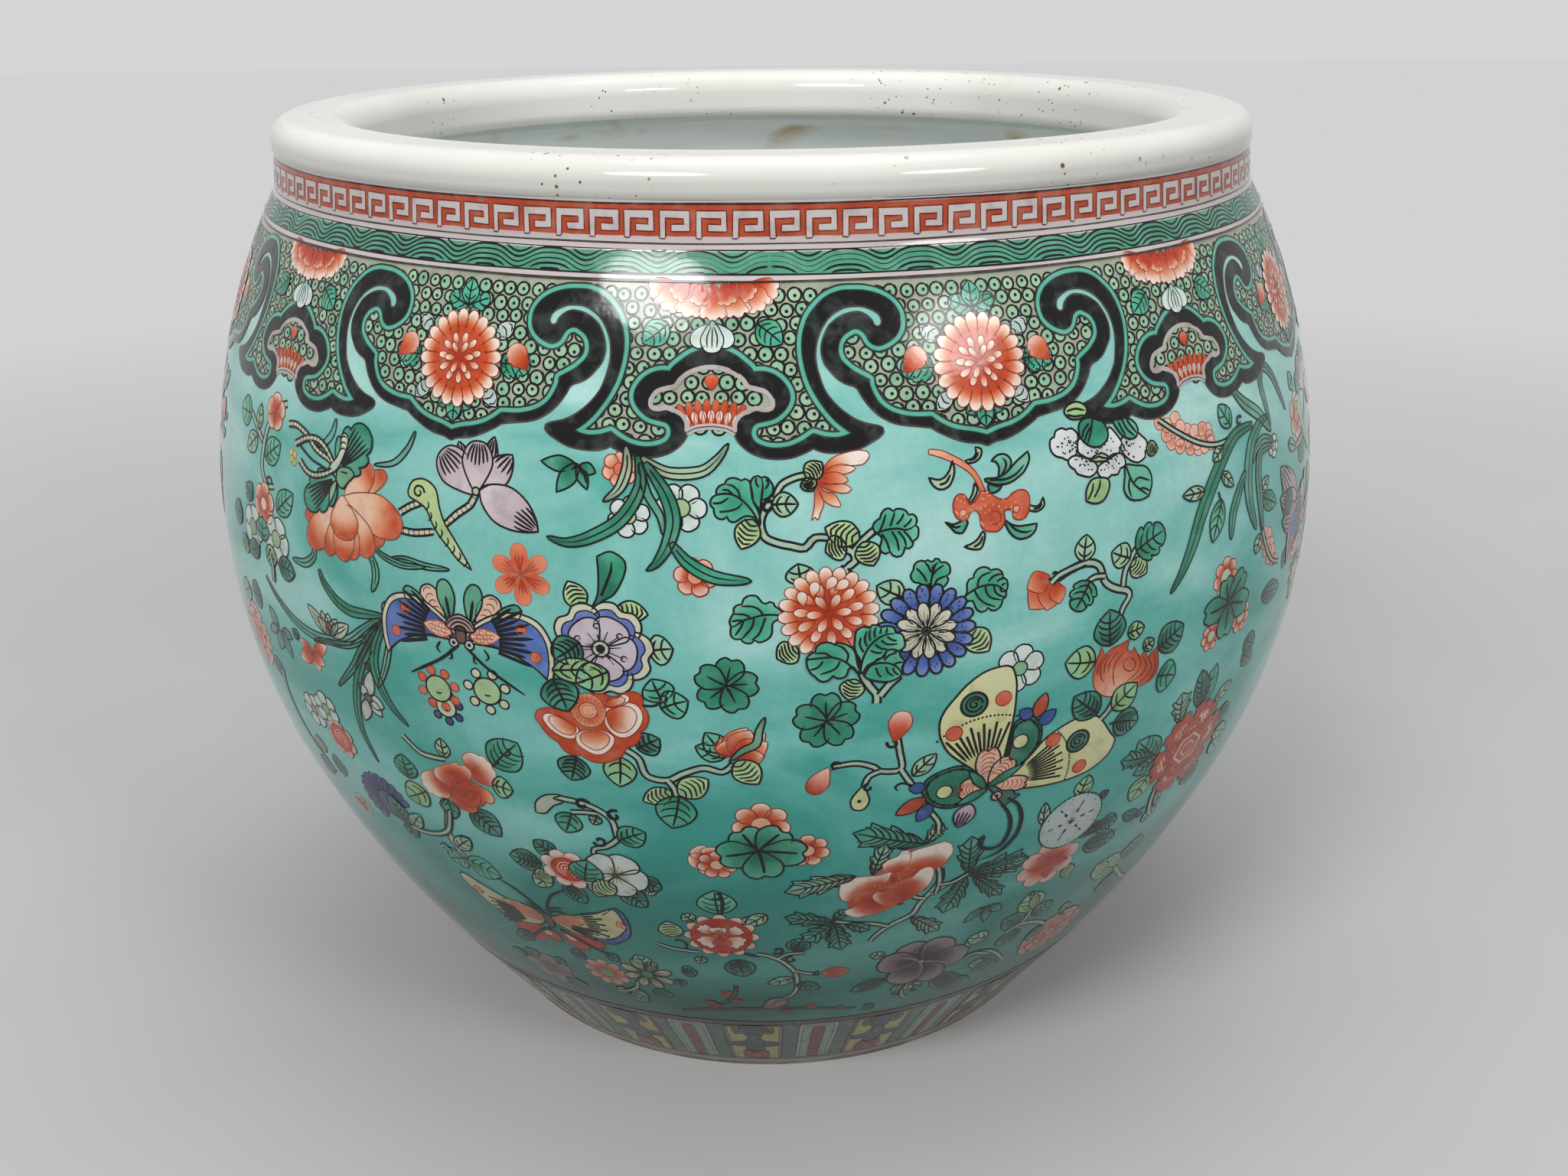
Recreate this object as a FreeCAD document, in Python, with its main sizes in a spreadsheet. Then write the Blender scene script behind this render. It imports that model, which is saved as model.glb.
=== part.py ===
"""Round porcelain fish bowl, used as a planter, built from the sections a potter joins.

The big bowl is thrown in sections that are luted together with slip and then fired:
the turned foot ring, the floor laid into it, the lower wall up to the belly, the upper wall
from the belly to the shoulder, the upright neck collar, and the thick rolled lip.
Every section is turned about the Z axis. Each seam has the step of a lapped joint, and the
two faces of a seam share the same sizes.

Origin: centre of the standing plane. +Z is up, along the axis of the bowl. Millimetres.
"""
import FreeCAD, Part
import os
import Sketcher

PARTS_FOLDER = "parts"
FULL_TURN = 360.0
SHEET_LABEL = "Sizes"

# The sketcher's numbers for the points of an edge.
START, END, CENTRE = range(1, 4)

# Driving sizes, each with what it measures.
SIZES = {
    # outside, from the widest girth
    "belly_radius": (230, "largest outside radius of the bowl"),
    "belly_height": (222, "height of the largest girth above the standing plane"),
    "total_height": (378, "standing plane to the top of the lip"),
    "shoulder_inset": (34.5, "how far the shoulder draws in from the belly"),
    "flank_inset": (66.3, "how far the wall draws in from the belly to the top of the foot"),
    "foot_taper": (30.4, "how far the foot draws in below its painted band"),
    "foot_band_height": (43.5, "height of the painted band round the foot"),
    "flank_radius_share": (0.722, "place of the flank point between foot band and belly, outwards"),
    "flank_height_share": (0.485, "place of the flank point between foot band and belly, upwards"),
    # collar and lip
    "collar_height": (13, "upright collar between shoulder and lip"),
    "collar_wall": (13, "thickness of the collar at the shoulder"),
    "collar_taper": (1.3, "how far the collar leans in up to the lip"),
    "lip_height": (12.5, "outside height of the lip"),
    "lip_width": (31.3, "width of the lip, outside to mouth"),
    "lip_drop": (21.5, "depth of the roll on the mouth side"),
    "lip_outer_round": (8, "rounding of the outer top edge"),
    "lip_inner_round": (10, "rounding of the inner top edge"),
    "lip_under_round": (5, "rounding under the roll"),
    "lip_lap_height": (8, "height of the lap between lip and collar"),
    # walls
    "belly_wall": (11, "wall thickness at the belly"),
    "flank_wall": (12.5, "wall thickness at the flank"),
    "seam_lap_height": (8, "height of the lap between the two walls"),
    # foot and floor
    "foot_ring_height": (14, "height of the turned foot ring"),
    "foot_ring_width": (16, "width of the foot ring on the ground"),
    "foot_bevel": (1.8, "bevel on both lower edges of the foot ring"),
    "recess_depth": (11, "depth of the recess under the floor"),
    "floor_thickness": (15, "thickness of the floor in the middle"),
    "floor_seat_width": (14, "how far the floor rests on the foot ring"),
    "floor_curve_width": (31, "width of the curve from the flat floor to the wall"),
    "floor_curve_rise": (12, "rise of that curve where it meets the wall"),
}

# Sizes that several sections share, worked out from the driving ones.
DERIVED = {
    "shoulder_radius": "belly_radius - shoulder_inset",
    "shoulder_level": "total_height - lip_height - collar_height",
    "collar_level": "total_height - lip_height",
    "collar_bore": "shoulder_radius - collar_wall",
    "lip_radius": "shoulder_radius - collar_taper",
    "lip_lap_radius": "collar_bore + (lip_radius - collar_bore) / 2",
    "lip_lap_level": "collar_level - lip_lap_height",
    "lip_under_level": "total_height - lip_drop",
    "mouth_radius": "lip_radius - lip_width",
    "belly_bore": "belly_radius - belly_wall",
    "seam_radius": "belly_radius - belly_wall / 2",
    "seam_level": "belly_height + seam_lap_height",
    "foot_band_radius": "belly_radius - flank_inset",
    "flank_radius": "foot_band_radius + flank_inset * flank_radius_share",
    "flank_level": "foot_band_height + (belly_height - foot_band_height) * flank_height_share",
    "flank_bore": "flank_radius - flank_wall",
    "foot_radius": "foot_band_radius - foot_taper",
    "foot_slope": "foot_taper / (foot_band_height - foot_bevel)",
    "ring_top_radius": "foot_radius + foot_slope * (foot_ring_height - foot_bevel)",
    "ring_bore": "foot_radius - foot_ring_width",
    "floor_seat_radius": "ring_bore + floor_seat_width",
    "floor_level": "recess_depth + floor_thickness",
    "floor_edge_level": "floor_level + floor_curve_rise",
    "floor_flat_radius": "floor_seat_radius - floor_curve_width",
}


def in_sheet_terms(text):
    """Write a formula of size names as an expression on the sheet's cells."""
    for name, formula in reversed(list(DERIVED.items())):
        text = replace_word(text, name, "(" + formula + ")")
    for name in SIZES:
        text = replace_word(text, name, SHEET_LABEL + "." + name)
    return text


def replace_word(text, word, new):
    """Replace a whole word in a formula."""
    pieces, token = [], ""
    for letter in text + " ":
        if letter.isalnum() or letter in "_.":
            token += letter
            continue
        pieces.append(new if token == word else token)
        pieces.append(letter)
        token = ""
    return "".join(pieces).strip()


def write_sheet(document):
    sheet = document.addObject("Spreadsheet::Sheet", SHEET_LABEL)
    for row, (name, (value, meaning)) in enumerate(SIZES.items(), start=1):
        sheet.set("A%d" % row, name)
        sheet.set("B%d" % row, str(value))
        sheet.setAlias("B%d" % row, name)
        sheet.set("C%d" % row, meaning)
    document.recompute()
    return sheet


class Outline:
    """Closed outline of a turned section, drawn in the plane of radius and height.

    It starts at one point and goes on with lines and arcs. An arc either turns upright or
    level at one of its ends, or leaves its first end in the direction of the edge before it.
    """

    def __init__(self, sheet, radius, height):
        self.sheet = sheet
        self.points = [(radius, height)]
        self.edges = []

    def line(self, radius, height):
        self.edges.append("line")
        self.points.append((radius, height))
        return self

    def arc_upright_at_start(self, radius, height):
        return self._arc("upright_at_start", radius, height)

    def arc_upright_at_end(self, radius, height):
        return self._arc("upright_at_end", radius, height)

    def arc_level_at_start(self, radius, height):
        return self._arc("level_at_start", radius, height)

    def arc_level_at_end(self, radius, height):
        return self._arc("level_at_end", radius, height)

    def arc_on_from_last(self, radius, height):
        return self._arc("on_from_last", radius, height)

    def arc_into_next(self, radius, height):
        return self._arc("into_next", radius, height)

    def _arc(self, kind, radius, height):
        self.edges.append(kind)
        self.points.append((radius, height))
        return self

    def close(self):
        self.edges.append("line")
        return self

    def place(self, index):
        radius, height = self.points[index % len(self.points)]
        across = self.sheet.evalExpression(in_sheet_terms(radius))
        up = self.sheet.evalExpression(in_sheet_terms(height))
        return FreeCAD.Vector(float(across), float(up), 0)


def arc_centre(start, end, kind, leaving=None):
    """Centre of the arc from start to end that keeps the direction its kind asks for."""
    if kind in ("upright_at_end", "level_at_end"):
        start, end = end, start
    if kind in ("upright_at_start", "upright_at_end"):
        towards = FreeCAD.Vector(1, 0, 0)
    elif kind in ("level_at_start", "level_at_end"):
        towards = FreeCAD.Vector(0, 1, 0)
    else:
        towards = FreeCAD.Vector(-leaving.y, leaving.x, 0)
    chord = end - start
    return start + towards * (chord.dot(chord) / (2 * chord.dot(towards)))


def direction_at(point, centre, start, end):
    """Direction of travel at a point of the short arc from start to end."""
    spoke = point - centre
    turn = 1 if (start - centre).cross(end - centre).z > 0 else -1
    way = FreeCAD.Vector(-spoke.y, spoke.x, 0) * turn
    return way.normalize()


def arc_centres(outline, places):
    """Centres of the arcs: first those held by a level or an upright, then their neighbours."""
    count = len(outline.edges)
    centres = {}
    for index, kind in enumerate(outline.edges):
        if kind.startswith(("upright", "level")):
            centres[index] = arc_centre(places[index], places[(index + 1) % count], kind)
    for index, kind in enumerate(outline.edges):
        start, end = places[index], places[(index + 1) % count]
        if kind == "on_from_last":
            leaving = direction_at(start, centres[index - 1], places[index - 1], start)
            centres[index] = arc_centre(start, end, kind, leaving)
        elif kind == "into_next":
            after = places[(index + 2) % count]
            leaving = direction_at(end, centres[index + 1], end, after)
            centres[index] = arc_centre(end, start, kind, leaving)
    return centres


def draw(sketch, outline):
    """Draw an outline with its points bound to the sheet and its arcs held by their ends."""
    count = len(outline.edges)
    places = [outline.place(index) for index in range(count)]
    centres = arc_centres(outline, places)
    for index in range(count):
        start, end = places[index], places[(index + 1) % count]
        if index in centres:
            spoke = (start + end) * 0.5 - centres[index]
            crown = centres[index] + spoke.normalize() * (start - centres[index]).Length
            sketch.addGeometry(Part.Arc(start, crown, end), False)
        else:
            sketch.addGeometry(Part.LineSegment(start, end), False)

    def end_at(edge, point):
        """Which end of an edge lies on a point of the outline."""
        place = places[point % count]
        return min((START, END), key=lambda end: (sketch.getPoint(edge, end) - place).Length)

    def hold(kind, *what):
        return sketch.addConstraint(Sketcher.Constraint(kind, *what))

    def bind(kind, index, name, formula):
        """Tie one coordinate of a point to the sheet, or to the axis where it is zero."""
        end = end_at(index, index)
        if formula == "0":
            hold("PointOnObject", index, end, -2 if kind == "DistanceX" else -1)
            return
        expression = in_sheet_terms(formula)
        value = float(outline.sheet.evalExpression(expression))
        number = hold(kind, -1, START, index, end, value)
        sketch.renameConstraint(number, name)
        sketch.setExpression("Constraints." + name, expression)

    for index, kind in enumerate(outline.edges):
        before = (index - 1) % count
        smooth = kind == "on_from_last" or outline.edges[before] == "into_next"
        joint = "Tangent" if smooth else "Coincident"
        hold(joint, before, end_at(before, index), index, end_at(index, index))
        held = end_at(index, index if kind.endswith("start") else index + 1)
        if kind.startswith("upright"):
            hold("Horizontal", index, CENTRE, index, held)
        elif kind.startswith("level"):
            hold("Vertical", index, CENTRE, index, held)
    for index, (radius, height) in enumerate(outline.points[:count]):
        bind("DistanceX", index, "radius_%d" % index, radius)
        bind("DistanceY", index, "height_%d" % index, height)


def turned_section(document, name, outline):
    """Body with one sketch in the XZ plane, turned a full circle about the Z axis."""
    body = document.addObject("PartDesign::Body", name)
    body.Label = name
    plane = [item for item in body.Origin.OriginFeatures if item.Role == "XZ_Plane"][0]
    sketch = body.newObject("Sketcher::SketchObject", name + "_outline")
    sketch.AttachmentSupport = (plane, [""])
    sketch.MapMode = "FlatFace"
    document.recompute()
    draw(sketch, outline)
    document.recompute()
    turned = body.newObject("PartDesign::Revolution", name + "_turned")
    turned.Profile = sketch
    turned.ReferenceAxis = (sketch, ["V_Axis"])
    turned.Angle = FULL_TURN
    body.Tip = turned
    body.Placement = FreeCAD.Placement()
    document.recompute()
    return body


def foot_ring(sheet):
    """Turned ring that the bowl stands on, with bevelled edges and a sloping outside."""
    return (Outline(sheet, "ring_bore + foot_bevel", "0")
            .line("foot_radius - foot_bevel", "0")
            .line("foot_radius", "foot_bevel")
            .line("ring_top_radius", "foot_ring_height")
            .line("ring_bore", "foot_ring_height")
            .line("ring_bore", "foot_bevel")
            .close())


def base_floor(sheet):
    """Floor laid into the ring, dished up at its edge into the curve of the wall."""
    return (Outline(sheet, "0", "recess_depth")
            .line("ring_bore", "recess_depth")
            .line("ring_bore", "foot_ring_height")
            .line("floor_seat_radius", "foot_ring_height")
            .line("floor_seat_radius", "floor_edge_level")
            .arc_level_at_end("floor_flat_radius", "floor_level")
            .line("0", "floor_level")
            .close())


def lower_wall(sheet):
    """Wall from the foot to the belly, with the inner half of the lapped seam on top."""
    return (Outline(sheet, "floor_seat_radius", "foot_ring_height")
            .line("ring_top_radius", "foot_ring_height")
            .line("foot_band_radius", "foot_band_height")
            .arc_into_next("flank_radius", "flank_level")
            .arc_upright_at_end("belly_radius", "belly_height")
            .line("seam_radius", "belly_height")
            .line("seam_radius", "seam_level")
            .line("belly_bore", "seam_level")
            .line("belly_bore", "belly_height")
            .arc_upright_at_start("flank_bore", "flank_level")
            .arc_on_from_last("floor_seat_radius", "floor_edge_level")
            .close())


def upper_wall(sheet):
    """Wall from the belly to the shoulder, with the outer half of the lapped seam below."""
    return (Outline(sheet, "seam_radius", "belly_height")
            .line("belly_radius", "belly_height")
            .arc_upright_at_start("shoulder_radius", "shoulder_level")
            .line("collar_bore", "shoulder_level")
            .arc_upright_at_end("belly_bore", "seam_level")
            .line("seam_radius", "seam_level")
            .close())


def neck_collar(sheet):
    """Low upright collar, cut back inside at the top for the lap of the lip."""
    return (Outline(sheet, "collar_bore", "shoulder_level")
            .line("shoulder_radius", "shoulder_level")
            .line("lip_radius", "collar_level")
            .line("lip_lap_radius", "collar_level")
            .line("lip_lap_radius", "lip_lap_level")
            .line("collar_bore", "lip_lap_level")
            .close())


def rim_lip(sheet):
    """Thick rolled lip, rounded on top and on the mouth side, lapped into the collar."""
    return (Outline(sheet, "lip_radius", "collar_level")
            .line("lip_radius", "total_height - lip_outer_round")
            .arc_upright_at_start("lip_radius - lip_outer_round", "total_height")
            .line("mouth_radius + lip_inner_round", "total_height")
            .arc_level_at_start("mouth_radius", "total_height - lip_inner_round")
            .line("mouth_radius", "lip_under_level + lip_under_round")
            .arc_upright_at_start("mouth_radius + lip_under_round", "lip_under_level")
            .line("collar_bore", "lip_lap_level")
            .line("lip_lap_radius", "lip_lap_level")
            .line("lip_lap_radius", "collar_level")
            .close())


SECTIONS = {
    "foot_ring": foot_ring,
    "base_floor": base_floor,
    "lower_wall": lower_wall,
    "upper_wall": upper_wall,
    "neck_collar": neck_collar,
    "rim_lip": rim_lip,
}


def check(document, bodies):
    """Stop before writing when any object failed or any section is not one sound solid."""
    for item in document.Objects:
        if "Invalid" in item.State or "Error" in item.State:
            raise RuntimeError("%s did not compute: %s" % (item.Name, item.State))
    for body in bodies:
        shape = body.Shape
        if shape.isNull() or not shape.isValid() or len(shape.Solids) != 1:
            raise RuntimeError("%s is not one valid solid" % body.Label)


def main():
    document = FreeCAD.newDocument("fish_bowl")
    sheet = write_sheet(document)
    bodies = [turned_section(document, name, outline(sheet)) for name, outline in SECTIONS.items()]
    document.recompute()
    check(document, bodies)
    os.makedirs(PARTS_FOLDER, exist_ok=True)
    for body in bodies:
        body.Shape.exportStep(os.path.join(PARTS_FOLDER, body.Label + ".step"))
        box = body.Shape.BoundBox
        print("%-12s volume %9.0f  radius %7.2f  z %7.2f to %7.2f" % (
            body.Label, body.Shape.Volume, box.XMax, box.ZMin, box.ZMax))


main()
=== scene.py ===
"""Looks of a large porcelain fish bowl planter, painted in famille verte enamels.

The fired body is turned anew around the CAD nodes, a hair inside their outer surface. The
painting lies on it as thin raised enamels: filled fields and drawn lines, in layers. A place
on the bowl is an angle in degrees from the front, growing to the right, and a height in
millimetres measured along the outside from the floor.
"""

import math
import random

import bmesh
import bpy
import numpy as np
from mathutils import Matrix, Vector
from mathutils.geometry import delaunay_2d_cdt


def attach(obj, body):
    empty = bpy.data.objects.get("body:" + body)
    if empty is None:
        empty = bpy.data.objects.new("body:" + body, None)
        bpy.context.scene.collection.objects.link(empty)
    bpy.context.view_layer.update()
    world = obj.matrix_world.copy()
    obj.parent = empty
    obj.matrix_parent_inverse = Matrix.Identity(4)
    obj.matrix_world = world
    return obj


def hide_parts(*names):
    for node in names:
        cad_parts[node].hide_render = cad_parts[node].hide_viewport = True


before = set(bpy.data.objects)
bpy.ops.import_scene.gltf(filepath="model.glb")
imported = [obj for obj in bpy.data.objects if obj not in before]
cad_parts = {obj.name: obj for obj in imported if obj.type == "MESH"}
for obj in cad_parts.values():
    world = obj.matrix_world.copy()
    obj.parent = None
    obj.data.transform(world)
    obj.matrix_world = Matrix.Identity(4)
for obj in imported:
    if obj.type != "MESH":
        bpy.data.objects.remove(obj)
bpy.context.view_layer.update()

MM = 0.001
SEGMENTS = 512
rng = random.Random(7)

# Sizes of the CAD model, in millimetres.
BELLY_RADIUS, BELLY_LEVEL = 230.0, 222.0
TOP_LEVEL = 378.0
SHOULDER_RADIUS, SHOULDER_LEVEL = 195.5, 352.5
LIP_RADIUS, COLLAR_LEVEL = 194.2, 365.5
MOUTH_RADIUS, LIP_UNDER_LEVEL = 162.9, 356.5
COLLAR_BORE, LIP_LAP_RADIUS, LIP_LAP_LEVEL = 182.5, 188.35, 357.5
BELLY_BORE, SEAM_RADIUS, SEAM_LEVEL = 219.0, 224.5, 230.0
FLANK_RADIUS, FLANK_LEVEL, FLANK_BORE = 211.57, 130.07, 199.07
FOOT_BAND_RADIUS, FOOT_BAND_LEVEL = 163.7, 43.5
FOOT_RADIUS, FOOT_BEVEL, RING_BORE, RING_LEVEL = 133.3, 1.8, 117.3, 14.0
RECESS_LEVEL, FLOOR_LEVEL, FLOOR_EDGE_LEVEL = 11.0, 26.0, 38.0
FLOOR_SEAT_RADIUS, FLOOR_FLAT_RADIUS = 131.3, 100.3
LIP_OUTER_ROUND, LIP_INNER_ROUND, LIP_UNDER_ROUND = 8, 10, 5

# The fired body stops this far inside the CAD surface, which leaves room for the enamels.
SKIN = 0.9
ENAMEL_BASE, FINE_STEP, COARSE_STEP = 0.06, 0.014, 0.03

# How far a field's border sinks and how far lines and dots stand out of it, in steps of the brush.
BORDER_SINK = 0.6
LINE_SIDE, LINE_MIDDLE, DOT_SIDE, DOT_MIDDLE = 0.3, 0.7, 0.3, 0.9
DOT_CORNERS = 10

# Rows of an even triangle grid are this share of its spacing apart.
TRIANGLE_ROW = 0.87

# Motifs are laid out as on a cylinder of this radius, wherever they are on the bowl.
GAUGE_RADIUS = 215.0
DEGREES_PER_MM = math.degrees(1 / GAUGE_RADIUS)


# Outline of the outside


def arc(centre, start, end, step):
    """Points of the short arc from start to end, both ends included."""
    spoke_a = Vector(start) - Vector(centre)
    spoke_b = Vector(end) - Vector(centre)
    turn = math.atan2(spoke_a.x * spoke_b.y - spoke_a.y * spoke_b.x, spoke_a.dot(spoke_b))
    count = max(2, int(abs(turn) * spoke_a.length / step) + 1)
    from_angle = math.atan2(spoke_a.y, spoke_a.x)
    angles = [from_angle + turn * k / (count - 1) for k in range(count)]
    radius = spoke_a.length
    return [(centre[0] + radius * math.cos(a), centre[1] + radius * math.sin(a)) for a in angles]


def level_centre(upright, other):
    """Centre, level with the first point, of the arc that is upright there."""
    across = upright[0] ** 2 - other[0] ** 2 - (other[1] - upright[1]) ** 2
    return (across / (2 * (upright[0] - other[0])), upright[1])


def following_centre(start, first_centre, end):
    """Centre of the arc that goes smoothly on from another one at start."""
    spoke = (Vector(first_centre) - Vector(start)).normalized()
    chord = Vector(end) - Vector(start)
    return tuple(Vector(start) + spoke * (chord.length_squared / (2 * chord.dot(spoke))))


def run(start, end, step):
    """Points of a straight run, both ends included."""
    count = max(2, int((Vector(end) - Vector(start)).length / step) + 1)
    return [tuple(Vector(start).lerp(Vector(end), k / (count - 1))) for k in range(count)]


def joined(*stretches):
    """One list from several stretches, without their shared ends."""
    points = list(stretches[0])
    for stretch in stretches[1:]:
        points += stretch[1:]
    return points


BELLY = (BELLY_RADIUS, BELLY_LEVEL)
SHOULDER = (SHOULDER_RADIUS, SHOULDER_LEVEL)
FLANK = (FLANK_RADIUS, FLANK_LEVEL)
FOOT_BAND = (FOOT_BAND_RADIUS, FOOT_BAND_LEVEL)
LOWER_CENTRE = level_centre(BELLY, FLANK)

# Lengths of mesh edges along the outline: of walls, of the lip's roundings and of flat runs.
FINE, LIP_STEP, MOUTH_STEP = 1.5, 0.6, 0.8
LIP_FLAT_STEP, FLOOR_FLAT_STEP = 2, 12

outside_foot = run((FOOT_RADIUS, FOOT_BEVEL), FOOT_BAND, FINE)
outside_lower = joined(
    arc(following_centre(FLANK, LOWER_CENTRE, FOOT_BAND), FOOT_BAND, FLANK, FINE),
    arc(LOWER_CENTRE, FLANK, BELLY, FINE),
)
outside_upper = arc(level_centre(BELLY, SHOULDER), BELLY, SHOULDER, FINE)
outside_collar = run(SHOULDER, (LIP_RADIUS, COLLAR_LEVEL), FINE)
LIP_MIDDLE_RADIUS, LIP_MIDDLE_LEVEL = LIP_RADIUS - LIP_OUTER_ROUND, TOP_LEVEL - LIP_OUTER_ROUND
LIP_SIDE = (LIP_RADIUS, LIP_MIDDLE_LEVEL)
outside_lip = joined(
    run((LIP_RADIUS, COLLAR_LEVEL), LIP_SIDE, FINE),
    arc((LIP_MIDDLE_RADIUS, LIP_MIDDLE_LEVEL), LIP_SIDE, (LIP_MIDDLE_RADIUS, TOP_LEVEL), LIP_STEP),
)
OUTSIDE = np.array(
    joined(
        [(FOOT_RADIUS, 0.0), (FOOT_RADIUS, FOOT_BEVEL)],
        outside_foot,
        outside_lower,
        outside_upper,
        outside_collar,
        outside_lip,
    )
)
ALONG = np.concatenate([[0.0], np.cumsum(np.hypot(*np.diff(OUTSIDE, axis=0).T))])
even = np.arange(0.0, ALONG[-1], 0.5)
even_radius = np.interp(even, ALONG, OUTSIDE[:, 0])
even_level = np.interp(even, ALONG, OUTSIDE[:, 1])
NORMAL_R = np.gradient(even_level, even)
NORMAL_Z = -np.gradient(even_radius, even)


def on_bowl(angle, height, lift):
    """Points in metres at angles in degrees, heights along the outside and lifts in millimetres."""
    angle, height = np.radians(angle), np.clip(height, 0.0, ALONG[-1])
    off = lift - SKIN
    radius = np.interp(height, ALONG, OUTSIDE[:, 0]) + off * np.interp(height, even, NORMAL_R)
    level = np.interp(height, ALONG, OUTSIDE[:, 1]) + off * np.interp(height, even, NORMAL_Z)
    return np.stack([radius * np.sin(angle), -radius * np.cos(angle), level], axis=-1) * MM


# Colours, given as red, green and blue from 0 to 255


def linear(colour):
    """A written colour in the linear values that shaders use."""
    shares = [c / 255 for c in colour[:3]]
    return tuple(c / 12.92 if c <= 0.04045 else ((c + 0.055) / 1.055) ** 2.4 for c in shares)


def blend(first, second, share):
    share = min(max(share, 0.0), 1.0)
    return tuple(a + (b - a) * share for a, b in zip(first, second))


WHITE = (232, 236, 228)
MILK = (205, 224, 214)
PINK_WHITE = (214, 202, 200)
CORAL_DEEP = (178, 50, 22)
CORAL = (208, 80, 34)
CORAL_PALE = (230, 142, 100)
BLUSH = (244, 212, 192)
EMERALD = (46, 138, 104)
GREEN_DEEP = (24, 96, 78)
GREEN_DARK = (18, 62, 54)
YELLOW_GREEN = (184, 214, 150)
STRAW = (216, 218, 160)
BLUE = (62, 92, 168)
BLUE_DEEP = (34, 48, 112)
BLACK = (22, 18, 20)
TURQUOISE = (122, 206, 194)


# Materials


class Glaze:
    """A glossy fired surface, built from shader nodes."""

    def __init__(self, name, roughness=0.1, specular=0.32):
        self.material = bpy.data.materials.new(name)
        self.material.use_nodes = True
        self.tree = self.material.node_tree
        self.shader = self.tree.nodes["Principled BSDF"]
        self.shader.inputs["Roughness"].default_value = roughness
        self.shader.inputs["Specular IOR Level"].default_value = specular
        self.place = self.add("ShaderNodeTexCoord").outputs["Object"]

    def add(self, kind, **values):
        """A new node; values for its input sockets, by name, are numbers, colours or sockets."""
        node = self.tree.nodes.new(kind)
        for name, value in values.items():
            self.put(node.inputs[name.replace("_", " ")], value)
        return node

    def put(self, socket, value):
        if isinstance(value, bpy.types.NodeSocket):
            self.tree.links.new(value, socket)
        else:
            socket.default_value = value

    def noise(self, scale, detail=3.0, distortion=0.0, stretch=(1, 1, 1)):
        spot = self.add("ShaderNodeMapping", Vector=self.place, Scale=stretch).outputs["Vector"]
        node = self.add(
            "ShaderNodeTexNoise", Vector=spot, Scale=scale, Detail=detail, Distortion=distortion
        )
        return node.outputs["Fac"]

    def ramp(self, factor, stops):
        """Colours along a factor; stops are pairs of place and written colour."""
        node = self.add("ShaderNodeValToRGB", Fac=factor)
        elements = node.color_ramp.elements
        while len(elements) < len(stops):
            elements.new(0.5)
        for element, (spot, colour) in zip(elements, stops):
            element.position = spot
            element.color = (*linear(colour), 1)
        return node.outputs["Color"]

    def mix(self, factor, first, second, mode="MIX"):
        node = self.tree.nodes.new("ShaderNodeMix")
        node.data_type = "RGBA"
        node.blend_type = mode
        sockets = [s for s in node.inputs if s.type == "RGBA"]
        self.put(node.inputs["Factor"], factor)
        self.put(sockets[0], first)
        self.put(sockets[1], second)
        return next(s for s in node.outputs if s.type == "RGBA")

    def share(self, value, low, high):
        """A value mapped so that low gives 0 and high gives 1."""
        node = self.add("ShaderNodeMapRange", Value=value, From_Min=low, From_Max=high)
        return node.outputs["Result"]

    def level(self):
        return self.add("ShaderNodeSeparateXYZ", Vector=self.place).outputs["Z"]

    def colour(self, value):
        self.put(self.shader.inputs["Base Color"], value)
        return self

    def ripple(self, scale, depth, detail=2.0):
        """Fired surfaces are never quite smooth: a shallow bump, depth in millimetres."""
        bump = self.add(
            "ShaderNodeBump", Height=self.noise(scale, detail), Distance=depth * MM, Strength=1.0
        )
        self.put(self.shader.inputs["Normal"], bump.outputs["Normal"])
        return self


def solid(colour):
    return (*linear(colour), 1)


def ground_glaze():
    """Turquoise ground: cloudy brushed tone, paler on the shoulder as painted light, and darker towards the
    foot, partly a deeper glaze and partly painted shade.
    """
    glaze = Glaze("turquoise_ground", 0.08)
    cloud = glaze.noise(8, 4, 1.0, (1, 1, 2.2))
    # Painted light by height: the top tones are paler as a painted highlight of the lit shoulder, and the
    # low tones darker as painted shade near the foot, partly a deeper glaze.
    top = glaze.ramp(cloud, [(0.34, (98, 186, 172)), (0.5, (146, 210, 201)), (0.64, (186, 230, 222))])
    middle = glaze.ramp(cloud, [(0.34, (64, 170, 157)), (0.5, (116, 205, 194)), (0.64, (154, 223, 214))])
    low = glaze.ramp(cloud, [(0.34, (10, 92, 79)), (0.5, (28, 122, 108)), (0.64, (58, 150, 136))])
    level = glaze.level()
    tone = glaze.mix(glaze.share(level, 0.06, 0.16), low, middle)
    tone = glaze.mix(glaze.share(level, 0.16, 0.29), tone, top)
    speckle = glaze.ramp(glaze.noise(420, 2), [(0.35, (236, 236, 236)), (0.65, (255, 255, 255))])
    return glaze.colour(glaze.mix(0.4, tone, speckle, "MULTIPLY")).ripple(46, 0.4, 3).material


def porcelain_glaze(name, colour, shade, roughness=0.08):
    """White or celadon glaze with faint clouding and a pooled tone."""
    glaze = Glaze(name, roughness)
    tone = glaze.ramp(glaze.noise(9, 4, 0.3), [(0.3, shade), (0.7, colour)])
    return glaze.colour(tone).ripple(26, 0.3).material


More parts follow.
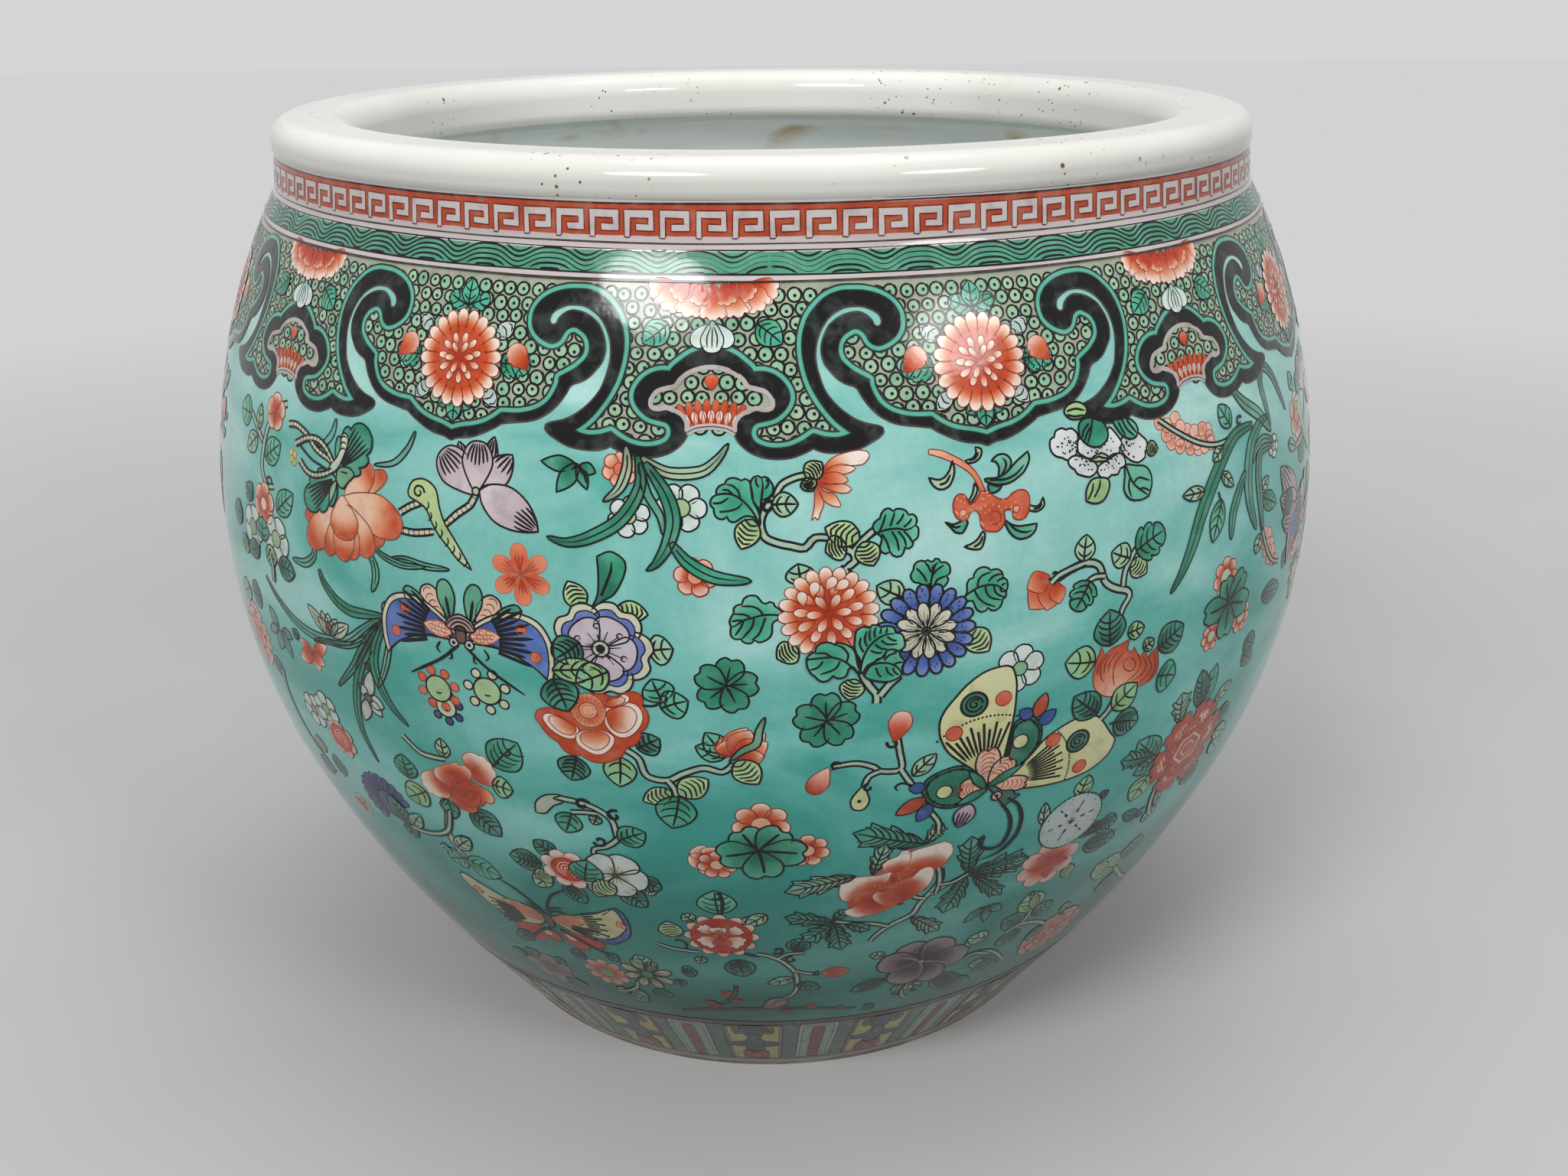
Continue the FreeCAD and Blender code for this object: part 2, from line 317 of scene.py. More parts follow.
def lip_glaze():
    """White glaze of the lip, with iron specks and brown pinholes fired into it."""
    glaze = Glaze("lip_white", 0.09)
    tone = glaze.ramp(glaze.noise(10, 4, 0.3), [(0.3, (222, 222, 214)), (0.7, (238, 236, 230))])
    rare = glaze.share(glaze.noise(17, 2), 0.52, 0.6)
    for scale, size in ((110.0, 0.11), (260.0, 0.14)):
        speck = glaze.add("ShaderNodeTexVoronoi", Vector=glaze.place, Scale=scale).outputs["Distance"]
        spot = glaze.mix(glaze.share(speck, size, size * 0.7), solid((255, 255, 255)), solid((132, 92, 62)))
        tone = glaze.mix(rare, tone, glaze.mix(1.0, tone, spot, "MULTIPLY"))
    return glaze.colour(tone).ripple(24, 0.35).material


def inner_glaze():
    """Celadon white inside, with brown scale where water has stood."""
    glaze = Glaze("inside_celadon", 0.16)
    tone = glaze.ramp(glaze.noise(9, 4, 0.3), [(0.3, (226, 232, 230)), (0.7, (242, 245, 243))])
    stain = glaze.share(glaze.noise(15, 5, 0.8, (1, 1, 2.6)), 0.6, 0.74)
    tone = glaze.mix(stain, tone, solid((196, 174, 124)))
    return glaze.colour(tone).ripple(24, 0.3).material


def painted_glaze(name, roughness=0.1, mottle=0.5):
    """Enamel whose tone is painted on the mesh: it thins out in patches and pools in others."""
    glaze = Glaze(name, roughness)
    tint = glaze.add("ShaderNodeAttribute")
    tint.attribute_name = "tint"
    brush = glaze.noise(150, 4, 0.6)
    pool = glaze.ramp(brush, [(0.3, (196, 196, 196)), (0.5, (255, 255, 255))])
    tone = glaze.mix(mottle, tint.outputs["Color"], pool, "MULTIPLY")
    thin = glaze.add("ShaderNodeMath", Value=glaze.share(brush, 0.5, 0.72))
    thin.operation = "MULTIPLY"
    thin.inputs[1].default_value = mottle * 0.5
    bare = glaze.mix(0.5, tint.outputs["Color"], solid((190, 222, 208)))
    tone = glaze.mix(thin.outputs[0], tone, bare)
    return glaze.colour(tone).ripple(90, 0.14, 3).material


def pigment(name, colour, worn, roughness=0.12):
    """Line pigment under the glaze, thin in places so that it greys."""
    glaze = Glaze(name, roughness)
    tone = glaze.ramp(glaze.noise(160, 3), [(0.5, colour), (0.85, worn)])
    return glaze.colour(tone).ripple(110, 0.08).material


def bare_clay():
    """Unglazed fired foot: buff, grainy and grimy."""
    glaze = Glaze("bare_foot", 0.7, 0.25)
    tone = glaze.ramp(glaze.noise(60, 5), [(0.3, (150, 138, 126)), (0.7, (196, 186, 172))])
    return glaze.colour(tone).ripple(500, 0.12).material


GROUND = ground_glaze()
LIP_WHITE = lip_glaze()
INSIDE = inner_glaze()
BORDER_WHITE = porcelain_glaze("border_white", (216, 206, 204), (196, 186, 184))
ENAMEL = painted_glaze("painted_enamel")
LINES = pigment("black_line", (16, 13, 15), (46, 40, 40))
BARE = bare_clay()


# Fired body


# A place closer to the axis than this, in metres or millimetres, counts as on it.
ON_AXIS = 1e-6

# An edge that bends by more degrees than this isn't smoothed.
SHARP_EDGE = 32


def make_piece(name, vertices, faces, materials, indices=None):
    """An object of the bowl from points in metres, riding on its one body."""
    mesh = bpy.data.meshes.new(name)
    mesh.from_pydata(vertices, [], faces)
    for material in materials:
        mesh.materials.append(material)
    if indices is not None:
        mesh.polygons.foreach_set("material_index", indices)
    mesh.polygons.foreach_set("use_smooth", [True] * len(mesh.polygons))
    mesh.update()
    piece = bpy.data.objects.new(name, mesh)
    bpy.context.scene.collection.objects.link(piece)
    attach(piece, "root")
    return piece


def set_back(points, distance=SKIN):
    """An outside stretch, from low to high, moved into the body by a distance."""
    line = np.array(points)
    along = np.gradient(line, axis=0)
    length = np.hypot(along[:, 0], along[:, 1])
    out = np.stack([along[:, 1], -along[:, 0]], axis=1) / length[:, None]
    return [tuple(p) for p in line - out * distance]


def seamless(points, hair=0.15):
    """A stretch with one very short step at each end, so that neighbours shade alike."""
    first = tuple(Vector(points[0]).lerp(Vector(points[1]), hair / FINE))
    last = tuple(Vector(points[-1]).lerp(Vector(points[-2]), hair / FINE))
    return [points[0], first, *points[1:-1], last, points[-1]]


def turned(name, node, stretches):
    """A closed ring turned about the upright axis; stretches are pairs of points and material."""
    outline, kinds, materials = [], [], []
    for points, material in stretches:
        if material not in materials:
            materials.append(material)
        for start in points[:-1]:
            outline.append(start)
            kinds.append(materials.index(material))
    count = len(outline)
    turns = np.radians(np.arange(SEGMENTS) * 360 / SEGMENTS)
    line = np.array(outline)
    radius, level = line[:, 0][None, :], line[:, 1][None, :]
    grid = np.stack(
        [radius * np.sin(turns)[:, None], -radius * np.cos(turns)[:, None], level + 0 * turns[:, None]],
        axis=-1,
    )
    faces, indices = [], []
    for k in range(SEGMENTS):
        here, there = k * count, (k + 1) % SEGMENTS * count
        for i in range(count):
            j = (i + 1) % count
            if outline[i][0] < ON_AXIS and outline[j][0] < ON_AXIS:
                continue
            faces.append((here + i, there + i, there + j, here + j))
            indices.append(kinds[i])
    vertices = (grid.reshape(-1, 3) * MM).tolist()
    piece = make_piece(name, vertices, faces, materials, indices)
    close_axis(piece.data)
    piece.data.set_sharp_from_angle(angle=math.radians(SHARP_EDGE))
    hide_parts(node)
    return piece


def close_axis(mesh):
    """Merge the points on the axis, which a turned floor has once per segment."""
    work = bmesh.new()
    work.from_mesh(mesh)
    middle = [v for v in work.verts if math.hypot(v.co.x, v.co.y) < ON_AXIS]
    if middle:
        bmesh.ops.remove_doubles(work, verts=middle, dist=1e-5)
        bmesh.ops.dissolve_degenerate(work, edges=work.edges, dist=1e-7)
    bmesh.ops.recalc_face_normals(work, faces=work.faces)
    work.to_mesh(mesh)
    work.free()
    mesh.polygons.foreach_set("use_smooth", [True] * len(mesh.polygons))


def at_level(low, high, level):
    """The place at a level on the straight run between two points."""
    return tuple(Vector(low).lerp(Vector(high), (level - low[1]) / (high[1] - low[1])))


def arc_level_at_end(start, end):
    """Arc that lies level at its end, as the floor does at the edge of its flat."""
    chord = Vector(start) - Vector(end)
    centre = (end[0], end[1] + chord.length_squared / (2 * chord.y))
    return arc(centre, start, end, FINE)


# Corners where the pieces of the fired body touch.
RING_SOLE = (RING_BORE + FOOT_BEVEL, 0)
RING_SEAT = (RING_BORE, RING_LEVEL)
WALL_SEAT = (FLOOR_SEAT_RADIUS, RING_LEVEL)
FLOOR_EDGE = (FLOOR_SEAT_RADIUS, FLOOR_EDGE_LEVEL)
FLOOR_FLAT = (FLOOR_FLAT_RADIUS, FLOOR_LEVEL)
INNER_FLANK = (FLANK_BORE, FLANK_LEVEL)
INNER_BELLY = (BELLY_BORE, BELLY_LEVEL)
SEAM_FOOT = (SEAM_RADIUS, BELLY_LEVEL)
SEAM_TOP = (SEAM_RADIUS, SEAM_LEVEL)
SEAM_INSIDE = (BELLY_BORE, SEAM_LEVEL)
COLLAR_SEAT = (COLLAR_BORE, SHOULDER_LEVEL)
COLLAR_INSIDE = (COLLAR_BORE, LIP_LAP_LEVEL)
LAP_FOOT = (LIP_LAP_RADIUS, LIP_LAP_LEVEL)
LAP_TOP = (LIP_LAP_RADIUS, COLLAR_LEVEL)

# The glaze of the outside, and where it goes on from the foot ring to the wall.
skin_foot = set_back(outside_foot)
skin_lower = set_back(outside_lower)
skin_upper = set_back(outside_upper)
skin_collar = set_back(outside_collar)
ring_rows = [p for p in skin_foot if p[1] <= RING_LEVEL]
wall_rows = [p for p in skin_foot if p[1] > RING_LEVEL]
RING_JOINT = at_level(ring_rows[-1], wall_rows[0], RING_LEVEL)

# The lip is glazed almost out to the CAD surface, since it carries no enamel.
LIP_SKIN = 0.1


def foot_ring_body():
    stretches = [
        ([RING_SOLE, (FOOT_RADIUS - FOOT_BEVEL, 0), skin_foot[0]], BARE),
        ([*ring_rows, RING_JOINT], BORDER_WHITE),
        ([RING_JOINT, RING_SEAT, (RING_BORE, FOOT_BEVEL), RING_SOLE], BARE),
    ]
    turned("foot_ring_body", "foot_ring", stretches)


def base_floor_body():
    dish = arc_level_at_end(FLOOR_EDGE, FLOOR_FLAT)
    flat = run(FLOOR_FLAT, (0, FLOOR_LEVEL), FLOOR_FLAT_STEP)
    stretches = [
        ([(0, RECESS_LEVEL), (RING_BORE, RECESS_LEVEL), RING_SEAT], BARE),
        ([RING_SEAT, WALL_SEAT], BARE),
        ([WALL_SEAT, *seamless(dish)], INSIDE),
        ([*flat, (0, RECESS_LEVEL)], INSIDE),
    ]
    turned("base_floor_body", "base_floor", stretches)


def lower_wall_body():
    belly_centre = level_centre(INNER_BELLY, INNER_FLANK)
    flank_centre = following_centre(INNER_FLANK, belly_centre, FLOOR_EDGE)
    inside_lower = joined(
        arc(belly_centre, INNER_BELLY, INNER_FLANK, FINE * 2),
        arc(flank_centre, INNER_FLANK, FLOOR_EDGE, FINE * 2),
    )
    stretches = [
        ([WALL_SEAT, RING_JOINT], BARE),
        ([RING_JOINT, *wall_rows], BORDER_WHITE),
        (seamless(skin_lower), GROUND),
        ([skin_lower[-1], SEAM_FOOT, SEAM_TOP], BARE),
        ([SEAM_TOP, SEAM_INSIDE], BARE),
        ([SEAM_INSIDE, *inside_lower], INSIDE),
        ([FLOOR_EDGE, WALL_SEAT], BARE),
    ]
    turned("lower_wall_body", "lower_wall", stretches)


def upper_wall_body():
    inside_upper = arc(level_centre(SEAM_INSIDE, COLLAR_SEAT), COLLAR_SEAT, SEAM_INSIDE, FINE * 2)
    stretches = [
        ([SEAM_FOOT, skin_upper[0]], BARE),
        (seamless(skin_upper), GROUND),
        ([skin_upper[-1], COLLAR_SEAT], BARE),
        (seamless(inside_upper), INSIDE),
        ([SEAM_INSIDE, SEAM_TOP, SEAM_FOOT], BARE),
    ]
    turned("upper_wall_body", "upper_wall", stretches)


def neck_collar_body():
    stretches = [
        ([COLLAR_SEAT, skin_collar[0]], BARE),
        (seamless(skin_collar), BORDER_WHITE),
        ([skin_collar[-1], LAP_TOP, LAP_FOOT], BARE),
        ([LAP_FOOT, COLLAR_INSIDE], BARE),
        ([COLLAR_INSIDE, COLLAR_SEAT], INSIDE),
    ]
    turned("neck_collar_body", "neck_collar", stretches)


def rim_lip_body():
    """The lip: outer side and top, then its mouth with a large rounding above and a small one below."""
    skin_lip = [p for p in set_back(outside_lip, LIP_SKIN) if p[1] > COLLAR_LEVEL + FINE]
    skin_lip.insert(0, skin_collar[-1])
    middle = MOUTH_RADIUS + LIP_INNER_ROUND
    inner_level = TOP_LEVEL - LIP_INNER_ROUND
    inner_top = (middle, TOP_LEVEL - LIP_SKIN)
    inner_round = arc((middle, inner_level), (middle, TOP_LEVEL), (MOUTH_RADIUS, inner_level), MOUTH_STEP)
    under_radius, under_level = MOUTH_RADIUS + LIP_UNDER_ROUND, LIP_UNDER_LEVEL + LIP_UNDER_ROUND
    under_round = arc(
        (under_radius, under_level), (MOUTH_RADIUS, under_level), (under_radius, LIP_UNDER_LEVEL), LIP_STEP
    )
    stretches = [
        (skin_lip, LIP_WHITE),
        (run(skin_lip[-1], inner_top, LIP_FLAT_STEP), LIP_WHITE),
        ([inner_top, *inner_round[1:]], LIP_WHITE),
        ([(MOUTH_RADIUS, inner_level), *under_round], LIP_WHITE),
        ([under_round[-1], COLLAR_INSIDE, LAP_FOOT], INSIDE),
        ([LAP_FOOT, LAP_TOP, skin_lip[0]], BARE),
    ]
    turned("rim_lip_body", "rim_lip", stretches)


for fire in (
    foot_ring_body, base_floor_body, lower_wall_body, upper_wall_body, neck_collar_body, rim_lip_body
):
    fire()


# Drawing


CORNER = "corner"


def smooth(control, closed=True, step=0.9):
    """Even points along a rounded line through control points; a point marked CORNER stays sharp."""
    places = [np.array(p[:2], float) for p in control]
    corner = [len(p) > 2 for p in control]
    count = len(places)
    if not closed:
        corner[0] = corner[-1] = True
    pieces = []
    for i in range(count if closed else count - 1):
        j = (i + 1) % count
        before, after = places[i - 1], places[(j + 1) % count]
        if corner[i]:
            before = places[i]
        if corner[j]:
            after = places[j]
        first, second = places[i], places[j]
        length = np.hypot(*(second - first))
        number = max(1, int(round(length / step)))
        t = (np.arange(number) / number)[:, None]
        lean_a, lean_b = (second - before) / 2, (after - first) / 2
        for lean in (lean_a, lean_b):
            size = np.hypot(*lean)
            if size > length:
                lean *= length / size
        h = 2 * t**3 - 3 * t**2
        pieces.append(
            first * (h + 1)
            + lean_a * (t**3 - 2 * t**2 + t)
            + second * -h
            + lean_b * (t**3 - t**2)
        )
    if not closed:
        pieces.append(places[-1][None, :])
    return np.concatenate(pieces)


def inside(points, outline):
    """Which points lie in a closed outline."""
    x, y = points[:, 0][:, None], points[:, 1][:, None]
    x1, y1 = outline[:, 0][None, :], outline[:, 1][None, :]
    x2, y2 = np.roll(outline[:, 0], -1)[None, :], np.roll(outline[:, 1], -1)[None, :]
    spans = (y1 > y) != (y2 > y)
    rise = np.where(y2 == y1, 1e-12, y2 - y1)
    return (np.sum(spans & (x < (x2 - x1) * (y - y1) / rise + x1), axis=1) % 2) == 1


def clearance(points, outline):
    """Distance of each point from the nearest stretch of a closed outline."""
    a, b = outline[None, :, :], np.roll(outline, -1, axis=0)[None, :, :]
    along = b - a
    size = np.maximum((along**2).sum(-1), 1e-12)
    t = np.clip(((points[:, None, :] - a) * along).sum(-1) / size, 0, 1)
    return np.sqrt(((points[:, None, :] - a - t[..., None] * along) ** 2).sum(-1)).min(1)


def filled(outline, grain):
    """Points and triangles of a closed outline, with inner points about a grain apart."""
    low, high = outline.min(0), outline.max(0)
    rows = np.arange(low[1], high[1], grain * TRIANGLE_ROW)
    inner = [
        (x + (grain / 2 if k % 2 else 0), y)
        for k, y in enumerate(rows)
        for x in np.arange(low[0], high[0], grain)
    ]
    if inner:
        inner = np.array(inner)
        inner = inner[inside(inner, outline)]
    if len(inner):
        inner = inner[clearance(inner, outline) > grain * 0.4]
    points = np.concatenate([outline, inner]) if len(inner) else outline
    count = len(outline)
    found, _, faces, origin, _, _ = delaunay_2d_cdt(
        [Vector(p) for p in points], [], [list(range(count))], 1, 1e-5
    )
    border = np.array([any(o < count for o in group) or not group for group in origin])
    return np.array([tuple(v) for v in found]), [tuple(f) for f in faces], border


def ribbon(points, width, closed, ends):
    """Left, middle and right rows of a drawn line; its ends thin out to a share of the width."""
    line = np.array(points, float)
    if closed:
        along = np.roll(line, -1, axis=0) - np.roll(line, 1, axis=0)
    else:
        along = np.gradient(line, axis=0)
    size = np.maximum(np.hypot(along[:, 0], along[:, 1]), 1e-9)
    side = np.stack([-along[:, 1], along[:, 0]], axis=1) / size[:, None]
    half = np.full(len(line), width / 2)
    if not closed:
        t = np.linspace(0, 1, len(line))
        start, end = ends
        half *= np.interp(t, [0, 0.25, 0.75, 1], [start, 1, 1, end])
    return line + side * half[:, None], line, line - side * half[:, None]


class Painting:
    """Enamels of one motif, at an angle and height on the bowl, turned and sized.

    Its own places are millimetres across and up from there. Fields and tinted lines go into one
    piece, black lines into a second one, or into ink that several motifs share. What is painted
    later lies higher, by one step for each time up() is called.
    """

    def __init__(self, name, slot, angle=0.0, height=0.0, step=COARSE_STEP, ink=None, turn=0.0, size=1.0,
                 mirror=False, weight=1.0):
        self.name, self.slot = name, slot
        self.shares_ink = ink is not None
        self.angle, self.height, self.step, self.level = angle, height, step, 0.0
        self.size, self.mirror, self.weight = size, mirror, weight
        self.cos, self.sin = math.cos(math.radians(turn)), math.sin(math.radians(turn))
        self.enamel, self.ink = Heap(), ink if self.shares_ink else Heap()

    def up(self, steps=1):
        self.level += steps * self.step

    def spot(self, points):
        """Angles and heights on the bowl of places in the motif."""
        points = np.asarray(points, float)
        x, y = points[:, 0] * self.size, points[:, 1] * self.size
        if self.mirror:
            x = -x
        across, up = x * self.cos - y * self.sin, x * self.sin + y * self.cos
        return self.angle + across * DEGREES_PER_MM, self.height + up

    def lift(self, above=0.0):
        return ENAMEL_BASE + self.level + self.step * above

    def line_lifts(self, count, above):
        """Lifts of a line's left, middle and right rows."""
        side = np.full(count, self.lift(above + LINE_SIDE))
        return np.concatenate([side, np.full(count, self.lift(above + LINE_MIDDLE)), side])

    def field(self, outline, tint, grain=3.0, edge=0.0, edge_tint=None, above=0.0):
        """A filled field. The tint is a colour or a function of the place in the motif."""
        outline = np.asarray(outline, float)
        points, faces, border = filled(outline, grain)
        angle, height = self.spot(points)
        lift = np.where(border, self.lift(above - BORDER_SINK), self.lift(above))
        self.enamel.add(angle, height, lift, faces, tints(tint, points), self.mirror)
        if edge:
            self.line(np.concatenate([outline, outline[:1]]), edge, edge_tint, (1, 1), above)

    def line(self, points, width=0.5, tint=None, ends=(0.5, 0.3), above=0.0):
        """A drawn line, black unless it has a tint; the weight of the brush widens black ones."""
        width *= self.weight if tint is None else 1.0
        rows = ribbon(points, width / self.size, False, ends)
        count = len(rows[0])
        angle, height = self.spot(np.concatenate(rows))
        heap = self.ink if tint is None else self.enamel
        colours = tints(tint or BLACK, np.concatenate(rows))
        heap.add(
            angle, height, self.line_lifts(count, above), strip_faces(count), colours, not self.mirror
        )

    def dot(self, x, y, radius, tint=None, above=0.0):
        """A round touch of the brush."""
        turns = np.linspace(0, 2 * math.pi, DOT_CORNERS, endpoint=False)
        ring = np.stack([x + radius * np.cos(turns), y + radius * np.sin(turns)], axis=1)
        points = np.concatenate([ring, [[x, y]]])
        angle, height = self.spot(points)
        lift = np.full(len(points), self.lift(above + DOT_SIDE))
        lift[-1] = self.lift(above + DOT_MIDDLE)
        faces = [(i, (i + 1) % DOT_CORNERS, DOT_CORNERS) for i in range(DOT_CORNERS)]
        heap = self.ink if tint is None else self.enamel
        heap.add(angle, height, lift, faces, tints(tint or BLACK, points), self.mirror)

    def finish(self, material=None, line_material=None):
        made = []
        if self.enamel.faces:
            made.append(self.enamel.build(self.name, self.slot, material or ENAMEL))
        if self.ink.faces and not self.shares_ink:
            name = self.name + "_lines" if self.enamel.faces else self.name
            made.append(self.ink.build(name, "line_pigment", line_material or LINES))
        return made


def strip_faces(count):
    """Faces between the left, middle and right rows of a line."""
    faces = []
    for row in (0, count):
        for i in range(row, row + count - 1):
            faces.append((i, i + count, i + count + 1, i + 1))
    return faces


def tints(tint, points):
    """Linear colours of places: one colour, or what a function gives for each."""
    if callable(tint):
        return [linear(tint(x, y)) for x, y in points]
    return [linear(tint)] * len(points)


class Heap:
    """Faces gathered for one piece."""

    def __init__(self):
        self.places, self.faces, self.colours, self.count = [], [], [], 0

    def add(self, angle, height, lift, faces, colours, flipped=False):
        self.places.append(on_bowl(np.asarray(angle), np.asarray(height), np.asarray(lift)))
        start = self.count
        for face in faces:
            face = tuple(start + i for i in face)
            self.faces.append(face[::-1] if flipped else face)
        self.colours += colours
        self.count += len(angle)

    def build(self, name, slot, material):
        vertices = np.concatenate(self.places)
        piece = make_piece(name, vertices.tolist(), self.faces, [material])
        layer = piece.data.color_attributes.new("tint", "FLOAT_COLOR", "POINT")
        flat = np.ones((len(self.colours), 4), np.float32)
        flat[:, :3] = self.colours
        layer.data.foreach_set("color", flat.ravel())
        return piece


# Brush forms shared by all motifs. Directions are in degrees, 0 to the right and 90 up


ROUND = [(0, 0.1), (0.22, 0.55), (0.55, 0.98), (0.82, 0.82), (0.97, 0.36)]
POINTED = [(0, 0.08), (0.25, 0.7), (0.5, 1.0), (0.78, 0.62), (1, 0, CORNER)]
OVAL = [(0, 0.06), (0.12, 0.6), (0.38, 1.0), (0.66, 0.86), (0.88, 0.42), (1, 0, CORNER)]
BLADE = [(0, 0.3), (0.2, 0.75), (0.45, 1.0), (0.75, 0.62), (1, 0, CORNER)]
HEART = [(0, 0.08), (0.2, 0.55), (0.55, 1.0), (0.88, 0.86), (1.03, 0.42), (0.95, 0)]
WAVY = [
    (0, 0.1), (0.25, 0.6), (0.55, 0.95), (0.72, 0.84), (0.86, 0.98), (0.98, 0.62), (0.93, 0.4), (1.03, 0.18)
]


def lobed(lobes, depth=0.16):
    """Profile with round lobes along its edge, as on chrysanthemum and vine leaves."""
    profile = [(0, 0.12)]
    for k in range(lobes):
        start, end = 0.08 + 0.88 * k / lobes, 0.08 + 0.88 * (k + 1) / lobes
        for share, rise in ((0.0, -depth), (0.3, -0.04), (0.62, 0.07), (0.9, 0.08), (1.03, -0.02)):
            t = min(0.97, start + (end - start) * share)
            width = math.sin(math.pi * min(1.0, 0.16 + 0.8 * t)) ** 0.6
            mark = (CORNER,) if share == 0.0 and k else ()
            profile.append((t, max(0.1, width * (1 + rise)), *mark))
    profile.append((1, 0))
    return profile


def serrated(teeth):
    """Profile with forward teeth, as on peony and rose leaves."""
    profile = [(0, 0.05)]
    for k in range(teeth):
        t = 0.1 + 0.78 * k / teeth
        width = math.sin(math.pi * min(1.0, 0.1 + 0.86 * t)) ** 0.8
        profile.append((t + 0.3 / teeth, width * 0.92))
        profile.append((t + 0.66 / teeth, width * 1.1, CORNER))
        profile.append((t + 0.6 / teeth, width * 0.74, CORNER))
    profile.append((1, 0, CORNER))
    return profile


class Spine:
    """Middle line of a petal or leaf, straight or bent by some degrees along its length."""

    def __init__(self, x, y, direction, length, bend=0.0):
        self.root = np.array([x, y], float)
        self.direction, self.length = math.radians(direction), length
        self.bend = math.radians(bend)

    def at(self, t, side=0.0):
        """Place at a share of the length, and some millimetres to the left of the line."""
        turn = self.bend * t
        if abs(self.bend) > 0.01:
            radius = self.length / self.bend
            x, y = radius * math.sin(turn), radius * (1 - math.cos(turn))
        else:
            x, y = self.length * t, 0.0
        x, y = x - side * math.sin(turn), y + side * math.cos(turn)
        c, s = math.cos(self.direction), math.sin(self.direction)
        return (self.root[0] + x * c - y * s, self.root[1] + x * s + y * c)

    def outline(self, profile, width, step=0.9):
        right = [(*self.at(t, -w * width / 2), *mark) for t, w, *mark in profile]
        left = [(*self.at(t, w * width / 2), *mark) for t, w, *mark in reversed(profile) if w > 0]
        return smooth(right + left, True, step)

    def track(self, places, step=1.2):
        """A drawn line through pairs of share and side."""
        return smooth([self.at(t, side) for t, side in places], False, step)


def graded(x, y, reach, stops):
    """Tint that changes with the distance from a place, through pairs of share and colour."""

    def tint(px, py):
        share = math.hypot(px - x, py - y) / reach
        for (low, first), (high, second) in zip(stops, stops[1:]):
            if share <= high:
                return blend(first, second, (share - low) / max(high - low, 1e-6))
        return stops[-1][1]

    return tint


def darker(colour, share=0.35):
    return blend(colour, GREEN_DARK, share)


def shape(p, control, tint, edge=0.5, edge_tint=None, grain=2.2, step=0.9):
    """A field over what is there, rounded through its control points."""
    p.up()
    p.field(smooth(control, True, step), tint, grain, edge, edge_tint)


SCALLOP_GREEN = [(0, (46, 150, 116)), (0.5, (74, 174, 140)), (1, (128, 204, 178))]


def scalloped(p, outline, middle, ribs, reach=9.0):
    """A round leaf with scallops along its edge, drawn from its own outline and ribs."""
    shape(p, outline, graded(*middle, reach, SCALLOP_GREEN))
    for rib in ribs:
        p.line(smooth(rib, False, 0.9), 0.55, None, (0.95, 0.5), 0.5)


def leaf(p, x, y, direction, length, width, tint=EMERALD, profile=OVAL, bend=0.0, pitch=2.3, edge=0.5,
         shade=None, bold=0.5):
    """A veined leaf, deeper at its root and paler where the enamel thins out; pitch parts its veins."""
    p.up()
    spine = Spine(x, y, direction, length, bend)
    thin, tip = blend(tint, TURQUOISE, 0.45), blend(tint, TURQUOISE, 0.25)
    stops = [(0.0, shade or darker(tint)), (0.35, tint), (0.75, thin), (1.0, tip)]
    p.field(spine.outline(profile, width), graded(x, y, length, stops), 2.6, edge)
    if not pitch:
        return spine
    p.line(spine.track([(0, 0), (0.5, width * 0.02), (0.94, 0)]), 0.6, None, (1.2, 0.5))
    veins = max(2, int(round(length * 0.6 / pitch)))
    for k in range(veins):
        t = 0.08 + 0.66 * (k + 0.3) / veins
        reach = 0.38 * math.sin(math.pi * min(1.0, 0.2 + 0.75 * t)) ** 0.8
        for side in (1, -1):
            out = side * width * reach
            way = [(t, 0), (t + 0.05, out * 0.45), (t + 0.13, out * 0.82), (t + 0.22, out)]
            p.line(spine.track(way), bold, None, (1, 0.4))
    return spine


def striped_leaf(p, x, y, direction, length, width, tint=YELLOW_GREEN, stripes=5, bend=0.0, profile=OVAL):
    """A small leaf seen from its back: yellow green with curved stripes across it."""
    p.up()
    spine = Spine(x, y, direction, length, bend)
    stops = [(0, blend(tint, EMERALD, 0.3)), (0.5, tint), (1, blend(tint, WHITE, 0.3))]
    p.field(spine.outline(profile, width), graded(x, y, length, stops), 2.6, 0.5)
    for k in range(stripes):
        t = 0.16 + 0.62 * k / max(stripes - 1, 1)
        reach = 0.42 * width * math.sin(math.pi * min(1.0, 0.14 + 0.78 * t))
        stripe = [(t - 0.1, -reach), (t + 0.05, 0), (t - 0.04, reach * 0.9)]
        p.line(spine.track(stripe), 0.52, None, (0.6, 0.4))
    return spine


def blade(p, control, width, tint=EMERALD, rib=True, edge=0.45):
    """A long grass or orchid blade along control points, widest in the middle."""
    p.up()
    line = smooth(control, False, 1.6)
    share = np.linspace(0, 1, len(line))
    half = width / 2 * np.clip(np.sin(np.pi * np.clip(share * 0.96 + 0.04, 0, 1)) ** 0.55, 0.03, 1)
    along = np.gradient(line, axis=0)
    side = np.stack([-along[:, 1], along[:, 0]], axis=1) / np.hypot(*along.T)[:, None]
    outline = np.concatenate([line + side * half[:, None], (line - side * half[:, None])[::-1]])[::-1]
    deep = darker(tint)
    reach = float(np.hypot(*(line[-1] - line[0]))) or 1.0
    stops = [(0, deep), (0.4, tint), (0.75, blend(tint, TURQUOISE, 0.25)), (1, deep)]
    p.field(outline, graded(*line[0], reach, stops), 2.6, edge)
    if rib:
        p.line(line[2:-2], 0.4, None, (1, 0.2))


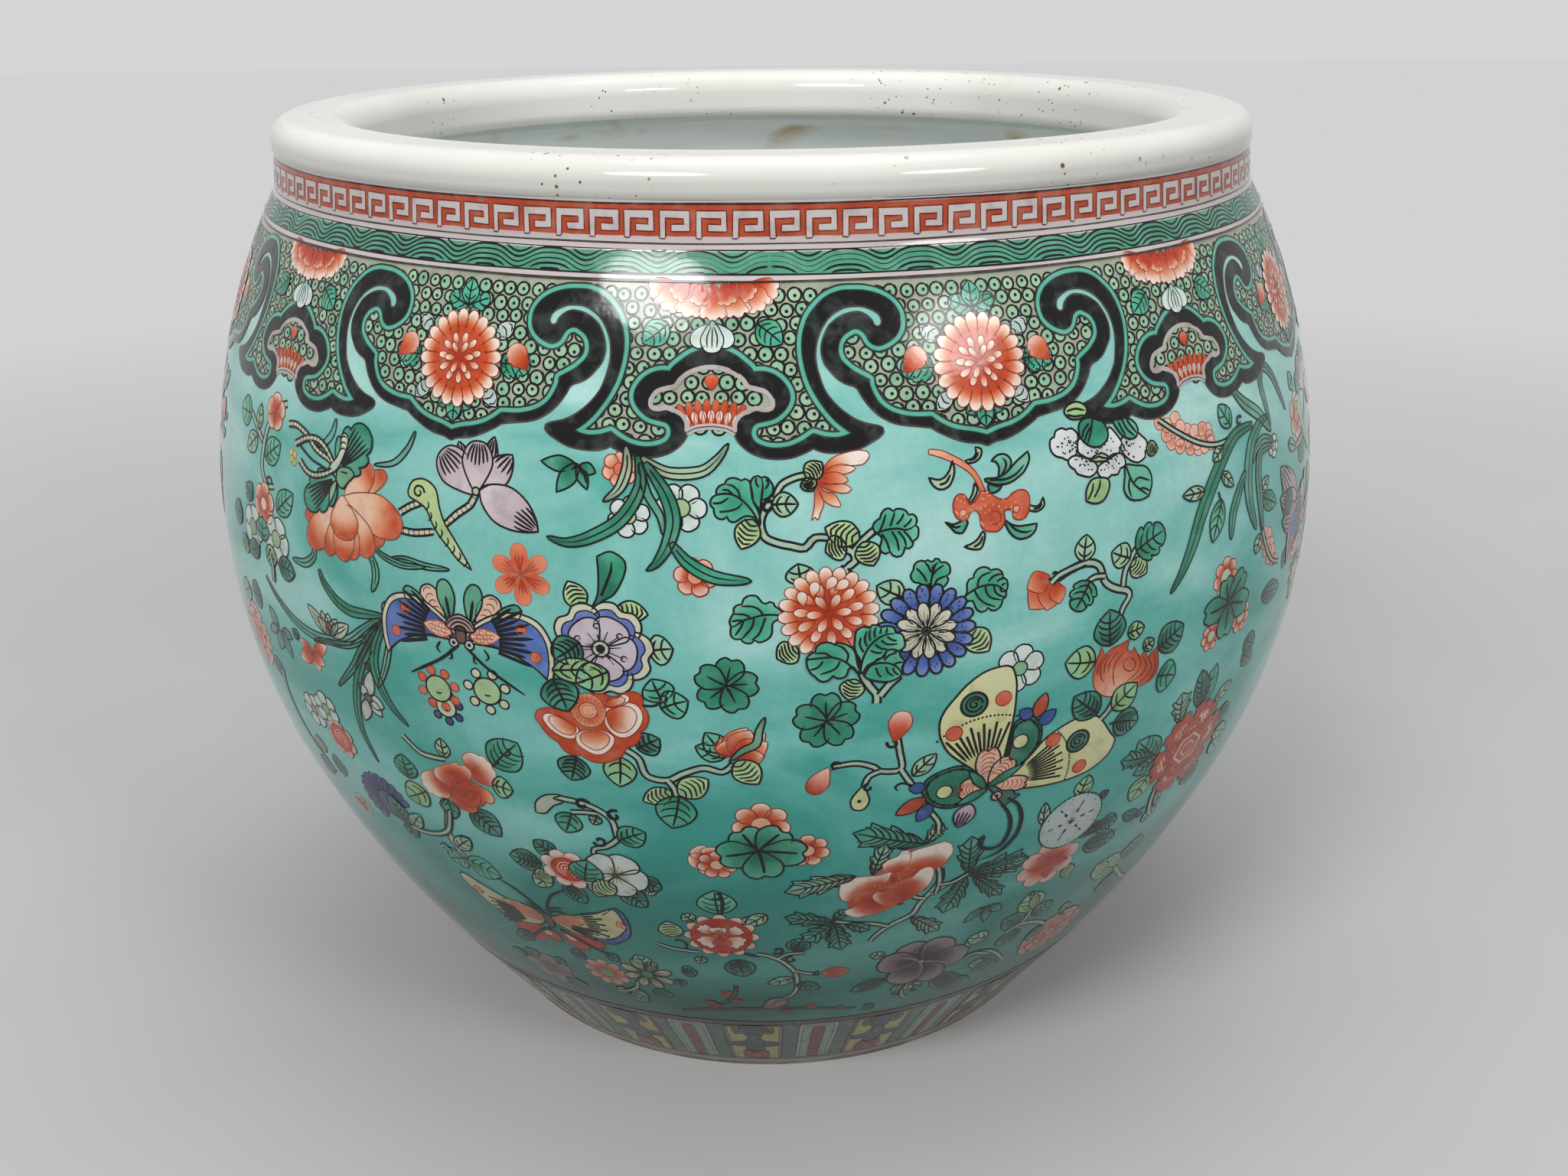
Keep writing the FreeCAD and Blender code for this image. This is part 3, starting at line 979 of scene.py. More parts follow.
def stem(p, control, width=1.5, tint=(176, 202, 178)):
    """A branch: pale body with a black line along each side."""
    p.up()
    line = smooth(control, False, 1.4)
    p.line(line, (width + 1.4) / p.weight, None, (1, 0.85))
    p.line(line, width * 0.86, tint, (1, 0.7), 0.7)


def tendril(p, control, width=0.7):
    p.line(smooth(control, False, 1.0), width, None, (1, 0.4))


def petal(p, x, y, direction, length, width, stops, profile=ROUND, edge=0.4, edge_tint=None, grain=2.0,
          bend=0.0):
    """One petal, tinted along its length; the caller raises the brush between overlapping ones."""
    spine = Spine(x, y, direction, length, bend)
    p.field(spine.outline(profile, width), graded(x, y, length, stops), grain, edge, edge_tint)
    return spine


RED_LINE = (150, 44, 22)
PINK_MILK = (250, 236, 224)
CORAL_STOPS = [(0.0, CORAL_DEEP), (0.55, CORAL), (0.78, CORAL_PALE), (0.93, BLUSH), (1.0, PINK_MILK)]
WHITE_TIP = [(0.0, CORAL_DEEP), (0.48, CORAL), (0.68, CORAL_PALE), (0.84, BLUSH), (1.0, PINK_MILK)]
WHITE_STOPS = [(0.0, (150, 196, 176)), (0.35, MILK), (1.0, (226, 236, 228))]


def petals(p, places, stops, profile=ROUND, edge=0.4, edge_tint=None, rise=1):
    """Separate petals of one kind, each over the one before by so many steps."""
    for place in places:
        p.up(rise)
        petal(p, *place, stops, profile, edge, edge_tint)


def ring_of_petals(p, x, y, count, inner, length, width, stops, turn=0.0, **kind):
    """Petals round a middle: every second one first, then those that overlap them."""
    for first in (0, 1):
        p.up()
        for k in range(first, count, 2):
            way = turn + 360 * k / count
            c, s = math.cos(math.radians(way)), math.sin(math.radians(way))
            petal(p, x + inner * c, y + inner * s, way, length, width, stops, **kind)


def chrysanthemum(p, x, y, radius, count=20, turn=0.0, edge_tint=RED_LINE, quill=0.4):
    """Iron red chrysanthemum: white tipped petals, a red ring, and two rings of pale quills."""
    kind = {"edge": 0.34, "edge_tint": edge_tint, "grain": 1.8}
    tips = [(0.0, CORAL_DEEP), (0.35, CORAL), (0.56, CORAL_PALE), (0.72, BLUSH), (0.9, PINK_MILK)]
    width = 2 * math.pi * radius * 0.88 / count
    p.field(circle(x, y, radius * 0.8), CORAL, 3.0)
    ring_of_petals(p, x, y, count, radius * 0.5, radius * 0.5, width, tips, turn, **kind)
    p.up()
    ground = graded(x, y, radius * 0.64, [(0, CORAL_DEEP), (0.7, (202, 70, 32)), (1, CORAL)])
    p.field(circle(x, y, radius * 0.62), ground, 2.4)
    for k in range(count):
        way = math.radians(turn + 360 * (k + 0.5) / count)
        c, s = math.cos(way), math.sin(way)
        near, far = radius * 0.5, radius * 0.72
        p.line([(x + near * c, y + near * s), (x + far * c, y + far * s)], 0.36, edge_tint)
    pale = [(0.0, CORAL_DEEP), (0.25, CORAL), (0.45, CORAL_PALE), (0.75, BLUSH), (1.0, PINK_MILK)]
    reach = radius * quill
    ring_of_petals(p, x, y, 11, reach * 0.75, reach, reach * 0.5, pale, turn + 9, **kind)
    ring_of_petals(p, x, y, 6, radius * 0.07, reach * 0.95, reach * 0.46, pale, turn, **kind)
    p.up()
    p.field(circle(x, y, radius * 0.09), CORAL_DEEP, 2.0)


def circle(x, y, radius, count=0, squash=1.0):
    count = count or max(10, int(radius * 7 / 0.9))
    turns = np.linspace(0, 2 * math.pi, count, endpoint=False)
    return np.stack([x + radius * np.cos(turns), y + radius * squash * np.sin(turns)], axis=1)


def blossom(p, x, y, radius, count=5, turn=90.0, stops=WHITE_STOPS, edge_tint=None, eye=YELLOW_GREEN,
            eye_radius=0.26, stamens=0, profile=ROUND, edge=0.45, wide=1.25):
    """A small open flower with round petals and an eye."""
    width = 2 * math.pi * radius * 0.62 / count * wide
    kind = {"edge": edge, "edge_tint": edge_tint, "profile": profile}
    ring_of_petals(p, x, y, count, radius * 0.08, radius * 0.92, width, stops, turn, **kind)
    p.up()
    for k in range(stamens):
        way = math.radians(360 * k / stamens + 7)
        c, s = math.cos(way), math.sin(way)
        far = radius * (0.5 + 0.06 * (k % 2))
        p.line([(x + c * radius * 0.2, y + s * radius * 0.2), (x + c * far, y + s * far)], 0.4)
        p.dot(x + c * far, y + s * far, 0.45)
    if eye:
        p.up()
        p.field(circle(x, y, radius * eye_radius), eye, 2.0, 0.4, edge_tint)


def peony(p, x, y, radius, turn=0.0, stops=CORAL_STOPS, squash=1.0, count=6, heart=True):
    """A full coral peony: wavy white edged petals in three overlapping rings."""
    rings = ((0.42, 0.6, count), (0.22, 0.56, count - 1), (0.04, 0.46, count - 2))
    for ring, (inner, share, number) in enumerate(rings):
        width = 2 * math.pi * radius * (0.72 - 0.2 * ring) / number * 1.18
        for first in (0, 1):
            p.up()
            for k in range(first, number, 2):
                way = turn + ring * 31 + 360 * k / number
                c, s = math.cos(math.radians(way)), math.sin(math.radians(way)) * squash
                place = (x + radius * inner * c, y + radius * inner * s)
                petal(p, *place, way, radius * share, width, stops, WAVY, 0.4, RED_LINE)
    if heart:
        p.up()
        p.field(circle(x, y, radius * 0.17), CORAL_DEEP, 2.0)
        for k in range(5):
            way = math.radians(72 * k + turn)
            place = (x + radius * 0.1 * math.cos(way), y + radius * 0.1 * math.sin(way))
            p.dot(*place, radius * 0.05, (244, 214, 180), 1)


def clover(p, x, y, radius, count=5, turn=90.0, tint=EMERALD, heart=False):
    """A leaf of rounded leaflets with one vein in each."""
    stops = [(0, darker(tint)), (0.5, tint), (1, blend(tint, TURQUOISE, 0.2))]
    width = 2 * math.pi * radius * 0.66 / count * 1.12
    for first in (0, 1):
        p.up()
        for k in range(first, count, 2):
            way = turn + 360 * k / count
            spine = petal(p, x, y, way, radius, width, stops, HEART if heart else ROUND, 0.5)
            p.line(spine.track([(0, 0), (0.4, 0.1), (0.72, 0)]), 0.55)


LEAF_KINDS = {
    "emerald": {"tint": (56, 156, 120), "pitch": 2.5},
    "fresh": {"tint": (84, 184, 146), "pitch": 2.8},
    "dark": {"tint": (46, 118, 94), "pitch": 1.5, "shade": (26, 78, 66), "bold": 0.62},
    "deep": {"tint": (38, 118, 94), "pitch": 2.0, "shade": (18, 70, 60), "bold": 0.55},
    "pale": {"tint": (176, 208, 164), "pitch": 3.6, "shade": (128, 172, 136)},
    "lime": {"tint": (164, 204, 136), "pitch": 3.4, "shade": (118, 166, 112), "bold": 0.55},
    "lobed": {"tint": (54, 152, 116), "pitch": 2.3, "profile": lobed(3, 0.22), "bold": 0.55},
    "toothed": {"tint": (50, 138, 108), "pitch": 2.2, "profile": serrated(3)},
    "pale_toothed": {"tint": (146, 182, 148), "pitch": 2.3, "profile": serrated(3)},
    "slim": {"tint": (40, 128, 96), "pitch": 0, "profile": BLADE},
}


def leaves(p, kind, *places):
    """Leaves of one kind, each given as root, direction, length and width."""
    for place in places:
        if kind == "striped":
            striped_leaf(p, *place)
        else:
            leaf(p, *place, **LEAF_KINDS[kind])


def tip_veins(p, spine, width, count, start=0.5, end=0.94, thick=0.6):
    """Dark veins that run together towards the tip of a petal."""
    for k in range(count):
        side = (k - (count - 1) / 2) / count * width * 0.8
        begin = start + 0.3 * abs(side) / width
        p.line(spine.track([(begin, side), ((begin + end) / 2, side * 0.85), (end, side * 0.45)]), thick)


def beaded_stem(p, control, width=1.5, tint=(206, 206, 180)):
    """A stem of small segments, as lotus and insect legs are drawn."""
    stem(p, control, width, tint)
    line = smooth(control, False, 1.9)
    along = np.gradient(line, axis=0)
    side = np.stack([-along[:, 1], along[:, 0]], axis=1) / np.hypot(*along.T)[:, None] * width / 2
    for place, reach in zip(line[1:-1], side[1:-1]):
        p.line([place - reach, place + reach], 0.35, None, (1, 1), 0.8)


def rays(p, x, y, starts, ends, width=0.8):
    """Black brush strokes that fan out over a wing, each from one start to one end."""
    for start, end in zip(starts, ends):
        middle = ((start[0] + end[0]) / 2, (start[1] + end[1]) / 2)
        way = [(x + start[0], y + start[1]), (x + middle[0], y + middle[1]), (x + end[0], y + end[1])]
        p.line(smooth(way, False, 1.0), width, None, (1, 0.2), 0.3)


def fan(centre, near, far, low, high, count):
    """Starts and ends of strokes that spread from a centre, between two directions."""
    starts, ends = [], []
    for k in range(count):
        way = math.radians(low + (high - low) * k / max(count - 1, 1))
        c, s = math.cos(way), math.sin(way)
        reach = far * (1 - 0.12 * (k % 2))
        starts.append((centre[0] + near * c, centre[1] + near * s))
        ends.append((centre[0] + reach * c, centre[1] + reach * s))
    return starts, ends


def arcs(p, x, y, direction, count, first, gap, spread=70, width=0.45, tint=None):
    """Nested arcs round a place, like the rings drawn on a bud or an insect."""
    for k in range(count):
        radius = first + gap * k
        turns = np.radians(np.linspace(direction - spread, direction + spread, 9))
        line = np.stack([x + radius * np.cos(turns), y + radius * np.sin(turns)], axis=1)
        p.line(line, width, tint, (0.6, 0.6), 0.3)


def curl(p, x, y, direction, radius, turns=1.1, width=0.8, hand=1):
    """A spiral end of a tendril."""
    share = np.linspace(0, 1, 18)
    way = np.radians(direction) + hand * share * turns * 2 * math.pi
    reach = radius * (1 - 0.75 * share)
    p.line(np.stack([x + reach * np.cos(way), y + reach * np.sin(way)], axis=1), width, None, (1, 0.5))


def scales(p, x, y, length, width, direction, tint=(240, 196, 168), line=(190, 96, 60), cells=9):
    """A patch of small round scales, as on a butterfly's body."""
    p.up()
    spine = Spine(x, y, direction, length)
    p.field(spine.outline(OVAL, width), tint, 2.4, 0.4, line)
    per_row = max(2, cells // 3)
    for row in range(3):
        for k in range(per_row):
            t = 0.16 + 0.7 * (k + 0.5 * (row % 2)) / per_row
            place = spine.at(t, (row - 1) * width * 0.26)
            p.line(circle(*place, width * 0.15, 9), 0.35, line, (1, 1), 0.3)


def round_flower(p, x, y, radius, beads, bead_radius, face=(176, 206, 154), bead=CORAL, edge=None):
    """A small disc with a ring of beads."""
    for k in range(beads):
        way = 2 * math.pi * k / beads + 0.3
        place = (x + radius * 1.42 * math.cos(way), y + radius * 1.42 * math.sin(way))
        p.field(circle(*place, bead_radius, 12), bead, 2.4, 0.45, edge)
    p.up()
    p.field(circle(x, y, radius), face, 2.4, 0.5)
    arcs(p, x, y, 270, 1, radius * 0.35, 0.5, 40, 0.5)


def rosette(p, x, y, radius, lobes, turn, outer, inner, heart, squash=1.0):
    """Rose peony seen from the front: deep lobes, each with a paler lobe in it, round a heart."""
    for ring, (reach, width, inset) in enumerate(((1.0, 0.98, 0.62), (0.66, 0.8, 0.6))):
        number = lobes if ring == 0 else max(4, lobes - 1)
        span = 2 * math.pi * radius * reach * 0.62 / number * width * 1.32
        for first in (0, 1):
            p.up()
            for k in range(first, number, 2):
                way = turn + ring * 30 + 360 * k / number
                c, s = math.cos(math.radians(way)), math.sin(math.radians(way)) * squash
                root = (x + radius * reach * 0.12 * c, y + radius * reach * 0.12 * s)
                petal(p, *root, way, radius * reach * 0.88, span, outer, WAVY, 0.4, RED_LINE)
                lobe = (x + radius * reach * 0.34 * c, y + radius * reach * 0.34 * s)
                petal(p, *lobe, way, radius * reach * 0.56, span * inset, inner, ROUND, 0.3, RED_LINE)
    if heart:
        p.up()
        p.field(circle(x, y, radius * 0.2), heart, 2.0, 0.3, RED_LINE)
        arcs(p, x, y, 90, 2, radius * 0.07, radius * 0.06, 160, 0.35, RED_LINE)


ROSE_OUTER = [(0, CORAL_DEEP), (0.75, CORAL), (1, (192, 58, 28))]
ROSE_INNER = [(0, CORAL), (0.35, CORAL_PALE), (0.6, BLUSH), (1, PINK_MILK)]
# Bands round the collar


def ring_field(painting, low, high, tint, rows=3, wobble=0.0, above=0.0):
    """A band all the way round, between two heights."""
    turns = np.arange(SEGMENTS) * 360 / SEGMENTS
    lower = low + np.array([rng.gauss(0, wobble) for _ in turns])
    upper = high + np.array([rng.gauss(0, wobble) for _ in turns])
    shares = np.linspace(0, 1, rows)
    heights = np.concatenate([lower * (1 - share) + upper * share for share in shares])
    lifts = np.full((rows, SEGMENTS), painting.lift(above))
    lifts[[0, -1]] = painting.lift(above - BORDER_SINK)
    faces = []
    for k in range(rows - 1):
        for i in range(SEGMENTS):
            j = (i + 1) % SEGMENTS
            here, there = k * SEGMENTS, (k + 1) * SEGMENTS
            faces.append((here + i, here + j, there + j, there + i))
    angles = np.tile(turns, rows)
    painting.enamel.add(angles, heights, lifts.ravel(), faces, [linear(tint)] * len(angles))


def ring_line(painting, height, width, tint=None, above=0.0, wobble=0.12, gaps=()):
    """A line drawn round the turning bowl, not quite even; gaps are where the brush ran dry."""
    phases = [rng.uniform(0, 360) for _ in range(4)]
    for start, end in gaps_to_runs(gaps):
        turns = np.arange(start, end + 0.001, 0.6)
        drift = sum(
            np.sin(np.radians(turns * k + p)) * wobble / 2 for k, p in zip((1, 3, 7, 19), phases)
        )
        thick = 1 + 0.18 * np.sin(np.radians(turns * 11 + phases[0]))
        drawn_round(painting, turns, height + drift, thick * width / 2, tint, above)


def drawn_round(painting, turns, height, half, tint=None, above=0.0):
    """A line along angles and heights on the bowl, with a half width at each place."""
    count = len(turns)
    heights = np.concatenate([height + half, height, height - half])
    heap = painting.ink if tint is None else painting.enamel
    colours = [linear(tint or BLACK)] * (3 * count)
    lifts = painting.line_lifts(count, above)
    heap.add(np.concatenate([turns] * 3), heights, lifts, strip_faces(count), colours, True)


def gaps_to_runs(gaps):
    runs, start = [], 0.0
    for gap_start, gap_end in sorted(gaps):
        runs.append((start, gap_start))
        start = gap_end
    runs.append((start, 360.0))
    return runs


# Black lines of all the bands, in one piece.
BORDER_INK = Heap()

# Heights of the bands, and how often the key and the wave repeat round the bowl.
BORDER_LOW, BORDER_HIGH = 372.3, 397.6
FRET_LOW, FRET_MIDDLE, FRET_HIGH = 386.0, 390, 395.4
WAVES_LOW, WAVES_HIGH = 374.7, 382.3
KEYS, WAVES = 110, 54

# Angles between which the brush ran dry in the topmost rule.
DRY = [(5.9, 6.1), (7.0, 7.3), (9.3, 10.2), (41.0, 43.5), (133, 135), (218, 221), (305, 306)]


def border_bands():
    white = Painting("border_ground", "border_enamel")
    ring_field(white, BORDER_LOW, BORDER_HIGH, PINK_WHITE, rows=12)
    white.finish(BORDER_WHITE)
    key_fret()
    wave_band()
    border_rules()


def key_fret():
    """White keys left from a red ground."""
    red = Painting("key_fret_ground", "coral_enamel")
    ring_field(red, FRET_LOW, FRET_HIGH, (192, 76, 42), rows=4, wobble=0.05, above=1)
    red.finish()
    fret = Painting("key_fret", "white_glaze", height=FRET_MIDDLE)
    pitch = 360 / KEYS / DEGREES_PER_MM
    for unit in range(KEYS):
        key_unit(fret, unit * pitch)
    fret.finish()


def wave_band():
    waves = Painting("wave_band", "border_enamel", ink=BORDER_INK)
    ring_field(waves, WAVES_LOW, WAVES_HIGH, (84, 158, 130), rows=4, above=1)
    wave_lines(waves, WAVES, WAVES_LOW, WAVES_HIGH)
    waves.finish()


def border_rules():
    """Rules between the bands, from the top down."""
    lines = Painting("border_rules", "line_pigment", ink=BORDER_INK)
    lines.up(2)
    ring_line(lines, 397.0, 0.62, gaps=DRY)
    ring_line(lines, 395.6, 0.6, (62, 30, 24))
    ring_line(lines, 384.0, 0.5, (84, 66, 60))
    ring_line(lines, 382.3, 0.6)
    ring_line(lines, 374.5, 0.6)
    ring_line(lines, 372.5, 0.7, (58, 50, 50), above=16)
    lines.finish()


def key_unit(fret, left):
    """One turn of the key fret: up, across, down and back in, drawn by hand and so not quite even."""

    def at(x, y):
        return (left + x + rng.uniform(-0.16, 0.16), y - FRET_MIDDLE + rng.uniform(-0.13, 0.13))

    foot, tall, top, back = 385.6, 393.5, 391.5, 387.6
    outline = [
        at(-0.2, foot), at(-0.2, tall), at(9.8, tall), at(9.8, back), at(3.8, back), at(3.8, back + 1.8),
        at(8.0, back + 1.8), at(8.0, top), at(1.5, top), at(1.5, foot),
    ]
    path = []
    for first, second in zip(outline, outline[1:] + outline[:1]):
        across, up = second[0] - first[0], second[1] - first[1]
        steps = max(1, int(math.hypot(across, up) / 1.2))
        path += [(first[0] + across * k / steps, first[1] + up * k / steps) for k in range(steps)]
    path = np.array(path[::-1])
    fret.line(np.concatenate([path, path[:1]]), 0.9, (112, 40, 24), (1, 1), above=2)
    fret.field(path, PINK_WHITE, 4.0, above=4)


def wave_lines(painting, waves, low, high):
    """Nested wavy lines, cut off where they leave the band."""
    turns = np.arange(0, 360.001, 0.25)
    swell = 1.75 * np.cos(np.radians(turns * waves)) - 0.35 * np.cos(np.radians(2 * waves * turns))
    drift = 0.2 * np.sin(np.radians(5 * turns)) + 0.15 * np.sin(np.radians(13 * turns + 40))
    for number in range(-1, 6):
        height = low + 0.9 + number * 1.65 + swell + drift
        shown = (height > low + 0.1) & (height < high - 0.1)
        start = None
        for i in range(len(turns)):
            last = i == len(turns) - 1
            if shown[i] and start is None:
                start = i
            if start is not None and (not shown[i] or last):
                if i - start > 6:
                    draw_wave(painting, turns[start:i], height[start:i])
                start = None


def draw_wave(painting, turns, height):
    thin = np.interp(np.linspace(0, 1, len(turns)), [0, 0.1, 0.9, 1], [0.2, 1, 1, 0.2])
    drawn_round(painting, turns, height, 0.36 * thin, above=2)


border_bands()


# Collar of eight ruyi lappets and cloud cells between them


# Half of one unit, from the middle of a cloud cell to the middle of a lappet, in millimetres.
LAPPETS = 8
UNIT_DEGREES = 360 / LAPPETS
FIRST_LAPPET = 17.5
HALF_UNIT = UNIT_DEGREES / 2 / DEGREES_PER_MM
HALF_DRAWN = 84.3
DIAPER_TOP = 372.4
UPPER_EDGE = [
    (0, 352), (3.2, 351.6), (6.9, 350.1), (9.8, 348), (11.8, 346.3), (12.8, 344.9, CORNER),
    (15.7, 345), (18.7, 344.1), (21.2, 342.3), (23.1, 339.6), (23.6, 337.1), (22.9, 334.9),
    (21.1, 332.7), (18.8, 331.1), (15.9, 330.3), (13.4, 329.7), (12, 328.1), (11.9, 325.7),
    (13.2, 323.7), (16.3, 322.3), (20.1, 321.9), (24.2, 322.6), (28, 324.4), (30.5, 326.1, CORNER),
    (33.3, 325.1), (37, 324.6), (39.9, 325), (42.3, 325.9, CORNER), (39.9, 327.6), (37.1, 330.1),
    (34.3, 333.6), (32, 337.1), (29.9, 341.4), (28.5, 346.4), (27.9, 351.4), (28.3, 356.1),
    (29.7, 360.4), (31.7, 363.4), (34.8, 366.4), (37.5, 368), (41, 369), (44.4, 369.1),
    (48.1, 368.9), (51.6, 368.1), (54.3, 367), (56.7, 365.4), (58.4, 363.4), (59.3, 361.4),
    (59.5, 359.4), (59.1, 357), (57.8, 355), (55.7, 353.4), (53.6, 352.4), (51.9, 352),
    (50.2, 352.5), (49, 353.6), (48.1, 355.4), (47.1, 356.6), (45.6, 357.4), (44, 357.4),
    (42.3, 356.6), (40.6, 355.4), (39.4, 353.6), (38.9, 351.6), (39, 349.6), (39.9, 347.6),
    (42.6, 345), (44.7, 343.6), (48.1, 341.7, CORNER), (48.1, 340), (49.2, 337.1), (50.9, 334.3),
    (53.5, 332.1), (56.8, 330.6), (61.2, 329.6), (66.7, 329.3, CORNER), (69.3, 327.3),
    (72.2, 325.6), (75.9, 324.3), (80.3, 323.4), (84.3, 322.1),
]
LOWER_EDGE = [
    (84.3, 319.4), (81.7, 320.4), (78.1, 320.9), (74.4, 322.1), (71.1, 323.7), (68.5, 325.1),
    (66.6, 326.4, CORNER), (61.2, 327.3), (57.5, 327.9), (54.4, 328.9), (50.9, 331), (48, 333.9),
    (45.8, 337.1), (44.6, 339.4), (43.2, 340.4, CORNER), (41.1, 341.1), (38.8, 342.5), (36.5, 345),
    (34.8, 347.4), (34.1, 350.4), (34.3, 353), (35.2, 355.6), (36.8, 358.4), (39.3, 360.4),
    (41.6, 361.5), (44, 362.1), (46.1, 362.2), (47.8, 361.6), (49.2, 360.6), (50.2, 359.4),
    (50.7, 358.1), (51.6, 357.5), (52.6, 357.5), (53.6, 358.4), (53.8, 359.6), (53.4, 361),
    (52.2, 362.4), (50.2, 363.5), (47.8, 364.4), (45.1, 364.6), (42.3, 364.4), (39.6, 363.4),
    (36.8, 361.6), (34.8, 359.4), (33.1, 356.4), (32.1, 353.6), (31.6, 350.4), (31.7, 347.6),
    (32.3, 344.3), (33.9, 339.3), (36.1, 335.9), (38.8, 333), (42.3, 330.3), (45.8, 328.6),
    (49.5, 327.6), (51.2, 326.9), (51.4, 325.9), (50.2, 324.6), (47.3, 322.9), (43.6, 321.3),
    (39.2, 320.6), (34.8, 320.6), (32, 321.3), (30.4, 322.1, CORNER), (28.2, 321), (24.5, 319.6),
    (20.9, 319.1), (16.5, 319.4), (12.6, 320.7), (9.8, 322.7), (7.9, 325), (7.2, 327.5),
]
TREFOIL = [
    (7.2, 327.5, CORNER), (7.5, 329.9), (9.1, 332), (11.5, 333.3), (13.5, 334.1), (16.2, 333.6),
    (18.1, 334.1), (18.5, 335.6), (17.8, 337.6), (16.1, 339.1), (13.1, 340), (11, 340.6),
    (9.8, 342.4), (7.1, 344.6), (3.4, 346), (0, 346.4),
]
CLOUD_SILL = [(7.4, 326.6), (4.6, 328.0), (0, 328.6)]
COLLAR_LEVEL_AT = 345.0
DIAPER_GROUND = (166, 172, 150)


def collar_place(x, height):
    """A drawn place of the half unit, moved so that the lappet's middle is at zero."""
    return ((x - HALF_DRAWN) * HALF_UNIT / HALF_DRAWN, height - COLLAR_LEVEL_AT)


def both_halves(control):
    """The drawn half, then its mirror image back to the other side."""
    left = [(*collar_place(x, y), *mark) for x, y, *mark in control]
    right = [(-x, y, *mark) for x, y, *mark in reversed(left)]
    if abs(left[-1][0]) < 0.01:
        return left + right[1:]
    return left + right


def with_corners(control):
    """Sharp first and last points, where a drawn edge starts and ends."""
    return [(*control[0][:2], CORNER), *control[1:-1], (*control[-1][:2], CORNER)]


def sharp_middle(control):
    """The lappet comes to a point in its middle."""
    return [(x, y, CORNER) if abs(x) < 0.01 else (x, y, *mark) for x, y, *mark in control]


def scroll_edges():
    upper = with_corners(sharp_middle(both_halves(UPPER_EDGE)))
    lower = sharp_middle(both_halves([*reversed(LOWER_EDGE + TREFOIL[1:])]))
    return upper, with_corners(lower)


def diaper(p, region, seed, spacing=5.15):
    """Ground of small dotted rings, packed closely within a closed outline."""
    pick = random.Random(seed)
    low, high = region.min(0), region.max(0)
    centres = []
    row, y = 0, low[1] + 1.6
    while y < high[1] + 1.5:
        x = low[0] + (spacing / 2 if row % 2 else 0) + pick.uniform(0, 1.0)
        while x < high[0]:
            centres.append((x + pick.gauss(0, 0.28), y + pick.gauss(0, 0.25)))
            x += spacing * pick.uniform(0.94, 1.06)
        row, y = row + 1, y + spacing * TRIANGLE_ROW
    centres = np.array(centres)
    centres = centres[inside(centres, region) | (clearance(centres, region) < 0.5)]
    p.up()
    for x, y in centres:
        if y > DIAPER_TOP - COLLAR_LEVEL_AT - 1.2:
            continue
        radius = spacing * 0.43 * pick.uniform(0.92, 1.06)
        tone = blend((172, 204, 168), (140, 190, 156), pick.uniform(0, 1))
        ring = circle(x, y, radius, 14, pick.uniform(0.92, 1.04))
        p.field(ring, tone, 4.0)
        p.line(np.concatenate([ring, ring[:3]]), 0.68, None, (0.5, 1.4), 1)
        p.dot(x + pick.gauss(0, 0.25), y + pick.gauss(0, 0.25), 0.58, None, 1)


def collar_units():
    upper, lower = scroll_edges()
    edge = smooth(upper, False, 1.0)
    under = smooth(lower, False, 1.0)
    top = DIAPER_TOP - COLLAR_LEVEL_AT
    left, right = edge[0][0], edge[-1][0]
    ceiling = np.stack([np.linspace(right, left, 60), np.full(60, top)], axis=1)
    region = np.concatenate([edge, ceiling])
    band = np.concatenate([under, edge[::-1]])
    for unit in range(LAPPETS):
        angle = FIRST_LAPPET + UNIT_DEGREES * unit
        name = "collar_%d_" % (unit + 1)
        ink = COLLAR_INK[unit // 2]
        ground = Painting(name + "diaper", "leaf_enamel", angle, COLLAR_LEVEL_AT, ink=ink)
        ground.field(region, DIAPER_GROUND, 4.5)
        diaper(ground, region, 40 + unit)
        ground.finish()

        scroll = Painting(name + "scroll", "line_pigment", angle, COLLAR_LEVEL_AT)
        scroll.line(edge, 4.6, (46, 44, 42), (1, 1), 3)
        scroll.line(edge, 3.3, (94, 182, 158), (1, 1), 4)
        scroll.line(edge, 0.8, (30, 66, 58), (1, 1), 5)
        scroll.line(under, 1.2, (70, 56, 54), (1, 1), 4)
        scroll.field(band, (15, 12, 15), 4.0, above=7)
        scroll.finish(SCROLL)

        flowers = Painting(name + "flowers", "coral_enamel", angle, COLLAR_LEVEL_AT, ink=ink)
        flowers.up(2)
        lappet_flowers(flowers)
        flowers.finish()

        cloud = Painting(name + "cloud", "coral_enamel", angle + UNIT_DEGREES / 2, COLLAR_LEVEL_AT, ink=ink)
        cloud_cell(cloud, 80 + unit)
        cloud.finish()


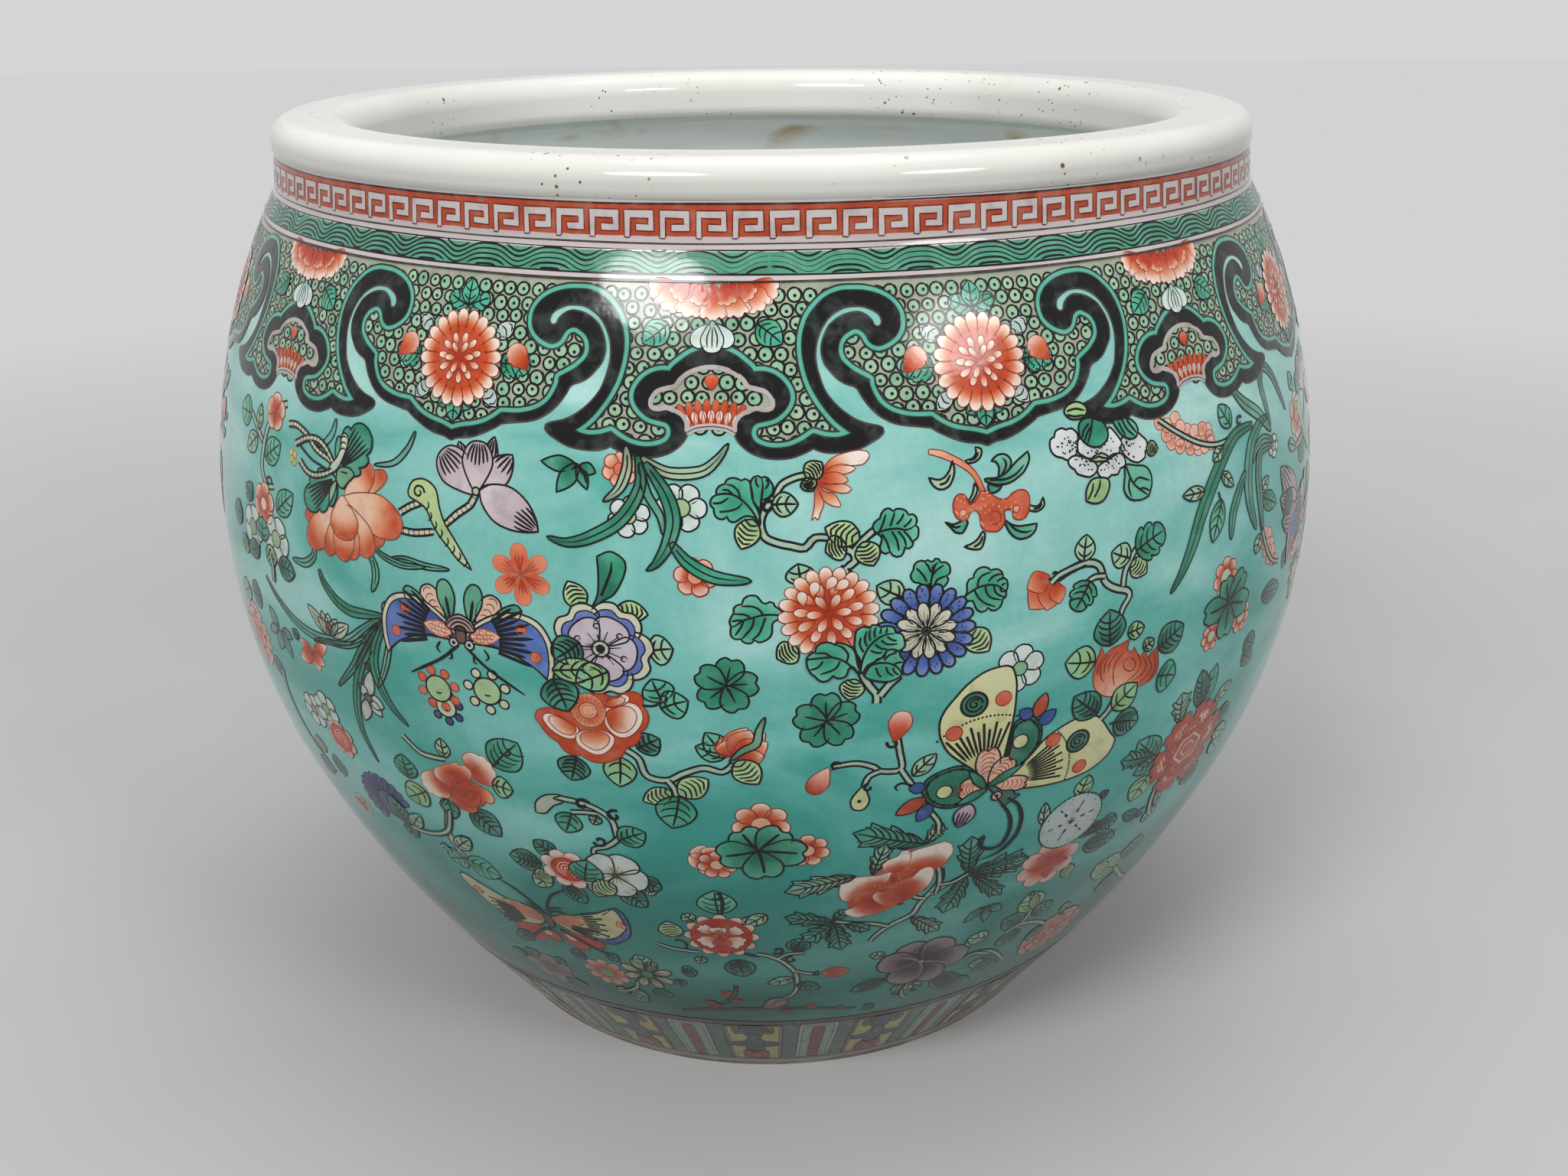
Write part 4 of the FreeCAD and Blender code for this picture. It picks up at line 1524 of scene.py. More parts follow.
def lappet_flowers(p):
    """Chrysanthemum with leaves and buds round it, in the middle of a lappet."""
    pale, fresh, deep = (190, 206, 200), (58, 164, 124), (38, 128, 100)
    for side in (1, -1):
        # Pale striped leaves at four corners of the flower.
        striped_leaf(p, side * 12.5, 7.5, 90 - side * 52, 8.0, 5.6, pale, 3)
        striped_leaf(p, side * 10.5, -8.5, 270 + side * 42, 7.5, 5.0, pale, 3)
        p.up(-2)
        # A bud and its leaf on each side.
        leaf(p, side * 15.5, -0.5, 90 - side * 90, 10.5, 8.6, fresh, lobed(3), 0, 2.4)
        stops = [(0, CORAL_DEEP), (0.4, CORAL), (1, (244, 206, 190))]
        p.up()
        petal(p, side * 25.0, -1.5, 90 + side * 45, 9.5, 7.5, stops, ROUND, 0.3, RED_LINE)
        p.up(-2)
        leaf(p, 0, 16.5, 90 - side * 68, 8.6, 6.4, fresh, lobed(3), 0, 2.6)
        leaf(p, 0, -12.5, 270 + side * 65, 7.0, 5.0, deep, OVAL, 0, 2.4)
        p.up(-2)
    p.up(2)
    leaf(p, 0, 17.0, 90, 8.2, 6.6, (72, 176, 140), OVAL, 0, 2.0)
    leaf(p, 0, -12.8, 270, 7.4, 5.6, fresh, OVAL, 0, 2.0)
    p.up()
    chrysanthemum(p, 0, 0, 15.6, 20, 5, quill=0.3)


def cloud_cell(p, seed):
    """Half a peony hanging from the top, and the trefoil window with its red petals."""
    half = [(x * HALF_UNIT / HALF_DRAWN, y - COLLAR_LEVEL_AT, *mark) for x, y, *mark in TREFOIL]
    sill = [(x * HALF_UNIT / HALF_DRAWN, y - COLLAR_LEVEL_AT, *mark) for x, y, *mark in CLOUD_SILL]
    mirrored = [(-x, y, *mark) for x, y, *mark in reversed(half[:-1])]
    window = smooth(half + mirrored + [(-x, y) for x, y in sill[:-1]] + sill[::-1], True, 0.9)
    p.field(window, DIAPER_GROUND, 4.5)
    diaper(p, window, seed)
    p.up(2)
    petal_row(p, -16.2, 8.4, 8, 7.6, [(0, CORAL_DEEP), (0.7, CORAL), (1, (214, 96, 58))])
    pale = [(0, CORAL), (0.3, CORAL_PALE), (0.6, (246, 214, 196)), (1, PINK_MILK)]
    petal_row(p, -16.8, 7.4, 7, 5.0, pale)
    p.up()
    red = [(0, CORAL_DEEP), (0.6, CORAL), (1, CORAL_PALE)]
    petal(p, 0, -5.5, 90, 4.8, 4.4, red, ROUND, 0.25, RED_LINE)
    threshold = smooth([(-x, y) for x, y in sill] + sill[::-1][1:], False, 0.9)
    p.line(threshold, 1.9, (196, 186, 184), (1, 1))
    p.line(threshold, 0.4, (90, 80, 80), (1, 1), 0.6)
    p.line(smooth([*half, *mirrored], False, 0.9), 1.5, (190, 178, 174), (1, 1))
    # Petals of the half flower, the middle ones in front.
    top = DIAPER_TOP - COLLAR_LEVEL_AT - 0.2
    outer = [(0, CORAL_DEEP), (0.5, CORAL), (0.7, CORAL_PALE), (0.86, BLUSH), (1, PINK_MILK)]
    inner = [(0, CORAL_DEEP), (0.72, (200, 66, 34)), (0.88, CORAL_PALE), (1, BLUSH)]
    outer_places = ((12.2, 65, 9.0, 8.5), (10.8, 32, 9.5, 8.5), (5.8, 15, 10.5, 9.0), (0, 0, 11.2, 9.6))
    for x, lean, length, width in outer_places:
        p.up(0.7)
        for side in (1, -1) if x else (1,):
            way = 270 + side * lean
            petal(p, side * x, top - 0.2, way, length, width, outer, WAVY, 0.25, RED_LINE)
    for x, lean, length in ((8, 45, 6.5), (3.4, 12, 7.0)):
        p.up(0.7)
        for side in (1, -1):
            petal(p, side * x, top - 0.1, 270 + side * lean, length, 6.4, inner, WAVY, 0.25, RED_LINE)
    for side in (1, -1):
        leaf(p, side * 14.0, 14.5, 270 + side * 52, 10.0, 8.4, (58, 164, 124), OVAL, 0, 2.3)
        petal(p, side * 1.0, 14.5, 270 + side * 34, 8.5, 6.0, WHITE_STOPS, ROUND, 0.4)
        p.up(-1)
    p.up(2)
    petal(p, 0, 15.5, 270, 10.0, 7.4, WHITE_STOPS, ROUND, 0.4)
    for x in (-1.6, 0, 1.6):
        p.line(smooth([(x * 0.3, 13.5), (x, 10.5), (x * 0.9, 7.2)], False, 0.8), 0.45, None, above=0.6)


def petal_row(p, base, half, count, height, stops):
    """A fan of petals seen from the side."""
    p.up()
    for k in range(count):
        share = (k + 0.5) / count * 2 - 1
        rise = 1.6 * (1 - share * share)
        place = (share * half, base + rise - 1.0)
        petal(p, *place, 90 - share * 24, height, half * 2.2 / count, stops, ROUND, 0.3, RED_LINE)


SCROLL = painted_glaze("scroll_black", 0.1, 0.3)
# Black lines of the collar, one piece for each two units.
COLLAR_INK = [Heap() for _ in range(LAPPETS // 2)]
collar_units()
for number, heap in enumerate(COLLAR_INK):
    heap.build("collar_lines_%d" % (number + 1), "line_pigment", LINES)


# Panels round the foot


PANEL_PAIRS = 19
FIRST_PANEL = -13.1
PANEL_MIDDLE = 30

# Heights over the middle of the panels: their foot and the foot of what is drawn in them.
PANEL_FOOT, BASE_FOOT = -22, -21.6


def foot_panels():
    rules = Painting("foot_rules", "foot_enamel", ink=BORDER_INK)
    ring_field(rules, 5.6, 54.6, (88, 128, 108), rows=18)
    ring_field(rules, 53.0, 57.2, (112, 58, 46), rows=3, wobble=0.1, above=1)
    ring_line(rules, 57.2, 0.5, above=2)
    ring_line(rules, 52.8, 0.5, above=2)
    ring_line(rules, 6.4, 1.6, (176, 166, 158), above=1)
    ring_line(rules, 5.4, 0.6, (60, 50, 48), above=2)
    rules.finish()
    for pair in range(PANEL_PAIRS):
        angle = FIRST_PANEL + 360 * pair / PANEL_PAIRS
        panels = Painting("foot_panels_%02d" % (pair + 1), "foot_enamel", angle, PANEL_MIDDLE)
        stripe_panel(panels, 0)
        scroll_panel(panels, 180 / PANEL_PAIRS / DEGREES_PER_MM)
        panels.finish()


def panel(x, half, low, high, arch=2.2):
    """Outline of an upright panel with a softened top."""
    right = [(x + half, low, CORNER), (x + half, high - arch), (x + half - arch * 0.7, high)]
    left = [(x - half + arch * 0.7, high), (x - half, high - arch)]
    return smooth([(x - half, low, CORNER), *right, *left], True, 1.5)


BAR_LINE = (34, 28, 28)


def patch(p, x, control, tint, above, edge=0.5, side=1):
    """A small field at x, drawn with a dark edge; side -1 mirrors it."""
    points = [(x + side * c[0], *c[1:]) for c in control][::side]
    p.field(smooth(points, True, 1.0), tint, 3.0, edge, BAR_LINE, above)


def stripe_panel(p, x):
    """Pale panel with one upright red bar."""
    p.field(panel(x, 10.6, PANEL_FOOT, 22.4), (196, 206, 196), 4.0, 0.6, BAR_LINE, 2)
    p.field(panel(x, 8.4, PANEL_FOOT, 20.6), (166, 192, 176), 4.0, 0.35, BAR_LINE, 3)
    p.field(panel(x, 3.4, -21.4, 18.6), (146, 40, 30), 3.0, 0.4, BAR_LINE, 4)
    p.line([(x - 1.2, -20), (x - 1.0, 0), (x - 1.4, 16)], 0.5, (186, 84, 66), above=5)


def scroll_panel(p, x):
    """Yellow panel in a red frame, with a blue cross form, green curls and a red base."""
    p.field(panel(x, 16.2, PANEL_FOOT, 22.4), (120, 66, 56), 4.0, 0.5, BAR_LINE, 1)
    p.field(panel(x, 15.2, PANEL_FOOT, 21.6), (198, 176, 168), 4.0, 0.3, BAR_LINE, 2)
    p.field(panel(x, 14.0, PANEL_FOOT, 20.6), (214, 208, 120), 4.0, 0.5, BAR_LINE, 3)
    frond = [(2.5, 21), (4, 13.5), (9, 11), (11.6, 14.5), (10.6, 19.5), (8.2, 17), (7.4, 21)]
    arm = [(1, -1), (7, 0.6), (13.4, -0.4), (13.6, -4.4), (7.5, -5.6), (1, -5)]
    for side in (1, -1):
        patch(p, x, frond, (96, 108, 58), 4, side=side)
        patch(p, x, arm, (44, 58, 112), 5, side=side)
        hook = [(x + side * 10.5, 19), (x + side * 6.8, 18.6), (x + side * 7.2, 15), (x + side * 9.6, 14.8)]
        p.line(smooth(hook, False, 0.8), 0.6, BAR_LINE, above=6)
    right = [(4.4, 22, CORNER), (5, 10), (3.4, 6), (6.0, 1), (4.4, -3), (5.4, -10)]
    trunk = [(-across, up, *mark) for across, up, *mark in right] + right[::-1]
    patch(p, x, trunk, (42, 70, 96), 6)
    patch(p, x, [(0, 10), (-2.6, 4), (0, -2), (2.6, 4)], (60, 118, 104), 7, 0.4)
    base = [
        (-7.6, BASE_FOOT, CORNER), (7.6, BASE_FOOT, CORNER), (7.8, -14), (4.6, -10.2), (0, -12),
        (-4.6, -10.2), (-7.8, -14),
    ]
    patch(p, x, base, (158, 52, 34), 8)
    tongue = [(-3, -21, CORNER), (3, -21, CORNER), (2.4, -16), (0, -14), (-2.4, -16)]
    patch(p, x, tongue, (206, 120, 92), 9, 0.35)


foot_panels()
BORDER_INK.build("border_lines", "line_pigment", LINES)
# Motifs on the bowl, front and back alike; places in a motif are millimetres from its middle


# The motifs are drawn with a broader brush than the borders.
BRUSH = 1.3

# Black lines of all motifs, in four pieces round the bowl.
QUARTERS = [Heap() for _ in range(4)]

# All motifs, in the order in which they are painted.
MOTIFS = []


def motif(slot, angle, height, above=0):
    """Make a drawing a motif of the bowl, at its place and so many steps above the ground."""

    def register(draw):
        def paint(side, turn):
            """Paint it with its place turned round the bowl, in a piece named after the side."""
            place = angle + turn
            ink = QUARTERS[int(place % 360 // 90)]
            p = Painting(side + "_" + draw.__name__, slot, place, height, FINE_STEP, ink, weight=BRUSH)
            p.up(above)
            draw(p)
            p.finish()

        MOTIFS.append(paint)
        return paint

    return register


@motif("bloom_enamel", -23.3, 306)
def lilac_lotus(p):
    """Lilac lotus with one fallen petal."""
    lilac = [(0, (226, 212, 214)), (0.5, (206, 188, 194)), (1, (190, 168, 178))]
    beaded_stem(p, [(-5.2, -2.2), (-7.2, -6.5), (-11.7, -10), (-16.2, -14.2)])
    outer = ((-7.2, -0.5, 112, 14.4, 7), (-3.4, -0.5, 78, 16.6, 6.5), (-2.4, -0.5, 51, 14.4, 9))
    for place in outer:
        p.up()
        spine = petal(p, *place, lilac, OVAL, 0.5)
        tip_veins(p, spine, place[-1], 4)
    for place in ((-5.7, -2.8, 137, 18.1, 12.5), (-5.4, -2.2, 90, 16.2, 11)):
        p.up()
        spine = petal(p, *place, lilac, ROUND, 0.5)
        tip_veins(p, spine, place[-1], 6, 0.5)
    p.up()
    spine = petal(p, -4, -1.7, 340, 22.8, 12.5, lilac, OVAL, 0.5, None, 2.0, -16)
    tip_veins(p, spine, 11, 6, 0.58)
    p.up()
    p.field(circle(-5.4, -2, 1.3), (206, 206, 180), 2, 0.5)


@motif("leaf_enamel", -28.9, 295)
def curled_grub(p):
    """Pale green grub climbing the lotus stem."""
    beaded_stem(p, [(-13.1, -2.2), (-9.1, 0.5), (-4.1, 2.8)])
    beaded_stem(p, [(-12.9, -7.8), (-7.1, -7.8), (0.4, -6.2)])
    p.up()
    green = [(0, (196, 216, 150)), (0.6, (176, 204, 140)), (1, (206, 220, 170))]
    body = smooth(
        [
            (-9.5, 3.8), (-6.6, 2.8), (-2.6, 0.8), (-0.1, -3.5), (2.7, -7.2), (5.9, -10.2), (9.9, -14.2),
            (14.5, -16.6, CORNER), (11.9, -12.5), (8.1, -7.2), (4.5, -2.5), (2.5, 2), (0.7, 7.8),
            (-3.6, 10.2), (-8.1, 9.2), (-9.9, 6),
        ],
        True, 1.2,
    )
    p.field(body, graded(-3.1, 6, 20, green), 2.4, 0.5)
    curl(p, -5.8, 5.8, 0, 2.4, 1.2, 0.6)
    for place in (
        (-3.3, 1.5, 43, 2.5, 1), (-2.1, -1.8, 47, 3.8, 1), (-0.1, -4.5, 48, 3.6, 1),
        (2.1, -6.8, 46, 3.2, 1), (4.4, -9.2, 46, 3, 1), (6.7, -11.2, 42, 2.4, 1),
        (8.9, -13.2, 42, 2.4, 1), (11.1, -14.8, 45, 1.7, 1),
    ):
        arcs(p, place[0], place[1] + 0.6, place[2] - 60, 1, 1.7, 0, 60, 0.45)


@motif("leaf_enamel", -16.4, 313)
def bamboo_sprig(p):
    """Small spray of bamboo leaves."""
    leaves(
        p, "slim", (1.2, 2.2, 177, 10.9, 5), (2, 2.5, 235, 10.9, 5.5), (2.4, 2.2, 293, 7.8, 3.6),
        (3, 2.2, 340, 5.3, 4),
    )
    tendril(p, [(1.2, 2.4), (4, 0.8), (5.2, -3)])


@motif("leaf_enamel", -10, 300)
def orchid_grass(p):
    """Orchid grass with plum blossoms and a coral flower."""
    blossom(p, -5.6, 0.5, 6.6, 6, 80, WHITE_STOPS, None, (196, 208, 150), 0.34)
    blossom(p, 9.9, 3.8, 7.8, 6, 60, WHITE_STOPS, None, (176, 206, 150), 0.36)
    blossom(
        p, -8.6, 15, 5.6, 6, 80, [(0, CORAL), (0.5, CORAL_PALE), (1, BLUSH)], RED_LINE, (226, 110, 74),
        0.34,
    )
    blossom(
        p, 14.1, -17.5, 6.4, 6, 110, [(0, CORAL_DEEP), (0.5, CORAL), (0.75, (244, 190, 166)), (1, BLUSH)],
        RED_LINE, (232, 150, 120), 0.36,
    )
    blade(p, [(-2.1, 18.8), (5.9, 14.5), (15.9, 15), (20.9, 19), (24, 23.6)], 3.6, (176, 196, 160))
    blade(p, [(-6.9, 22), (-6.3, 16), (-8.6, 9), (-13.5, 4.8)], 3.2, (176, 186, 150))
    blade(p, [(-2.5, 17), (-0.1, 8), (3.9, 1), (4.9, -5)], 2.4, (88, 160, 126), False)
    blade(p, [(-3.3, 19.2), (-2.3, 10), (-8.1, -0.5), (-18.1, -7), (-25.1, -8.8), (-30.9, -7.5)], 4.2)
    blade(p, [(-0.9, 17.2), (5.4, 8), (7.7, 0), (5.9, -8), (2.4, -14), (-0.3, -16)], 4.4)
    blade(p, [(7.1, -7), (11.9, -13), (19.9, -17.5), (30.4, -18.6)], 4.2, (52, 160, 124))


@motif("coral_enamel", -20.5, 279.5)
def coral_star(p):
    """Flat coral flower with six petals."""
    flat = [(0, (200, 78, 42)), (0.5, (226, 112, 74)), (1, (236, 140, 100))]
    blossom(p, -0.2, -0.3, 10.2, 6, 96, flat, (222, 108, 70), None, 0, 0, ROUND, 0.3, 0.86)
    p.field(circle(0, 0.3, 5.2), (216, 96, 58), 2.2, above=0.3)
    for way in range(6):
        spine = Spine(-0.2, -0.3, 96 + 60 * way, 9)
        for side in (-0.9, 0, 0.9):
            p.line(spine.track([(0, 0), (0.4, side * 0.8), (0.72, side * 1.6)]), 0.55, (176, 60, 34))


@motif("bloom_enamel", -26.3, 256)
def blue_butterfly(p):
    """Butterfly with blue wings, cream edges and coral spots."""
    for side in (1, -1):
        for x, y, way, length, width, tint in (
            (6, 0.5, 62, 15, 8.2, (232, 190, 164)), (3.5, 3, 80, 14, 6.6, (84, 168, 132)),
            (8.5, 0, 42, 17, 6.4, (56, 150, 120)),
        ):
            p.up()
            direction = way if side > 0 else 180 - way
            spine = petal(
                p, side * x, y + 1, direction, length, width, [(0, tint), (1, blend(tint, WHITE, 0.15))],
                ROUND, 0.5,
            )
            if tint[0] > 200:
                for k in range(5):
                    place = spine.at(0.22 + 0.15 * k)
                    arcs(p, *place, direction, 1, 1.6, 0, 75, 0.45, (150, 70, 50))
            else:
                p.line(spine.track([(0.1, 0), (0.6, 0)]), 0.9, None, (1, 0.2), 0.4)
        wing = [
            (1.2, -1), (5, 4), (12, 8.5), (20, 10.2), (27, 8), (31, 1.5), (31.6, -6), (30.4, -13, CORNER),
            (24, -7), (14, -3), (3, -2.5),
        ]
        inner = [
            (2.5, -0.6), (6, 3.2), (12.6, 7.0), (20, 8.4), (26, 6.2), (29.2, 1), (29.8, -6),
            (29, -11, CORNER), (22.6, -6.2), (13.6, -2.6), (3, -1.6),
        ]
        wing = [(side * w[0], *w[1:]) for w in wing][::-side]
        inner = [(side * w[0], *w[1:]) for w in inner][::-side]
        p.up()
        p.field(smooth(wing, True, 1.2), (222, 214, 186), 2.6, 0.5)
        p.up()
        p.field(
            smooth(inner, True, 1.2),
            graded(0, 0, 30, [(0, BLUE_DEEP), (0.5, (70, 100, 174)), (1, (96, 128, 196))]), 2.6, 0.4,
        )
        starts, ends = fan((2, -1), 11.5, 23.5, -16, 38, 10)
        rays(p, 0, 0, [(side * x, y) for x, y in starts], [(side * x, y) for x, y in ends], 0.95)
        for x, y in ((21.2, 5), (25.6, -4.0)):
            p.up()
            p.field(circle(side * x, y, 1.9, 12), (214, 104, 74), 2.4, 0.3, RED_LINE)
        scales(p, side * 3.5, -0.2, 10.5, 5.2, 8 if side > 0 else 172)
        tendril(p, [(side * 1.2, -4), (side * 8, -10), (side * 16, -15), (side * 21, -18)], 0.8)
        p.line(smooth([(side * 8, -4), (side * 9.5, -6.5), (side * 8.2, -8)], False, 0.8), 0.6)
        p.line(smooth([(side * 4.5, -6), (side * 4.0, -9), (side * 5.2, -9.6)], False, 0.8), 0.6)
        p.up()
        p.field(circle(side * 2.8, -3.4, 1.7, 12), (214, 214, 206), 2.4, 0.5)
        p.dot(side * 2.8, -3.4, 0.7, None, 1)
    p.up()
    p.field(
        smooth([(-4.8, 1.5), (4.8, 1.5), (4.4, 4.6), (0, 6.8), (-4.4, 4.6)], True, 1.0), (186, 150, 142),
        2.4, 0.5,
    )
    p.field(
        smooth([(-1.6, -2.6), (1.6, -2.6), (1.4, 2), (-1.4, 2)], True, 1.0), (120, 90, 80), 2.4, 0.5,
        None, 0.5,
    )
    arcs(p, 0, 0.2, 90, 4, 1.4, 1.3, 66, 0.5)


@motif("bloom_enamel", -13.9, 257.5, 12)
def blue_plum(p):
    """Large plum blossom in cream, blue and lilac."""
    cream = [(0, (206, 210, 190)), (1, (214, 216, 190))]
    blue = [(0, (96, 112, 180)), (1, (104, 122, 190))]
    lilac = [(0, (186, 170, 186)), (0.5, (210, 198, 206)), (1, (206, 190, 200))]
    for radius, stops, edge in ((15.2, cream, 0.5), (12.8, blue, 0.35), (11.2, lilac, 0.45)):
        kind = {"edge": edge, "profile": HEART if radius > 12 else ROUND}
        ring_of_petals(p, 0.1, 0, 5, 1.5, radius - 1.5, radius * 1.06, stops, 62, **kind)
    for k in range(12):
        way = math.radians(30 * k + 8)
        far = 6.4 + 1.2 * (k % 2)
        p.line(
            [(2.2 * math.cos(way), 2.2 * math.sin(way)), (far * math.cos(way), far * math.sin(way))], 0.7,
        )
        if k % 2:
            p.line(circle(far * math.cos(way), far * math.sin(way), 0.9, 9), 0.4)
    p.up()
    p.field(circle(0, 0, 2.7), (206, 206, 190), 2.4, 0.5)
    p.field(circle(0, 0, 1.5), BLACK, 2.4, above=1)


@motif("leaf_enamel", -13.9, 257.5, 2)
def plum_leaves(p):
    """Leaves behind the large plum blossom."""
    p.up()
    tulip = smooth(
        [
            (0.6, 15.5), (4.6, 18.5), (7.6, 24.5), (7.8, 29), (3.6, 31.8), (-0.6, 30, CORNER),
            (-0.2, 23.5), (-0.6, 17.5), (-2.6, 12.7),
        ],
        True, 1.2,
    )
    p.field(
        tulip, graded(-1.4, 13.5, 19, [(0, GREEN_DEEP), (0.6, EMERALD), (1, (70, 170, 136))]), 2.6, 0.5,
    )
    p.line(smooth([(3.8, 28.7), (3.6, 25.5), (0.6, 17.5)], False, 1), 0.7, None, (0.3, 1))
    leaves(p, "striped", (-5.4, 13, 118, 9.4, 7.5), (5.1, 13.5, 353, 9.6, 7))
    leaves(p, "pale", (14.6, 0.3, 9, 7.3, 10))


@motif("leaf_enamel", -16.5, 251, 34)
def plum_leaves_front(p):
    """Dark leaf and pale leaves over the plum blossom's edge."""
    leaves(p, "dark", (3.3, 8, 219, 10.3, 10.5))
    leaves(p, "lime", (-5.7, -2.5, 7, 16.1, 8.5), (11.8, -1, 206, 11.4, 10))
    leaves(p, "deep", (-5.9, -5.5, 291, 11.8, 12.5))


@motif("leaf_enamel", -8.8, 242.5)
def twin_leaf(p):
    """Round leaf folded along its middle."""
    leaves(p, "fresh", (-0.8, -2, 113, 8.4, 10), (-1.6, -4.3, 21, 8.8, 10))
    tendril(p, [(-7.4, -3.7), (-4.1, -3.7), (-0.8, -2.1)])
    curl(p, -0.8, -0.7, 250, 1.6, 0.9, 0.5)


@motif("leaf_enamel", -4, 246.8)
def clover_one(p):
    """Small clover."""
    clover(p, 0, 0, 9.2, 5, 78, (46, 140, 108), True)


@motif("leaf_enamel", -30.3, 276.8)
def thin_blade(p):
    """A single thin blade of grass."""
    blade(p, [(-11.7, -0.2), (-5.9, 0.8), (2.1, 0), (11.7, 0.4)], 2.4, (84, 170, 140))


@motif("coral_enamel", -27.1, 232)
def bead_flowers(p):
    """Small discs with rings of beads, coral, blue and cream."""
    round_flower(p, -5.9, -4.6, 3.8, 7, 1.5, (206, 212, 176), (50, 62, 128))
    p.up()
    round_flower(p, -7.9, 2, 4.8, 8, 1.7, (176, 206, 154), (222, 104, 72), RED_LINE)
    round_flower(p, 10.7, 5, 4.8, 7, 1.7, (176, 206, 154), (214, 214, 180))


@motif("coral_enamel", -15.1, 232, 20)
def front_peony(p):
    """Large coral peony below the plum blossom."""
    front_peony_petals(p)
    front_peony_heart(p)


def front_peony_petals(p):
    """Deep ground of the flower and its petals, each with a deeper field in it."""
    p.field(
        smooth(
            [
                (11.7, 11.1), (7.9, 9.3), (3.6, 10), (-2.2, 7.9), (-7.7, 2.9), (-12.9, 2.8), (-16.5, 1.8),
                (-18, -0.2), (-18.1, -2.3), (-16.9, -3.7, CORNER), (-15.8, -6), (-13.7, -8.4),
                (-11.4, -9.9, CORNER), (-9.8, -12.7), (-7.3, -14.2), (-4.3, -13.9, CORNER), (-1.3, -15.7),
                (2.3, -16), (6.3, -14.6), (9, -12.4), (10.6, -9.3, CORNER), (13.1, -8), (15.1, -5.5),
                (15.5, -2.8, CORNER), (17.2, -1), (18.2, 2.4), (17.6, 5.4), (16.4, 6.9, CORNER),
                (16.8, 8.9), (15.9, 10.8), (14.1, 11.6),
            ],
            True, 0.9,
        ),
        graded(-0.6, 2.9, 20, [(0, CORAL), (0.8, (198, 70, 34)), (1, CORAL)]), 2.4, 0.45, RED_LINE,
    )
    white = [(0, BLUSH), (1, PINK_MILK)]
    heart = [(0, CORAL_DEEP), (0.46, CORAL), (0.6, CORAL_PALE), (0.76, BLUSH), (1, PINK_MILK)]
    for lobe, inner in (
        (
            [
                (-14.2, -4.5), (-11.5, -6.8), (-8.7, -7.9), (-6, -7.8), (-4.4, -6), (-4.2, -3.5),
                (-6.2, -2), (-9.3, -0.3), (-11.8, 0.5), (-14.5, 0.5), (-15.7, -1.5),
            ],
            [
                (-12.6, -3.9), (-10.6, -5.7), (-8.4, -6.5), (-6.4, -6.4), (-5.2, -5), (-5, -3.1),
                (-6.5, -2), (-8.9, -0.7), (-10.8, -0.1), (-12.8, -0.1), (-13.8, -1.6),
            ],
        ),
        (
            [
                (-5.1, -9.4), (-3.1, -11.4), (-0.1, -12.9), (2.6, -12.7), (5.3, -10.5), (6.9, -7.8),
                (7, -5.4), (4.7, -3.7), (0.8, -3.6), (-3.3, -4.6), (-5.3, -6.3),
            ],
            [
                (-3.7, -8.4), (-2.2, -10), (0.1, -11.1), (2.1, -10.9), (4.2, -9.3), (5.4, -7.3),
                (5.5, -5.4), (3.7, -4.1), (0.8, -4), (-2.3, -4.8), (-3.8, -6.1),
            ],
        ),
        (
            [
                (4.5, -0.8), (6.1, -3.7), (8.5, -5.4), (11.4, -5.1), (14, -2.9), (15.8, -0.1), (16.5, 3),
                (15.8, 5.7), (14, 7.4), (10.9, 7.6), (7.4, 6.4), (4.6, 4.2),
            ],
            [
                (5.5, -0.1), (6.7, -2.4), (8.5, -3.6), (10.7, -3.4), (12.7, -1.8), (14, 0.4), (14.6, 2.8),
                (14.1, 4.8), (12.6, 6.1), (10.3, 6.2), (7.7, 5.3), (5.5, 3.7),
            ],
        ),
        (
            [
                (7.4, 5.3), (10.2, 6.4), (12.3, 7.9), (12.6, 9.7), (11, 10.5), (9.1, 9.4), (6.1, 8.4),
                (4, 5.8),
            ],
            [
                (7.3, 5.6), (9.5, 6.5), (11, 7.6), (11.3, 9.1), (10.1, 9.6), (8.6, 8.8), (6.3, 8.1),
                (4.7, 6),
            ],
        ),
    ):
        p.up()
        p.field(smooth(lobe, True, 0.9), graded(-0.6, 2.9, 20, white), 2.0, 0.36, RED_LINE)
        p.field(smooth(inner, True, 0.9), graded(-0.6, 2.9, 17, heart), 1.8, 0.34, RED_LINE, above=0.6)


def front_peony_heart(p):
    """Round heart with rays and two rings."""
    p.up()
    x, y = -0.5, 3.5
    p.field(
        circle(x, y, 5.6, 26, 1.1),
        graded(x, y, 6.2, [(0, (232, 150, 112)), (0.7, (214, 98, 56)), (1, (236, 168, 132))]), 2.0, 0.3,
        RED_LINE,
    )
    for k in range(20):
        way = math.radians(18 * k)
        c, s = math.cos(way), math.sin(way)
        p.line([(x + 3.1 * c, y + 3.3 * s), (x + 5.8 * c, y + 6.3 * s)], 0.36, RED_LINE)
    p.up()
    p.field(circle(x, y, 2.9), (238, 172, 136), 2.2, 0.4, RED_LINE)
    p.line(circle(x, y, 2.0), 0.32, (204, 96, 56), (1, 1), 0.4)


